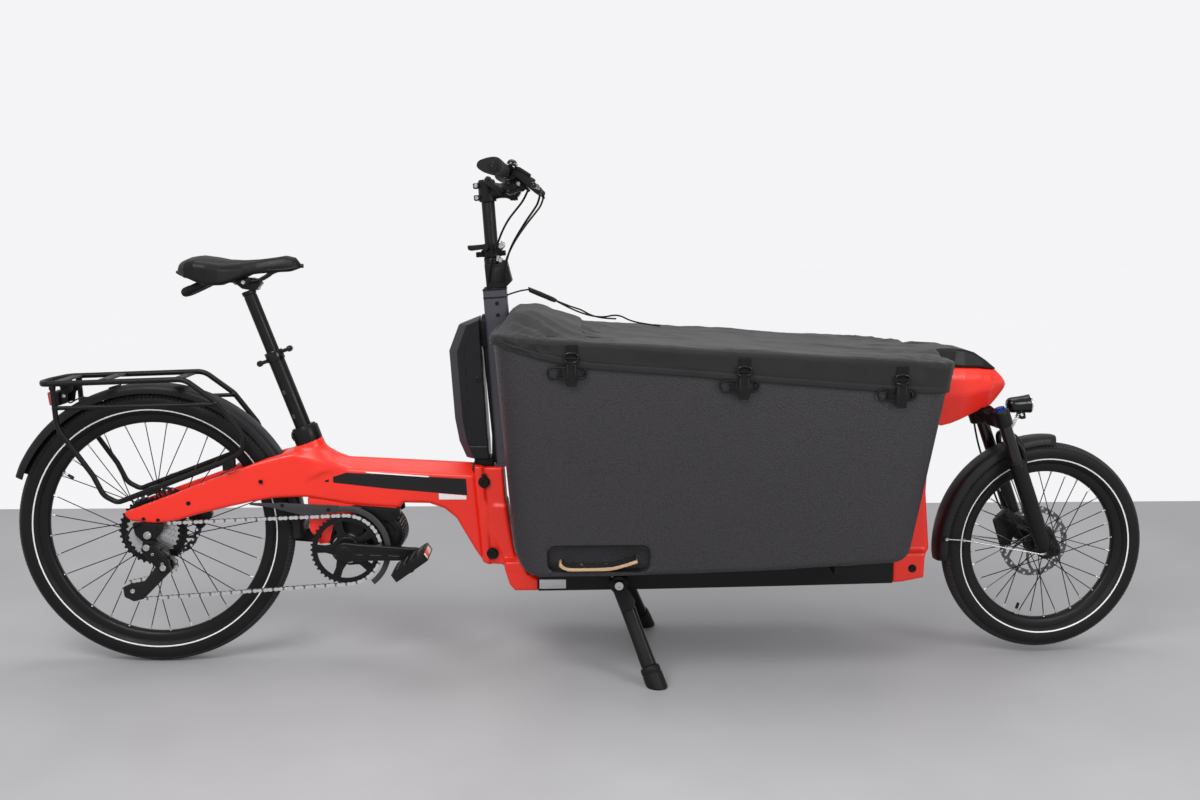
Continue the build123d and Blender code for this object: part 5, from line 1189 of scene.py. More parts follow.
b = B()
arm(b, R_END, -1)
arm(b, L_END, 1)
b.make("crank_pair", ["alloy_black", "steel", "plastic_black"], "crank", replaces="crank_arms", slot="alloy_black")


def pedal(name, px, pz, y0, y1, tilt, body, node):
    t = math.radians(tilt)
    c, s = math.cos(t), math.sin(t)

    def mv(v):
        return np.stack([px + v[:, 0] * c - v[:, 2] * s, v[:, 1], pz + v[:, 0] * s + v[:, 2] * c], 1)

    b = B()
    out = 1 if y0 > 0 else -1
    ym = (y0 + y1) / 2
    for u in (-43, 43):
        b.add(block((u, ym, 0), (6, y1 - y0, 22), 2.2), 0, mv)
    for u in (-24, 24):
        for w in (-9.5, 9.5):
            b.add(block((u, ym, w), (30, y1 - y0 - 4, 3.4), 1.2), 0, mv)
    for yy in (y0 + 7, y1 - 7):
        b.add(block((0, yy, 0), (88, 12, 23), 2.6), 0, mv)
    b.add(lathe([(6.3, 0), (12.5, 0), (13, 2), (10.5, 8), (10.5, y1 - y0 - 8), (12.5, y1 - y0 - 1), (6.3, y1 - y0)], (0, y0, 0), (0, 1, 0), 32, cap=False), 0, mv)
    for u in (-30, -10, 10, 30):
        for yy in np.linspace(y0 + 18, y1 - 18, 5):
            b.add(cyl((u, yy, 10.5), (u, yy, 12.4), 1.5, 8, 0.3), 1, mv)
            b.add(cyl((u, yy, -10.5), (u, yy, -12.4), 1.5, 8, 0.3), 1, mv)
    for u in (-45.9, 45.9):
        b.add(block((u, ym, 0), (1.6, (y1 - y0) * 0.62, 13), 0.6), 2, mv)
        b.add(block((u, y0 + 9 if out < 0 else y1 - 9, 0), (1.7, 10, 13), 0.5), 3, mv)
    v, f, = np.vstack(b.v), b.f
    return b.make(name, ["plastic_black", "steel", "amber", "white_mark"], body, replaces=node, slot="black_plastic")


pedal("pedal_right_body", *R_END, -196, -96, 35, "pedal_right", "pedal_right")
pedal("pedal_left_body", *L_END, 96, 196, 8, "pedal_left", "pedal_left")

# Motor: ribbed round housing, gearbox nose round the crank, silver lid ring
b = B()


def motor_f(X, Y, Z):
    a = np.hypot(X - 466.5, Z - 289.5) - 44
    c = np.hypot(X - 545, Z - 321) - 56
    link = poly(X, Z, [(440, 330), (425, 305), (430, 372), (590, 374), (590, 300), (500, 246), (466, 244)]) 
    side = np.minimum(np.minimum(a, c), link)
    body = rmax(side, np.abs(Y) - 35.5, 5)
    lid = rmax(np.hypot(X - 545, Z - 321) - 49.5, np.abs(Y) - 41.5, 4)
    nose = rmax(np.hypot(X - 466.5, Z - 289.5) - 34, np.abs(Y) - 45, 4)
    dish = np.maximum(np.hypot(X - 545, Z - 321) - 38, 39.5 - np.abs(Y))
    return np.maximum(np.maximum(np.minimum(np.minimum(body, lid), rmin(body, nose, 4)), -dish), 13 - np.hypot(X - 466.5, Z - 289.5))


b.add(nets(motor_f, (416, -46, 236), (608, 46, 380), 2.9), 0)
for k in range(30):
    a = math.radians(-120 + k * 8.6)
    d = np.array([math.cos(a), 0, math.sin(a)])
    o = np.array([545, 0, 321])
    b.add(block((0, 0, 0), (5.5, 66, 2.0), 0.6), 0, lambda v, d=d, o=o: o + v[:, :1] * d + v[:, 1:2] * [0, 1, 0] + v[:, 2:] * np.array([-d[2], 0, d[0]]) + d * 57.2)
for s in (-1, 1):
    b.add(lathe([(46.5, 0), (49.4, 0), (49.8, 0.7), (46.5, 1.3)], (545, s * 40.6, 321), (0, s, 0), 64, closed=True), 2)
    for k in range(6):
        a = math.radians(20 + 60 * k)
        b.add(bolt((545 + 43.2 * math.cos(a), s * 41.5, 321 + 43.2 * math.sin(a)), (0, s, 0), 3.6, 1.8), 2)
    for k in range(10):
        a = math.radians(36 * k)
        b.add(block((0, 0, 0), (20, 1.8, 2.2), 0.6), 0, lambda v, a=a, s=s: np.stack([545 + (26 + v[:, 0]) * math.cos(a) - v[:, 2] * math.sin(a), s * 39.9 + v[:, 1], 321 + (26 + v[:, 0]) * math.sin(a) + v[:, 2] * math.cos(a)], 1))
    b.add(lathe([(34.2, 0), (36.5, 0), (37, 1.2), (36.5, 2.6), (34.2, 2.6)], (466.5, s * 42.0, 289.5), (0, s, 0), 56, closed=True), 1)
b.add(lathe([(55.0, 0), (61.2, 0), (62.2, 1.2), (62.2, 5.0), (61.2, 6.2), (55.0, 6.2)], (545, 28, 321), (0, 1, 0), 72, closed=True), 1)
b.add(tube(curve([(560, 34, 380 - 6), (575, 36, 388), (600, 37, 392), (622, 36, 398)], 6), 3.2, 10), 3)
b.make("motor_housing", ["alloy_black", "steel", "screw_black", "hose"], "root", replaces="motor", slot="alloy_black")

# Chain guard: thin pressed arc with a rolled edge, and its long tail
b = B()
arc_a = np.radians(np.linspace(-52, 107, 72))
sec = [(95, -60.2), (95, -61.4), (97, -62.4), (106.5, -62.8), (108.4, -61.6), (109, -60.2), (107.6, -60.2), (106.8, -61.4), (97.2, -61.2), (96.2, -60.2)]
v = np.vstack([np.stack([CRANK[0] + r * np.cos(arc_a), np.full(72, y), CRANK[1] + r * np.sin(arc_a)], 1) for r, y in sec])
f = [(i * 72 + k, i * 72 + k + 1, ((i + 1) % len(sec)) * 72 + k + 1, ((i + 1) % len(sec)) * 72 + k) for i in range(len(sec)) for k in range(71)]
f += [tuple(i * 72 for i in range(len(sec))), tuple(i * 72 + 71 for i in range(len(sec)))]
b.add((v, f), 0)
b.add(prism(rounded([(240, 408), (337, 406), (455, 400), (447, 385), (400, 377), (368, 376), (291, 396), (240, 403)], 3), -63, -60.2, 0.9), 0)
b.add(prism([(478, 385), (505, 383), (505, 392), (478, 395.5)], -60, -41.4, 0.8), 0)
b.add(prism([(306, 399), (330, 397), (330, 406), (306, 407)], -60, -54.2, 0.8), 0)
b.add(bolt((318, -63, 401.6), (0, -1, 0), 4.4, 1.8), 1)
b.add(bolt((428, -63, 390), (0, -1, 0), 4.4, 1.8), 1)
b.make("chain_guard_arc", ["guard_grey", "screw_black"], "root", replaces="chain_guard", slot="guard_grey")


# ---------------------------------------------------------------------------
# Main frame: one broad welded beam with wheel stays, seat boss and motor cradle
# ---------------------------------------------------------------------------
FRAME_SIDE = [(-54, 398), (-46, 408), (-17, 419), (92, 455), (191, 486), (248, 504), (310, 521), (345, 530), (432, 522), (470, 509), (598, 502), (757, 493), (779, 491), (778, 470), (784, 400), (792, 301), (795, 254), (778, 279), (754, 321), (731, 362), (703, 385), (667, 398), (605, 400), (595, 388), (475, 395), (373, 417), (296, 417), (244, 410), (192, 399), (114, 381), (62, 366), (21, 361), (-40, 367), (-54, 380)]
FRAME_TOP_X, FRAME_TOP_Z = [-54, -17, 92, 191, 248, 310, 345, 432, 470, 598, 757, 779], [398, 419, 455, 486, 504, 521, 530, 522, 509, 502, 493, 491]
CRADLE = [(374, 418), (378, 335), (400, 300), (424, 303), (436, 350), (470, 372), (588, 376), (592, 390), (475, 397)]


def frame_f(X, Y, Z):
    side = poly(X, Z, FRAME_SIDE)
    w = np.interp(X, [70, 250, 350, 450], [78, 66, 50, 42])
    aY = np.abs(Y)
    f = rmax(side, aY - w, 9.0)
    top = np.interp(X, FRAME_TOP_X, FRAME_TOP_Z)
    k = np.interp(X, [230, 330, 420, 480], [0, 6, 20, 27])
    soft = ((Z - top) * 0.80 + (aY - w) * 0.60) + k * 0.80
    f = np.where(k > 0.01, rmax(f, soft, 4.0), f)
    inner = np.interp(X, [58, 110, 250, 300], [71, 60, 44, 39])
    void = np.maximum(aY - inner, X - 296)
    f = rmax(f, -void, 4.0)
    disc = np.maximum(np.hypot(X, Z - 334.5) - 366, aY - 39)
    f = np.maximum(f, -disc)
    px, pz = X - SEAT_O[0], Z - SEAT_O[2]
    s = px * SEAT_D[0] + pz * SEAT_D[2]
    q = np.sqrt(np.maximum(px**2 + pz**2 - s**2, 0) + Y**2)
    boss = np.maximum(q - np.interp(s, [-110, -78, -56, -40], [44, 37.5, 34, 33]), np.maximum(s + 40, -110 - s))
    f = rmin(f, boss, 20)
    f = np.maximum(f, 19.6 - q)
    f = np.maximum(f, s + 40)
    return f


v, f = nets(frame_f, (-60, -82, 248), (800, 82, 572), 3.9, fix=2)
b = B()
b.add((v, f), 0)
main = b.make("frame_beam", ["frame_red"], "root", replaces="rear_frame", slot="frame_red", sharp=42)
lighten(main, 0.55)

b = B()
for s in (-1, 1):
    b.add(prism(rounded(CRADLE, 6), min(s * 36.6, s * 41), max(s * 36.6, s * 41), 1.2), 0)
    for x, z in ((398, 322), (440, 366), (560, 381)):
        b.add(bolt((x, s * 41, z), (0, s, 0), 6.4, 3.6, washer=1.2), 1)
b.add(block((386, 0, 368), (10, 73, 80), 2.0, roty(-3)), 0)
for s in (-1, 1):
    b.add(prism(rounded([(468, 392), (488, 396.5), (596, 388.5), (598, 370), (578, 358), (556, 358), (487, 376)], 4), *sorted((s * 40.6, s * 46)), 1.4), 2)
    b.add(bolt((584, s * 46, 376), (0, s, 0), 4.6, 2.4), 1)
    b.add(bolt((500, s * 46, 385), (0, s, 0), 4.6, 2.4), 1)
b.make("motor_cradle", ["frame_red", "screw_black", "plastic_black"], "root", slot="frame_red")

# Black screws along the stays
b = B()
for x, z, r in ((99, 411, 5.2), (270, 460, 5.2), (-8, 374, 4.4), (26, 371, 4.4)):
    w = np.interp(x, [70, 250], [78, 66])
    for s in (-1, 1):
        b.add(bolt((x, s * (w - 0.6), z), (0, s, 0), r, 2.4), 0)
b.make("stay_screws", ["screw_black"], "root", slot="black_metal")

b = B()
for s in (-1, 1):
    b.add(prism(rounded([(-37, 366.4), (21, 360.7), (39, 362.6), (34, 344), (14, 320), (-12, 316), (-30, 334)], 7), *sorted((s * 71.2, s * 78)), 1.4), 0)
    b.add(lathe([(9.5, 0), (9.5, 5.5), (8.2, 6.8), (6.0, 6.8), (5.4, 5.0), (0.01, 5.0)], (0, s * 78, 334.5), (0, s, 0), 6 if s > 0 else 32), 1)
    b.add(bolt((24, s * 78, 352), (0, s, 0), 3.8, 2.0), 2)
b.add(cyl((0, -85, 334.5), (0, 84, 334.5), 5.4, 24), 1)
b.make("dropout_plates", ["frame_black", "steel", "screw_black"], "root", replaces="rear_dropouts", slot="black_metal")

# Coupling casting between the beam and the box carrier
COUP = [(779.2, 491), (800, 487), (846, 487), (852, 400), (866, 300), (872, 270), (892, 258), (905, 232), (930, 216), (930, 190), (875, 190), (862, 203), (849, 245), (806, 247), (795.2, 254), (792.2, 301), (784.2, 400), (778.2, 470)]
FOOT = [(849, 262), (849, 245), (861, 205), (874, 190), (930, 190), (930, 216), (905, 230), (889, 262)]
RAISED = [(803, 402), (822, 394), (852, 392), (866, 300), (872, 268), (849, 262), (830, 300), (812, 330), (801, 366)]


def coup_f(X, Y, Z):
    aY = np.abs(Y)
    web = rmax(poly(X, Z, COUP), aY - 42.5, 6)
    flange = rmax(poly(X, Z, [(779.2, 491), (797, 488), (804, 400), (811, 302), (812, 247), (795.2, 254), (792.2, 301), (784.2, 400), (778.2, 470)]), aY - 48, 5)
    cast = rmax(poly(X, Z, RAISED), aY - 48, 7)
    foot = rmax(poly(X, Z, FOOT), aY - 80, 6)
    f = rmin(rmin(web, flange, 6), cast, 10)
    crease = np.maximum(np.abs(Z - 236 + (X - 860) * 0.25) - 1.1, 78.2 - aY)
    return np.maximum(rmin(f, foot, 12), -crease)


v, f = nets(coup_f, (772, -84, 184), (936, 84, 496), 3.3)
b = B()
b.add((v, f), 0)
for s in (-1, 1):
    b.add(bolt((801, s * 47.6, 452), (0, s, 0), 11.5, 5.0, washer=3.0), 1)
    b.add(bolt((819, s * 47.6, 275), (0, s, 0), 11.5, 5.0, washer=3.0), 1)
b.make("coupling_casting", ["frame_red", "screw_black"], "root", replaces="frame_coupling", slot="frame_red", sharp=42)

# Low carrier under the box: rails, plates, end caps
cad("chassis_beam", "frame_black")
b = B()
for s in (-1, 1):
    for x in (1106, 1140):
        b.add(bolt((x, s * 106, 250 if x < 1120 else 222), (0, s, 0), 6.5, 4, washer=1.5), 1)
    b.add(bolt((1123, s * 106, 222), (0, s, 0), 10, 5, washer=3), 0)
for s in (-1, 1):
    b.add(prism(rounded([(933, 218), (997, 218), (997, 195.5), (933, 195)], 1.5), *sorted((s * 79.5, s * 81.2)), 0.25), 2)
b.make("pivot_bolts", ["steel", "screw_black", "plate_silver"], "root", slot="steel")

# Front frame: upright behind the wheel, gusset and head tube
FRONT_SIDE = [(1790.2, 202), (1812, 203), (1868, 214), (1880, 268), (1886, 279), (1874, 421), (1880, 560), (1916, 622), (1905, 690), (1888, 640), (1874, 560), (1858, 440), (1838, 330), (1808, 300), (1790.2, 292)]
GUSSET = [(1890, 585), (1918, 600), (2000, 652), (1968, 724), (1900, 700)]


def front_f(X, Y, Z):
    aY = np.abs(Y)
    up = rmax(poly(X, Z, FRONT_SIDE), aY - 52, 8)
    foot = rmax(poly(X, Z, [(1790.2, 202), (1812, 203), (1868, 214), (1870, 276), (1790.2, 276)]), aY - 80, 7)
    gus = rmax(poly(X, Z, GUSSET), aY - 24, 6)
    px, pz = X - FORK_O[0], Z - FORK_O[2]
    s = px * FORK_D[0] + pz * FORK_D[2]
    q = np.sqrt(np.maximum(px**2 + pz**2 - s**2, 0) + Y**2)
    tubef = np.maximum(q - 25, np.maximum(s - 108, 8 - s))
    f = rmin(rmin(rmin(up, foot, 10), gus, 14), tubef, 8)
    return np.maximum(f, 15 - q)


v, f = nets(front_f, (1784, -84, 196), (2024, 84, 736), 4.5)
b = B()
b.add((v, f), 0)
for s in (-1, 1):
    b.add(bolt((1838, s * 80, 238), (0, s, 0), 8, 4, washer=2), 1)
b.add(lathe([(16, 2.0), (26.5, 2.0), (27.2, 4), (26.5, 8), (16, 8)], FORK_O, FORK_D, 48, closed=True), 1)
b.make("front_upright", ["frame_red", "screw_black"], "root", replaces="front_frame", slot="frame_red", sharp=42)

# Nose shell and its cap: faceted mouldings
NOSE = [(1884, 590), (1910, 581), (1932, 587), (1996, 616), (2034, 631), (2048, 646), (2061, 663), (2072, 679), (2056, 700), (2037, 718), (1990, 724), (1921, 728), (1884, 729)]


def nose_f(X, Y, Z):
    aY = np.abs(Y)
    hw = np.interp(X, [1870, 1950, 2020, 2064, 2076], [74, 72, 54, 25, 8])
    f = rmax(poly(X, Z, NOSE), aY - hw, 7)
    facet = (aY - hw) * 0.86 + (np.interp(X, [1884, 1960, 2071], [656, 662, 688]) - Z) * 0.42
    upper = (aY - hw) * 0.90 + (Z - np.interp(X, [1884, 1990, 2071], [704, 702, 688])) * 0.40
    return rmax(rmax(f, facet, 3), upper, 3)


def nose_shell(X, Y, Z):
    f = nose_f(X, Y, Z)
    open_low = np.maximum(f + 4.2, -1e3)
    px, pz = X - FORK_O[0], Z - FORK_O[2]
    s = px * FORK_D[0] + pz * FORK_D[2]
    q = np.sqrt(np.maximum(px**2 + pz**2 - s**2, 0) + Y**2)
    pocket = np.maximum(np.maximum(f + 5.0, Z - 708), np.maximum(1896 - X, X - 2026))
    under = np.maximum(q - 31, Z - 690)
    return np.maximum(f, -np.minimum(pocket, under))


v, f = nets(nose_shell, (1878, -80, 572), (2080, 80, 736), 3.1)
make("nose_shell", v, f, "frame_red", "root", "nose_fairing", "frame_red", sharp=36)

CAP = [(1914, 728.5), (1921, 728.4), (1990, 725), (2032, 719.4), (2037, 720.6), (2009, 742.5), (1979, 761.5), (1955, 769), (1930, 771.5), (1914, 771)]


def cap_f(X, Y, Z):
    hw = np.interp(X, [1880, 1950, 2000, 2038], [63, 59, 46, 30])
    return rmax(poly(X, Z, CAP), np.abs(Y) - hw - (760 - Z) * 0.25, 6)


v, f = nets(cap_f, (1908, -80, 712), (2044, 80, 780), 2.4)
make("nose_top_cap", v, f, "plastic_black", "root", "nose_cap", "black_plastic", sharp=36)


def axis_map(o, deg):
    """Local (ahead, lateral, along) of a leaning axis to station coordinates."""
    t = math.radians(deg)
    M = np.array([(math.cos(t), 0, math.sin(t)), (0, 1, 0), (-math.sin(t), 0, math.cos(t))])
    return lambda v: np.asarray(o, float) + np.asarray(v, float) @ M


head, mast, seat = axis_map(FORK_O, 20), axis_map(MAST_O, 3.8), axis_map(SEAT_O, 20)


def rrect(w, d, r, n=6):
    """Rounded rectangle in the (ahead, lateral) plane."""
    out = []
    for cx, cy, a0 in ((w / 2 - r, d / 2 - r, 0), (-w / 2 + r, d / 2 - r, 90), (-w / 2 + r, -d / 2 + r, 180), (w / 2 - r, -d / 2 + r, 270)):
        for t in np.radians(np.linspace(a0, a0 + 90, n)):
            out.append((cx + r * math.cos(t), cy + r * math.sin(t)))
    return np.array(out)


def stack(sections, close_ends=True):
    """Skin over sections of equal count, each an (n, 3) array."""
    n = len(sections[0])
    v = np.vstack(sections)
    f = [(i * n + k, i * n + (k + 1) % n, (i + 1) * n + (k + 1) % n, (i + 1) * n + k) for i in range(len(sections) - 1) for k in range(n)]
    if close_ends:
        f += [tuple(range(n)), tuple((len(sections) - 1) * n + k for k in range(n))]
    return v, f


def bar_of(profile, z0, z1, bevel=1.0, centre=(0, 0)):
    """A straight bar of any (ahead, lateral) section from z0 to z1 along."""
    p = np.asarray(profile, float)
    c = p.mean(0)
    d = p - c
    L = np.linalg.norm(d, axis=1)[:, None]
    small = c + d * (1 - bevel / np.maximum(L, 1e-6))
    secs = [np.column_stack([q, np.full(len(p), z)]) for q, z in ((small, z0), (p, z0 + bevel), (p, z1 - bevel), (small, z1))]
    return stack(secs)


# ---------------------------------------------------------------------------
# Steering mast, battery
# ---------------------------------------------------------------------------
b = B()
outer, inner = rrect(56, 58, 9), rrect(50, 52, 6)
low = -(915 - 491) / math.cos(math.radians(3.8))
secs = [np.column_stack([q, np.full(len(q), z)]) for q, z in ((outer, low), (outer, -0.5), (outer - np.sign(outer) * 0.6, 0.2), (inner, 0.2), (inner, low))]
n_sec = len(outer)
v = np.vstack(secs)
f = [(i * n_sec + k, i * n_sec + (k + 1) % n_sec, ((i + 1) % 5) * n_sec + (k + 1) % n_sec, ((i + 1) % 5) * n_sec + k) for i in range(5) for k in range(n_sec)]
b.add((v, f), 0, mast)
b.add(lathe([(16.2, 0), (25, 0), (26.5, 1.5), (26.0, 4.2), (23, 5.8), (17, 6), (16.2, 5.6)], (0, 0, 0), (0, 0, 1), 48, closed=True), 1, mast)
b.add(bar_of(rrect(57.5, 59.5, 9.5), -22, -18, 0.8), 1, mast)
b.add(bar_of(rrect(57.5, 59.5, 9.5), -3.5, 1.5, 1.0), 1, mast)
b.add(prism(rounded([(826, 487.2), (890, 487.2), (888, 492.5), (828, 492.5)], 1), -35, 35, 1.0), 0)
a, c = mast_at(-60, -27), mast_at(-420, -27)
b.add(prism([(a[0], a[2]), (c[0], c[2]), (c[0] - 13, c[2]), (c[0] - 12, 560), (a[0] - 9, 800), (a[0] - 9, a[2])], -18, 18, 2.0), 1)
for s in (-1, 1):
    for al in (-34, -62):
        b.add(bolt(mast((4, s * 28.8, al)), (0, s, 0), 4.6, 2.0), 2)
b.make("mast_tube", ["mast_grey", "plastic_black", "screw_black"], "root", replaces="steering_mast", slot="mast_grey")

BATT = [(794, 850), (744, 830), (720, 768), (731, 604), (741, 548), (758, 508), (814, 509), (811, 560)]


def batt_f(X, Y, Z):
    aY = np.abs(Y)
    side = poly(X, Z, BATT)
    f = rmax(side, aY - 46, 3.0)
    rear_x = np.interp(Z, [508, 548, 604, 768, 831, 852], [758, 741, 731, 720, 744, 794])
    facet = (aY - 46) * 0.64 + (rear_x - X + 22) * 0.77
    f = rmax(f, facet, 1.2)
    groove = np.maximum(np.abs(X - rear_x - 40) - 0.9, 45.0 - aY)
    port = np.maximum(np.maximum(np.abs(Z - 608) - 34, np.abs(X - 771) - 13), 45.2 - aY)
    port_in = np.maximum(np.maximum(np.abs(Z - 608) - 32.5, np.abs(X - 771) - 11.5), 45.4 - aY)
    door = np.maximum(port, -port_in)
    seam = np.maximum(np.abs(Z - 540) - 0.9, 44.6 - aY)
    return np.maximum(np.maximum(f, -groove), np.maximum(-door, -seam))


v, f = nets(batt_f, (715, -50, 502), (820, 50, 858), 2.6)
b = B()
fc = np.array([v[list(q)].mean(0) for q in f])
rear_x = np.interp(fc[:, 2], [508, 548, 604, 768, 831, 852], [758, 741, 731, 720, 744, 794])
face_m = ((fc[:, 0] - rear_x) < 21.0 - np.maximum(0, np.abs(fc[:, 1]) - 42) * 0.3).astype(int)
b.add((v, f), face_m)
for s in (-1, 1):
    b.add(lathe([(7.5, 0), (7.5, 1.2), (6.5, 1.8), (3.6, 1.8), (3.2, 1.0), (0.01, 1.0)], (790, s * 45.8, 700), (0, s, 0), 28), 2)
b.add(prism(rounded([(788, 842), (812, 842), (813, 782), (806, 774), (790, 786)], 4), -24, 24, 2.0), 2)
b.add(block((800, 0, 498), (46, 62, 21), 4.0), 2)
b.add(tube(curve([(780, -30, 500), (774, -38, 484), (786, -44, 470), (806, -46, 470)], 8), 3.0, 12), 3)
b.make("battery_pack", ["battery_shell", "battery_face", "plastic_black", "hose"], "root", replaces="battery", slot="black_plastic", sharp=30)


# ---------------------------------------------------------------------------
# Cargo box: moulded tub, plywood steps
# ---------------------------------------------------------------------------
def tub_f(X, Y, Z, grow=0.0, r_low=62.0):
    t = (Z - 240) / 610
    x0, x1 = 888 - 52 * t - grow, 1776 + 108 * t + grow
    w = 272 + 27 * t + grow
    cx, hx = (x0 + x1) / 2, (x1 - x0) / 2
    r = r_low + grow
    ax, ay = np.abs(X - cx) - (hx - r), np.abs(Y) - (w - r)
    return np.minimum(np.maximum(ax, ay), 0) + np.hypot(np.maximum(ax, 0), np.maximum(ay, 0)) - r


BOX_SIDE = [(780, 900), (1940, 900), (1920, 600), (1850, 372), (1818, 326), (1766, 306), (1744, 304), (1430, 287), (1109, 278), (935, 278), (915, 283), (898, 295), (884, 315), (872, 345), (780, 600)]


def chan_f(X, Y, Z, m):
    """Channel in the rear wall for the mast."""
    px, pz = X - MAST_O[0], Z - MAST_O[2]
    ca, sa = math.cos(math.radians(3.8)), math.sin(math.radians(3.8))
    ahead = px * ca + pz * sa
    return np.maximum(ahead - (34 + m), np.abs(Y) - (37 + m))


def box_f(X, Y, Z, g=0.0):
    f = rmax(tub_f(X, Y, Z, g), poly(X, Z, BOX_SIDE) - g, 12 + g)
    f = rmax(f, -chan_f(X, Y, Z, -g), 8)
    cx, cz = np.abs(X - 1072.5) - (114 - g - 16), np.abs(Z - 320) - (29.5 - g - 16)
    slot = np.minimum(np.maximum(cx, cz), 0) + np.hypot(np.maximum(cx, 0), np.maximum(cz, 0)) - 16
    cut = np.maximum(slot, (240 - g) - np.abs(Y))
    return rmax(f, -cut, 6) if g == 0 else np.maximum(f, -(cut - 0))


def box_top(x):
    return 826 - 70 * (x - 800) / 1100 - 1.0


parts = []
for g, h in ((0.0, 8.0), (-4.5, 14.0)):
    v, f = nets(lambda X, Y, Z: box_f(X, Y, Z, g), (826, -306, 268), (1896, 306, 842), h, fix=3)
    f = np.array(f)
    keep = (v[f][:, :, 2] < box_top(v[f][:, :, 0]) + h).all(1)
    f = f[keep]
    used = np.unique(f)
    idx = np.full(len(v), -1)
    idx[used] = np.arange(len(used))
    v, f = v[used], idx[f]
    v[:, 2] = np.minimum(v[:, 2], box_top(v[:, 0]))
    parts.append((v, f.tolist()))
b = B()
b.add(parts[0], 0)
b.add((parts[1][0], [q[::-1] for q in parts[1][1]]), 0)
rim_line = []
for t in np.linspace(0, 1, 260, endpoint=False):
    ang = 2 * math.pi * t
    c = np.array([1362.0, 0.0])
    d = np.array([math.cos(ang), math.sin(ang)])
    lo_r, hi_r = 10.0, 900.0
    for _ in range(26):
        m_ = (lo_r + hi_r) / 2
        p = c + d * m_
        z = box_top(p[0])
        val = max(float(tub_f(np.float64(p[0]), np.float64(p[1]), np.float64(z))), -float(chan_f(np.float64(p[0]), np.float64(p[1]), np.float64(z), 0)))
        if val < -2.2:
            lo_r = m_
        else:
            hi_r = m_
    p = c + d * lo_r
    rim_line.append((p[0], p[1], box_top(p[0]) - 1.4))
b.add(tube(rim_line, 2.6, 8, closed=True, up=(0, 0, 1)), 1)
tub_piece = b.make("box_tub", ["box_pebble", "plastic_black"], "root", replaces="cargo_box", slot="box_black", sharp=45, recalc=False)

# Bent board: its ends rise, birch edges under a dark film
LOWER = curve([(982.5, 0, 311), (986, 0, 305), (996, 0, 299), (1010, 0, 296.2), (1050, 0, 296.0), (1098, 0, 297.4), (1130, 0, 304.6), (1160, 0, 314.4)], 6)[:, [0, 2]]
t_ = np.gradient(LOWER, axis=0)
t_ /= np.linalg.norm(t_, axis=1)[:, None]
UP = np.column_stack([-t_[:, 1], t_[:, 0]])
b = B()
for s in (-1, 1):
    y0, y1 = sorted((s * 241, s * 287))
    b.add(prism(np.vstack([LOWER, (LOWER + UP * 7.4)[::-1]]), y0, y1, 0.5, 2), 0)
    y0, y1 = sorted((s * 241.5, s * 286.4))
    b.add(prism(np.vstack([LOWER + UP * 7.2, (LOWER + UP * 8.2)[::-1]]), y0, y1, 0.2, 1), 2)
    for x in (1034, 1090):
        b.add(lathe([(5, 0), (5, 1.0), (3.8, 1.8), (0.01, 1.8)], (x, s * 256, 304.0), (0, 0, 1), 24), 1)
b.make("plywood_steps", ["plywood", "steel", "film_dark"], "root", replaces="side_steps", slot="plywood")


# ---------------------------------------------------------------------------
# Weather cover over the box: one stitched sheet with a stiffened hem
# ---------------------------------------------------------------------------
HEM_X = [800, 846, 866, 886, 924, 954, 991, 1047, 1294, 1694, 1834, 1920]
HEM_Z = [806, 806, 801, 795, 783, 775, 767, 756, 736, 702, 697, 690]


def cover_top(x):
    return 832 - 71 * (x - 800) / 1120


def plan_edge(ang, grow, z):
    """Distance from the middle of the box to its outline, grown."""
    c = np.array([1362.0, 0.0])
    d = np.array([math.cos(ang), math.sin(ang)])
    lo_r, hi_r = 10.0, 900.0
    for _ in range(24):
        m_ = (lo_r + hi_r) / 2
        p = c + d * m_
        zz = z(p[0])
        if float(tub_f(np.float64(p[0]), np.float64(p[1]), np.float64(zz), grow)) < 0:
            lo_r = m_
        else:
            hi_r = m_
    return lo_r


def smooth(t):
    t = np.clip(t, 0, 1)
    return t * t * (3 - 2 * t)


class Value:
    """Smooth seeded noise for wrinkles."""

    def __init__(self, seed, n=256):
        r = np.random.RandomState(seed)
        self.g = r.rand(n, n) * 2 - 1
        self.n = n

    def __call__(self, x, y):
        x0, y0 = np.floor(x).astype(int), np.floor(y).astype(int)
        fx, fy = x - x0, y - y0
        fx, fy = fx * fx * (3 - 2 * fx), fy * fy * (3 - 2 * fy)
        g, n = self.g, self.n
        a, b_ = g[x0 % n, y0 % n], g[(x0 + 1) % n, y0 % n]
        c, d = g[x0 % n, (y0 + 1) % n], g[(x0 + 1) % n, (y0 + 1) % n]
        return (a * (1 - fx) + b_ * fx) * (1 - fy) + (c * (1 - fx) + d * fx) * fy


wr1, wr2, wr3 = Value(3), Value(7), Value(21)


def ridge(n_, x, y, sharp=2.0):
    return (1 - np.abs(n_(x, y))) ** sharp


NA = 720
angs = []
# angles spaced so that the outline is sampled evenly
raw = np.linspace(0, 2 * math.pi, 1441)[:-1]
rr = np.array([plan_edge(a, 6.0, cover_top) for a in raw])
P2 = np.column_stack([1362 + rr * np.cos(raw), rr * np.sin(raw)])
s = np.concatenate([[0], np.cumsum(np.linalg.norm(np.diff(np.vstack([P2, P2[:1]]), axis=0), axis=1))])
even_a = np.interp(np.linspace(0, s[-1], NA, endpoint=False), s, np.append(raw, 2 * math.pi))
edge_r = np.interp(even_a, np.append(raw, 2 * math.pi), np.append(rr, rr[0]))
E = np.column_stack([1362 + edge_r * np.cos(even_a), edge_r * np.sin(even_a)])


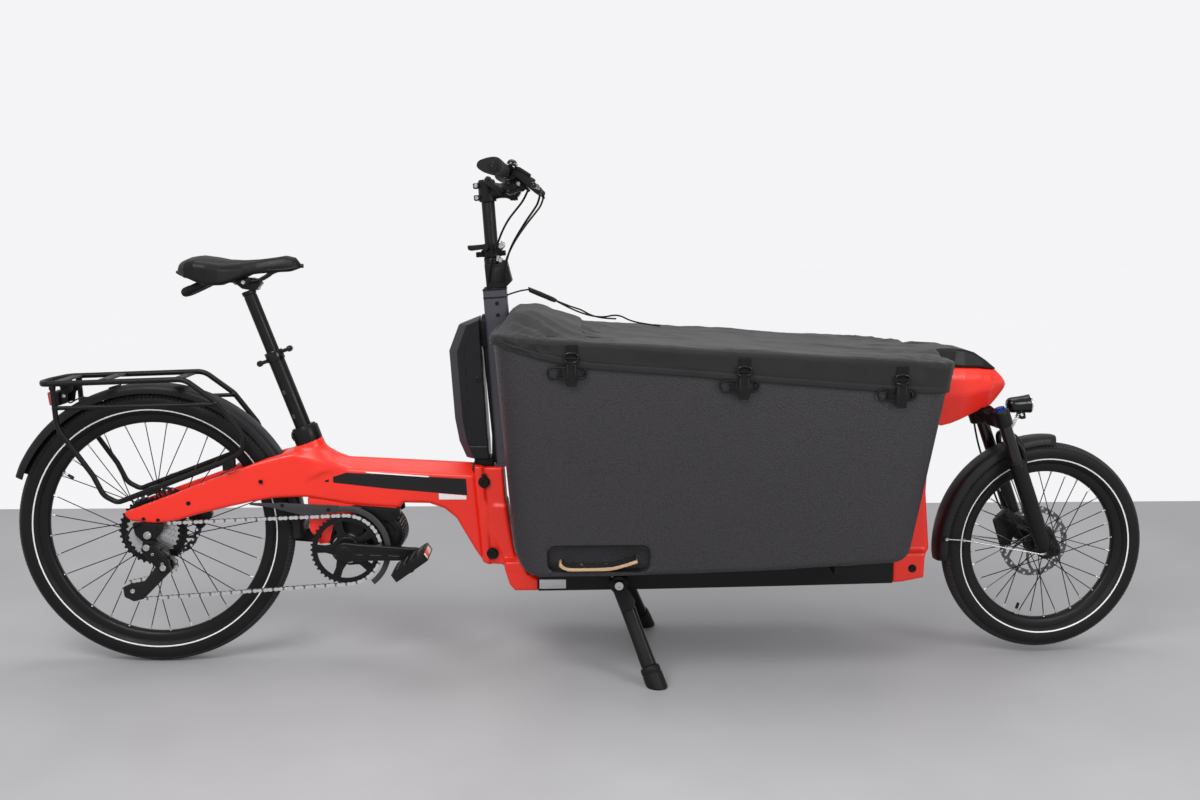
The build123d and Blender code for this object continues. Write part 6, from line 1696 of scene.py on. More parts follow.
def hump(x, y):
    """Raised part of the cover over the mast at the rear, falling away to both sides."""
    hx = np.interp(x, [846, 858, 866, 874, 886, 925, 948, 965, 990, 1004, 1018, 1044, 1080, 1120], [0, 13, 27, 36, 41, 43.5, 41.5, 35, 29, 24.5, 21, 14, 6, 0])
    return hx * smooth((286 - np.abs(y)) / 165)


def nose_rise(x, y):
    """Where the cover rides up over the nose's root."""
    return 21.0 * np.exp(-(((x - 1904) / 50) ** 2)) * smooth((160 - np.abs(y)) / 70)


FOLDS = [((884, 140), (1012, 284), 6.5, 8), ((904, 118), (1070, 246), 5.0, 11), ((878, 205), (962, 290), 6.5, 7.5), ((950, 92), (1130, 205), 3.4, 15),
         ((866, 258), (930, 296), 5.5, 7), ((1004, 64), (1150, 92), 3.0, 17), ((884, 174), (984, 262), -4.5, 7), ((930, 150), (1040, 236), -3.5, 9),
         ((1010, 292), (1130, 240), 3.0, 9), ((1384, 292), (1500, 230), 2.6, 12), ((1374, 292), (1270, 224), 2.2, 12), ((1724, 286), (1620, 205), 2.8, 12),
         ((1734, 286), (1850, 150), 4.2, 11), ((1750, 280), (1866, 205), 3.6, 9), ((1640, 120), (1868, 96), 3.6, 12), ((1700, 40), (1880, 60), 3.0, 10), ((1560, 30), (1760, -30), 2.4, 18)]


def folds(x, y):
    out = 0.0 * x
    for s in (-1, 1):
        for k, (p, q, hgt, w) in enumerate(FOLDS):
            if s > 0 and k % 3 == 2:
                continue
            ax, ay, bx, by = p[0], s * p[1], q[0], s * q[1]
            L2 = (bx - ax) ** 2 + (by - ay) ** 2
            t = ((x - ax) * (bx - ax) + (y - ay) * (by - ay)) / L2
            bow = 7.0 * math.sin(k * 2.3 + s) * np.sin(np.pi * np.clip(t, 0, 1))
            d = ((x - ax) * (by - ay) - (y - ay) * (bx - ax)) / math.sqrt(L2) - bow
            ends = smooth((t + 0.12) / 0.3) * smooth((1.10 - t) / 0.3)
            wd = w * np.where(d > 0, 1.5, 0.75)
            out = out + hgt * np.exp(-((d / wd) ** 2)) * ends
    return out


secs, mats_row = [], []
rings = np.concatenate([np.linspace(0.02, 0.90, 64), np.linspace(0.905, 1.0, 14)[:-1]])
for k in rings:
    x = 1362 + (E[:, 0] - 1362) * k
    y = E[:, 1] * k
    d_edge = (1 - k) * np.hypot(E[:, 0] - 1362, E[:, 1])
    z = cover_top(x) + hump(x, y) + nose_rise(x, y)
    x = x + 55 * smooth((92 - np.abs(y)) / 24) * smooth((x - 1790) / 90)
    # rounded shoulder towards the edge
    R = 13.0
    z = z - (R - np.sqrt(np.maximum(R**2 - np.maximum(R - d_edge, 0) ** 2, 0)))
    secs.append(np.column_stack([x, y, z]))
# skirt, from shoulder to hem, then turned in
front = smooth((92 - np.abs(E[:, 1])) / 24) * (E[:, 0] > 1700)
hem = np.interp(E[:, 0], HEM_X, HEM_Z) + 46 * front
shoulder = cover_top(E[:, 0]) - 13 + nose_rise(E[:, 0], E[:, 1])
SK = 22
for j in range(SK + 1):
    t = j / SK
    z = shoulder + (hem - shoulder) * t
    r_here = np.interp(even_a, np.append(raw, 2 * math.pi), np.append(rr, rr[0]))
    shrink = (cover_top(E[:, 0]) - z) * 27 / 610
    nx, ny = np.cos(even_a), np.sin(even_a)
    ux = (E[:, 0] - 1362) / np.maximum(np.abs(E[:, 0] - 1362), 1) 
    px = E[:, 0] - np.where(np.abs(E[:, 0] - 1362) > 480, np.sign(E[:, 0] - 1362) * (cover_top(E[:, 0]) - z) * np.where(E[:, 0] > 1362, 108, 52) / 610, 0)
    py = E[:, 1] - np.sign(E[:, 1]) * shrink * np.minimum(1, np.abs(E[:, 1]) / 200)
    secs.append(np.column_stack([px + 55 * front, py, z]))
base = np.array(secs)
C = np.array([1362.0, 0, 0])
nrm = np.zeros_like(base)
dr = np.gradient(base, axis=0)
da = np.roll(base, -1, 1) - np.roll(base, 1, 1)
nrm = np.cross(da, dr)
nrm /= np.maximum(np.linalg.norm(nrm, axis=2)[:, :, None], 1e-9)
nrm *= np.sign((nrm * (base - [1362, 0, 500])).sum(2))[:, :, None]
x, y, z = base[:, :, 0], base[:, :, 1], base[:, :, 2]
row = np.arange(len(secs))[:, None] * np.ones((1, NA))
on_top = row < len(rings)
edge_dist = np.where(on_top, (1 - np.append(rings, np.ones(SK + 1))[:, None]) * edge_r[None, :], 0)
# long soft waves across the top, small gathers at the shoulder, creases fanning from the corners
h = 1.6 * wr1(x / 120 + 3, y / 260) + 1.3 * wr2(x / 46 + y / 160, y / 190 + 9)
h += 2.0 * (ridge(wr3, x / 150 + y / 300, y / 85 + x / 600, 6) - 0.25) * smooth(edge_dist / 60)
arc = np.linspace(0, s[-1], NA, endpoint=False)[None, :] * np.ones_like(x)
h += folds(x, y) * smooth(edge_dist / 14)
gather = np.exp(-edge_dist / 26) * (0.9 * wr2(arc / 17, edge_dist / 60 + 2) + 0.6 * wr1(arc / 8.5, edge_dist / 50))
corner = np.exp(-((np.abs(x - 880) / 90) ** 2)) * np.exp(-((np.abs(np.abs(y) - 250) / 80) ** 2)) + np.exp(-((np.abs(x - 1850) / 110) ** 2)) * np.exp(-((np.abs(np.abs(y) - 250) / 80) ** 2))
rear_near = np.exp(-(((x - 925) / 62) ** 2)) * (np.abs(y) > 150)
h += gather + corner * (2.6 * wr3(arc / 13, edge_dist / 70 + 5) + 1.4 * wr1(arc / 6.5, edge_dist / 40))
h += rear_near * np.exp(-edge_dist / 45) * 3.4 * (ridge(wr2, arc / 15 + edge_dist / 60, edge_dist / 44, 3) - 0.35)
step_h = np.exp(-((x - 1035) / 40) ** 2) * (np.abs(y) < 190)
h += step_h * 1.2 * wr2(y / 15, x / 90)
down = (row - len(rings)) / SK
h_skirt = 1.0 * wr1(arc / 70, down * 2.0 + 4) + 0.7 * wr2(arc / 26, down * 1.6) + 0.9 * wr3(arc / 11, down * 1.2) * np.exp(-np.maximum(down, 0) * 3.5)
h_skirt += rear_near * 3.4 * (ridge(wr2, arc / 15, down * 0.9, 3) - 0.35) * smooth((1.0 - down) / 0.35) + rear_near * 1.6 * wr1(arc / 8, down * 2) * smooth((1.05 - down) / 0.3)
h_skirt += 1.3 * np.exp(-(((x - 1800) / 60) ** 2)) * wr3(arc / 16, down * 1.4)
h = np.where(on_top, h, h_skirt)
# the belly sags a little between the rims
sag = -5.0 * smooth(edge_dist / 230) * (x > 1040)
base = base + nrm * h[:, :, None]
base[:, :, 2] += np.where(on_top, sag, 0)
# hem: doubled edge that stands 1.2 mm proud, with a stitched valley above it
stitch = np.abs((shoulder - z) - (shoulder - hem) + 11)
hem_h = np.where((~on_top) & ((z - hem[None, :]) < 12), 1.3, 0.0) - np.where((~on_top) & (np.abs(z - hem[None, :] - 13.0) < 2.0), 0.8, 0)
base = base + nrm * hem_h[:, :, None]
inside = [base[-1] + [0, 0, -0.8] - nrm[-1] * 1.2, base[-1] + [0, 0, 2.0] - nrm[-1] * 2.4, base[-4] - nrm[-4] * 2.2, base[len(rings)] - nrm[len(rings)] * 3.0]
for k in (len(rings) - 8, len(rings) - 14, len(rings) - 26, len(rings) - 44, 0):
    inside.append(base[k] - nrm[k] * 3.0)
allr = np.vstack([base.reshape(-1, 3)] + inside)
n_rows = len(secs) + len(inside)
f, m = [], []
for i in range(n_rows - 1):
    for k in range(NA):
        k2 = (k + 1) % NA
        f.append((i * NA + k, i * NA + k2, (i + 1) * NA + k2, (i + 1) * NA + k))
        # the skirt and the turned-in edge take the darker cloth, painted shade
        m.append(0 if i < len(rings) - 1 else 1)
f.append(tuple(range(NA)))
m.append(0)
f.append(tuple((n_rows - 1) * NA + k for k in range(NA)))
m.append(1)
cover = make("cover_sheet", allr, f, ["cover_cloth", "cover_skirt_painted_shade"], "root", "box_cover", "cover_fabric", fm=m, sharp=60, recalc=True)

# Straps: webbing through an oval ring, hooked over a wire loop on the box wall
STRAPS = [(1003.0, 746.0), (1381.0, 715.0), (1729.0, 695.0)]


def wall_y(z):
    return 272 + 27 * (z - 240) / 610


b = B()
for sx, sz in STRAPS:
    for side in (-1, 1):
        wy = wall_y(sz)
        y = side * (wy + 9.0)
        loop = []
        for cx, a0 in ((29.5, -90), (-29.5, 90)):
            for t in np.radians(np.linspace(a0, a0 + 180, 12)):
                loop.append((sx + cx + 12.6 * math.cos(t), y, sz + 12.6 * math.sin(t)))
        b.add(tube(loop, 2.5, 10, closed=True), 1)
        b.add(tube([(sx - 15, y, sz - 12.6), (sx - 15, y, sz + 12.6)], 2.4, 10), 1)
        b.add(block((sx - 17, side * (wall_y(sz - 7) + 3.6), sz - 7), (7, 9.5, 18), 1.6), 1)
        b.add(block((sx + 36, side * (wall_y(sz) + 3.6), sz - 2), (7, 9.5, 15), 1.6), 1)
        # webbing: from under the hem, through the ring, over the loop, loose end hanging
        cx = sx + 10
        top_z = min(sz + 62, cover_top(cx) - 10)
        path = [(cx + 1, side * (wall_y(top_z) + 8.2), top_z), (cx + 1, side * (wall_y(sz + 40) + 9.0), sz + 40), (cx, side * (wy + 12.6), sz + 22), (cx, side * (wy + 14.2), sz + 4), (cx - 0.5, side * (wy + 13.6), sz - 10), (cx - 1, side * (wy + 12.6), sz - 21)]
        b.add(ribbon(curve(path, 6), (1, 0, 0.03), 25.5, 2.0), 0)
        tip = path[-1]
        tongue = rounded([(tip[0] - 12.6, tip[2] + 4), (tip[0] - 12.0, tip[2] - 7), (tip[0] + 12.6, tip[2] - 9), (tip[0] + 12.6, tip[2] + 4)], 6, 6)
        b.add(prism(tongue, *sorted((side * (abs(tip[1]) - 1.0), side * (abs(tip[1]) + 1.0))), 0.5), 0)
        ring = []
        rz = sz + 34
        for t in np.linspace(0, 2 * math.pi, 36, endpoint=False):
            ring.append((cx + 15.5 * math.copysign(abs(math.cos(t)) ** 0.75, math.cos(t)), side * (wall_y(rz) + 12.2 + 1.0 * math.sin(t)), rz + 10.5 * math.copysign(abs(math.sin(t)) ** 0.8, math.sin(t))))
        b.add(tube(ring, 2.5, 10, closed=True), 2)
        b.add(tube([(cx - 15, side * (wall_y(rz) + 13.0), rz - 1), (cx + 15, side * (wall_y(rz) + 13.0), rz - 1)], 2.0, 10), 2)
        for du in (-9, 9):
            for dz in (0.0,):
                b.add(block((cx + du, side * (wy + 14.9), sz + 8), (0.9, 0.7, 22), 0.2), 3)
b.make("strap_sets", ["webbing", "frame_black", "alloy_gloss", "guard_grey"], "root", replaces="cover_straps", slot="webbing")

# Buckle and tail of the cord that ties the cover to the mast
b = B()
b.add(tube(curve([(858, 0, 899), (874, 0, 904.5), (894, 0, 910), (914, 0, 913.0)], 6), 4.6, 10, flat=0.42, up=(0, 0, 1)), 0)


def buckle_f(X, Y, Z):
    a = poly(X, Z, [(910, 919), (940, 907), (972, 893), (979, 888.5), (975, 881.5), (966, 884), (912, 907)])
    w = np.interp(X, [910, 922, 940, 952, 966, 979], [9.5, 12.5, 12.5, 10.5, 12.0, 8.0])
    f = rmax(a, np.abs(Y) - w, 2.4)
    slot_ = np.maximum(np.maximum(np.abs(X - 945) - 9, np.abs(np.abs(Y) - 7.2) - 1.4), -50 + 0 * Z)
    return np.maximum(f, -slot_)


b.add(nets(buckle_f, (904, -16, 876), (984, 16, 924), 1.3), 1)
b.make("tie_buckle", ["webbing", "plastic_black"], "root", replaces="cover_buckle", slot="webbing", sharp=40)

# ---------------------------------------------------------------------------
# Saddle, seat post, clamp, collar
# ---------------------------------------------------------------------------
PLAN_X = [84, 88, 96, 115, 140, 165, 190, 215, 240, 270, 300, 330, 352, 362, 368]
PLAN_W = [14, 40, 60, 78, 86, 82, 72, 56, 42, 31, 24.5, 21, 18.5, 15, 7]
TOP_X = [82, 90, 100, 120, 139, 170, 200, 235, 271, 305, 336, 358, 369]
TOP_Z = [964, 977, 985, 993, 996, 992, 986.5, 985.5, 988, 992.5, 995.5, 990, 976]
BOT_X = [82, 110, 165, 208, 277, 345, 369]
BOT_Z = [955, 944, 946, 950, 955, 957, 965]


def saddle_f(X, Y, Z):
    w = np.interp(X, PLAN_X, PLAN_W)
    top = np.interp(X, TOP_X, TOP_Z)
    bot = np.interp(X, BOT_X, BOT_Z)
    u = np.clip(np.abs(Y) / np.maximum(w, 1), 0, 1.3)
    wing = smooth((X - 100) / 60) * 0 + np.interp(X, [84, 140, 240, 369], [6, 9, 10, 8])
    crown = top - wing * u**2 - np.interp(X, [84, 200, 369], [9, 7, 7]) * u**6
    dip = 3.2 * np.exp(-(Y / 9.5) ** 2) * smooth((X - 120) / 60) * smooth((352 - X) / 60)
    skirt_low = bot + np.interp(X, [84, 120, 165, 200, 225, 250, 369], [6, 0, -19, -22, -14, -4, 0]) * smooth((u - 0.45) / 0.45)
    f = rmax(rmax((Z - (crown - dip)) * 0.93, skirt_low - Z, 6), (np.abs(Y) - w) * np.interp(X, [84, 140, 200, 260, 369], [0.6, 0.95, 0.75, 0.85, 0.95]), 9)
    return f


v, f = nets(saddle_f, (78, -92, 924), (374, 92, 1002), 2.9)
sad = make("saddle_pad", v, f, "saddle_leather", "root", "saddle", "saddle_cover", sharp=None)

b = B()
# base shell rim, rails, rear carrying handle with rubber ridges
base_line = [(x, s * w * 0.90, np.interp(x, BOT_X, BOT_Z) + 6) for s in (1,) for x, w in zip(PLAN_X[1:-1], PLAN_W[1:-1])]
base_loop = base_line + [(x, -y, z) for x, y, z in reversed(base_line)]
b.add(tube(curve(base_loop, 3, closed=True), 3.0, 8, closed=True), 0)
for s in (-1, 1):
    rail = curve([(118, s * 34, 958), (132, s * 27, 953), (150, s * 22, 948), (175, s * 22, 941), (200, s * 22, 936), (262, s * 22, 936), (284, s * 20, 944), (300, s * 16, 954), (326, s * 10, 962)], 6)
    b.add(tube(rail, 3.5, 12), 1)
hd = curve([(166, -22, 942), (158, -24, 937), (136, -26, 926), (112, -24, 915), (99, -13, 910), (96, 0, 909), (99, 13, 910), (112, 24, 915), (136, 26, 926), (158, 24, 937), (166, 22, 942)], 6)
b.add(tube(hd, 10.2, 16), 0)
for t in np.linspace(0.30, 0.70, 13):
    i = int(t * (len(hd) - 1))
    d = hd[i + 1] - hd[i - 1]
    d /= np.linalg.norm(d)
    b.add(lathe([(9.8, -1.5), (11.2, -0.9), (11.2, 0.9), (9.8, 1.5)], hd[i], d, 20, cap=False), 2)
b.make("saddle_underside", ["plastic_black", "frame_black", "rubber"], "root", slot="black_plastic")

b = B()
b.add(lathe([(19.3, -104), (19.3, 0.5), (18.6, 1.6), (15.7, 1.6)], (0, 0, 0), (0, 0, 1), 48, cap=False), 0, lambda v: seat(v + [0, 0, 0]))
b.add(lathe([(15.7, 58), (15.7, 330), (15.0, 338), (0.01, 338)], (0, 0, 0), (0, 0, 1), 48, cap=False), 0, seat)
b.add(lathe([(19.3, -104), (19.3, 176), (18.4, 180), (15.7, 180)], (0, 0, 0), (0, 0, 1), 48, cap=False), 0, seat)
b.add(lathe([(0.01, -104), (19.3, -104)], (0, 0, 0), (0, 0, 1), 48, cap=False), 0, seat)
# height-stop ears with holes
ear = [(ahead, al) for ahead, al in ((-8, 0),)]
b.add(lathe([(15.9, 170), (21.5, 170), (22.2, 171.5), (22.2, 192), (21.5, 193.5), (15.9, 193.5)], (0, 0, 0), (0, 0, 1), 48, closed=True), 1, seat)
for s in (-1, 1):
    b.add(block((s * 30, 0, 181 + s * 5), (26, 15, 9), 2.0), 1, seat)
    b.add(lathe([(3.4, -6.5), (6.8, -6.5), (7.4, -5.4), (7.4, 5.4), (6.8, 6.5), (3.4, 6.5)], (s * 40, 0, 181 + s * 5), (0, 1, 0), 28, closed=True), 1, seat)
for i, al in enumerate((30, 92)):
    b.add(block((19.1 * math.sin(math.radians(-18)), -19.1 * math.cos(math.radians(-18)), al), (11, 0.8, 11), 0.3), 2, seat)
b.make("seat_post", ["alloy_black", "alloy_gloss", "guard_grey"], "root", replaces="seatpost", slot="alloy_black")

b = B()
b.add(lathe([(19.3, -39.8), (33.0, -39.8), (33.5, -38), (33.5, -7), (32.6, -5), (29.6, -4), (29.2, -1), (28.2, 0), (19.3, 0)], (0, 0, 0), (0, 0, 1), 56, closed=True), 0, seat)
b.add(block((-31, 0, -18), (8, 18, 18), 2.5), 0, seat)
b.add(bolt(seat((-31, -9, -18)), (0, -1, 0), 4.0, 2), 1)
b.make("seat_collar_ring", ["alloy_black", "screw_black"], "root", replaces="seat_collar", slot="alloy_black")

b = B()
b.add(prism(rounded([(206, 938), (232, 917), (262, 912), (278, 930), (262, 941), (230, 944)], 5), -17, 17, 2.0), 0)
b.add(lathe([(0.01, 338.2), (15.5, 338.2), (17, 339.5), (17, 347), (15.5, 348.2), (0.01, 348.2)], (0, 0, 0), (0, 0, 1), 40), 0, seat)
b.add(block((236, 0, 938.5), (26, 52, 6), 2.0), 0)
for s in (-1, 1):
    b.add(prism(rounded([(216, 942), (226, 928), (250, 927), (258, 942)], 4), *sorted((s * 17, s * 27)), 1.5), 0)
    b.add(bolt((238, s * 26, 933), (0, s, 0), 5.0, 3.0), 1)
b.add(bolt((214, 0, 932), (-0.6, 0, -0.8), 4.4, 6.0), 1)
b.add(bolt((266, 0, 920), (0.5, 0, -0.86), 4.4, 6.0), 1)
b.make("seat_post_head", ["alloy_black", "steel"], "root", replaces="seat_clamp", slot="black_metal")

# ---------------------------------------------------------------------------
# Rear rack, tail light, mudguards
# ---------------------------------------------------------------------------


def bend(points, radii, n=7):
    """Polyline with its corners rounded to the given radii, for bent metal tube."""
    p = [np.asarray(q, float) for q in points]
    out = [p[0]]
    for i in range(1, len(p) - 1):
        u, w = p[i - 1] - p[i], p[i + 1] - p[i]
        lu, lw = np.linalg.norm(u), np.linalg.norm(w)
        u, w = u / lu, w / lw
        half = math.acos(max(-1, min(1, u @ w))) / 2
        r = radii[i - 1] if hasattr(radii, "__len__") else radii
        d = min(r / max(math.tan(half), 1e-6), 0.48 * lu, 0.48 * lw)
        for t in np.linspace(0, 1, n):
            out.append((1 - t) ** 2 * (p[i] + u * d) + 2 * t * (1 - t) * p[i] + t * t * (p[i] + w * d))
    out.append(p[-1])
    return np.array(out)


b = B()
RY = 80.0
half_loop = [(-52, 420), (190, 512), (236, 538), (236, 575), (176, 655), (105, 709), (-225, 699)]
hoop = [(x, -RY, z) for x, z in half_loop] + [(-249, -24, 696), (-249, 24, 696)] + [(x, RY, z) for x, z in reversed(half_loop)]
b.add(tube(bend(hoop, (30, 44, 44, 44, 50, 26, 22, 22, 26, 50, 44, 44, 44, 30), 10), 6.6, 16), 0)
for s in (-1, 1):
    y = s * RY
    b.add(tube(bend([(-40, y, 424.6), (-66, y, 414.7), (-98, y, 432), (-120, y, 480), (-198, y, 596), (-203, y, 696)], (22, 40, 40, 60), 10), 6.2, 16), 0)
    b.add(tube([(-199, y, 642), (-10, y, 646), (176, y, 650)], 5.0, 14), 0)
    for x, z0, z1 in ((20, 436, 455), (200, 494, 520)):
        b.add(prism(rounded([(x - 14, z0 - 5), (x + 14, z0 + 4), (x + 14, z1 + 4), (x - 14, z1 - 5)], 3), *((y - 5, y + 12) if s < 0 else (y - 12, y + 5)), 1.5), 1)
        b.add(bolt((x, y + s * 5, z0 + 9), (0, s, 0), 5.5, 3, washer=1), 2)
    for x, z in ((-203, 690), (-199, 642), (176, 652)):
        b.add(lathe([(6.4, -5), (7.6, -3.5), (7.6, 3.5), (6.4, 5)], (x, y, z), (0.1, 0, 1) if x < 0 else (1, 0, 0), 20, cap=False), 0)
for x, z in ((-200, 701), (-93, 705), (75, 705)):
    v, f = prism(rounded([(x - 13, z - 2), (x + 13, z - 2), (x + 13, z + 2), (x - 13, z + 2)], 1.6, 3), -RY, RY, 0.4, 1)
    b.add((v, f), 0)
for x in (-93, 75):
    for y in (-50, 50):
        b.add(lathe([(3.1, 2.0), (6.0, 2.0), (6.4, 2.3), (6.0, 2.6), (3.1, 2.6)], (x, y, 705), (0, 0, 1), 24, closed=True), 2)
b.make("rack_tubes", ["frame_black", "plastic_black", "screw_black"], "root", replaces="rear_rack", slot="black_metal")

b = B()
b.add(prism(rounded([(-236, 673), (-222, 674.5), (-222, 640.5), (-232, 642)], 3), -32, 32, 2.0, 3), 0)
b.add(prism(rounded([(-223, 674.5), (-208, 674), (-208, 641), (-223, 640)], 3), -33, 33, 2.0), 1)
b.add(prism(rounded([(-208.2, 668), (-190, 696), (-194, 700), (-212, 700), (-216, 689), (-212, 674)], 3), -10, 10, 1.5), 2)
for y in (-20, 0, 20):
    b.add(lathe([(0.01, 0), (5.0, 0), (6.0, -1.2), (6.4, -2.6)], (-235.0, y, 659), (-1, 0, 0.1), 20, cap=False), 3)
for y in (-26, 26):
    b.add(prism(rounded([(-208, 672), (-188, 690), (-176, 690), (-178, 676), (-190, 668), (-194, 646), (-208, 643)], 3), y - 1.6, y + 1.6, 0.6), 2)
    b.add(bolt((-198, y + math.copysign(1.6, y), 664), (0, math.copysign(1, y), 0), 4.4, 2.2), 3)
b.add(tube(curve([(-208, 8, 652), (-200, 10, 642), (-190, 24, 648), (-186, 60, 650)], 6), 1.8, 8), 4)
b.make("tail_lamp", ["red_lens", "plastic_black", "frame_black", "steel", "hose"], "root", replaces="tail_light", slot="lens_red")


def guard(b, x, z, outer, half, start, sweep, m=0):
    sec = [(-half, -22), (-half + 0.3, -12), (-half + 3.5, -5), (-half + 8, -2.2), (-half + 13, -0.8), (-half + 20, 0), (half - 20, 0), (half - 13, -0.8), (half - 8, -2.2), (half - 3.5, -5), (half - 0.3, -12), (half, -22),
           (half - 1.9, -22), (half - 2.2, -12.6), (half - 5, -6.4), (half - 9, -4.0), (half - 14, -2.6), (half - 20, -2), (-half + 20, -2), (-half + 14, -2.6), (-half + 9, -4.0), (-half + 5, -6.4), (-half + 2.2, -12.6), (-half + 1.9, -22)]
    n = 120
    a = np.radians(start - sweep * np.arange(n + 1) / n)
    taper = np.minimum(1, 0.80 + 0.20 * np.minimum(np.arange(n + 1), n - np.arange(n + 1)) / 4.0)
    v = np.vstack([np.stack([x + (outer + r) * np.cos(a), y * taper, z + (outer + r) * np.sin(a)], 1) for y, r in sec])
    k = n + 1
    f = [(i * k + j, i * k + j + 1, ((i + 1) % len(sec)) * k + j + 1, ((i + 1) % len(sec)) * k + j) for i in range(len(sec)) for j in range(n)]
    f += [tuple(i * k for i in range(len(sec))), tuple(i * k + n for i in range(len(sec)))]
    b.add((v, f), m)


b = B()
guard(b, 0, 334.5, 357, 34, 158, 162)
b.add(bolt((0, 0, 334.5 + 357), (0, 0, 1), 5, 2.2, washer=2), 1)
b.add(prism(rounded([(346, 330), (354, 330), (362, 372), (352, 372)], 2), -12, 12, 1), 0)
a = math.radians(104)
b.add(block((357 * math.cos(a), 0, 334.5 + 358.5 * math.sin(a)), (22, 30, 4), 1.2, roty(-14)), 0)
b.make("rear_guard", ["mudguard_black", "screw_black"], "root", replaces="rear_mudguard", slot="black_plastic")

b = B()
b.add(prism(rounded([(52, 364), (112, 379.5), (118, 352), (92, 318), (66, 330)], 7), 59.2, 65, 2.0), 0)
b.add(prism(rounded([(52, 364), (112, 379.5), (118, 352), (92, 318), (66, 330)], 7), 46, 51.0, 2.0), 0)
b.add(prism(rounded([(92, 372), (112, 378), (118, 352), (104, 340)], 4), 50, 60, 1.0), 0)
b.add(prism(rounded([(70, 366), (112, 377), (108, 366), (78, 356)], 3), 65, 73, 2.0), 0)
b.add(bolt((84, 65, 340), (0, 1, 0), 9, 3), 1)
b.add(bolt((72, 73, 362), (0, 1, 0), 4.4, 3), 1)
b.add(bolt((106, 73, 371), (0, 1, 0), 4.4, 3), 1)
b.add(tube(curve([(112, 60, 372), (132, 60, 382), (160, 61, 394), (196, 62, 410), (226, 60, 418)], 6), 2.5, 10), 2)
b.make("rear_brake_caliper", ["alloy_black", "screw_black", "hose"], "root", replaces="rear_caliper", slot="alloy_black")

# ---------------------------------------------------------------------------
# Centre stand
# ---------------------------------------------------------------------------
b = B()
SX, SZ = 1123.0, 222.0
b.add(cyl((SX, -138, SZ), (SX, 138, SZ), 8, 28), 2)
for s in (-1, 1):
    b.add(lathe([(8, 0), (21, 0), (22, 1.5), (22, 33), (20, 35), (9, 35)], (SX, s * 111, SZ), (0, s, 0), 40, cap=False), 0)
    top = np.array([SX + 4, s * 130, SZ - 12])
    end = np.array([SX + 85 * 0.80, s * (128 + 97 * 0.80), SZ - 222 * 0.80])
    d = (end - top) / np.linalg.norm(end - top)
    L = np.linalg.norm(end - top)
    u = np.cross(d, [0, 1, 0])
    u /= np.linalg.norm(u)
    w = np.cross(d, u)
    secs = []
    for t, ru, rw in ((-0.10, 12, 14), (-0.06, 17, 17), (0.0, 19, 18.5), (0.12, 18.6, 17.5), (0.35, 17.5, 15.5), (0.7, 17.5, 15.5), (0.92, 18.2, 16.5), (1.0, 18.2, 16.5)):
        a = np.linspace(0, 2 * np.pi, 40, endpoint=False)
        sq = lambda c: np.sign(c) * np.abs(c) ** 0.72
        secs.append(top + d * L * t + (sq(np.cos(a)) * ru)[:, None] * u + (sq(np.sin(a)) * rw)[:, None] * w)
    b.add(stack(secs), 0)
    b.add(lathe([(0.01, 0.2), (7.5, 0.2), (9.5, 1.0), (10.5, 3.4), (9.8, 4.4), (4.2, 4.4), (3.8, 3.0), (0.01, 3.0)][::-1], (SX, s * 151, SZ), (0, s, 0), 32, cap=False), 1)
    b.add(cyl((SX - 12, s * 119, SZ + 14), (SX - 12, s * 127, SZ + 14), 6, 20), 1)
    b.add(prism(rounded([(SX - 16, SZ + 11), (SX + 12, SZ + 11), (SX + 21, SZ - 8), (SX + 38, SZ - 34), (SX + 35, SZ - 50), (SX + 4, SZ - 56), (SX - 5, SZ - 20)], 5), -2.2, 2.2, 1.0), 0, lambda v, s=s: v + np.stack([v[:, 1] * 0, s * (149.5 + 0.46 * np.maximum(SZ - 8 - v[:, 2], 0)), v[:, 1] * 0], 1))
    b.add(prism(rounded([(SX - 20, SZ + 2), (SX - 8, SZ + 22), (SX + 12, SZ + 16), (SX + 22, SZ - 6), (SX + 14, SZ - 40), (SX - 2, SZ - 36)], 8), *sorted((s * 107, s * 112)), 1.2), 0)
b.make("stand_leg_pair", ["frame_black", "steel", "screw_black"], "stand", replaces="stand_legs", slot="black_metal")

b = B()
for s in (-1, 1):
    top = np.array([SX + 85 * 0.80, s * (128 + 97 * 0.80), SZ - 222 * 0.80])
    end = np.array([1208 + 1.0, s * (225 + 1.0), 0.0])
    d = (end - top) / np.linalg.norm(end - top)
    L = np.linalg.norm(end - top)
    u = np.cross(d, [0, 1, 0])
    u /= np.linalg.norm(u)
    w = np.cross(d, u)
    a = np.linspace(0, 2 * np.pi, 44, endpoint=False)
    secs = []
    for t, r in ((0.02, 19.4), (0.06, 22.4), (0.14, 23.4), (0.30, 23.4), (0.33, 22.2), (0.36, 22.2), (0.39, 23.6), (0.70, 23.8), (0.78, 23.8)):
        secs.append(top + d * L * t + (np.cos(a) * r)[:, None] * u + (np.sin(a) * r)[:, None] * w)
        secs[-1][:, 2] = np.maximum(secs[-1][:, 2], 3.0)
    last = secs[-1].copy()
    flat = last + d * ((4.0 - last[:, 2]) / d[2])[:, None]
    flat[:, 2] = np.maximum(flat[:, 2], 4.0)
    secs.append(flat)
    c = flat.mean(0)
    sole = c + (flat - c) * 0.92
    sole[:, 2] = 0.0
    secs.append(sole)
    b.add(stack(secs), 0)
b.make("stand_foot_pair", ["rubber"], "stand", replaces="stand_feet", slot="rubber")

# ---------------------------------------------------------------------------
# Suspension fork, front mudguard, lamp, brake (all turned with the fork)
# ---------------------------------------------------------------------------
LEG_Y, OFF = 66.0, 28.0
AXLE_ALONG = -388.0


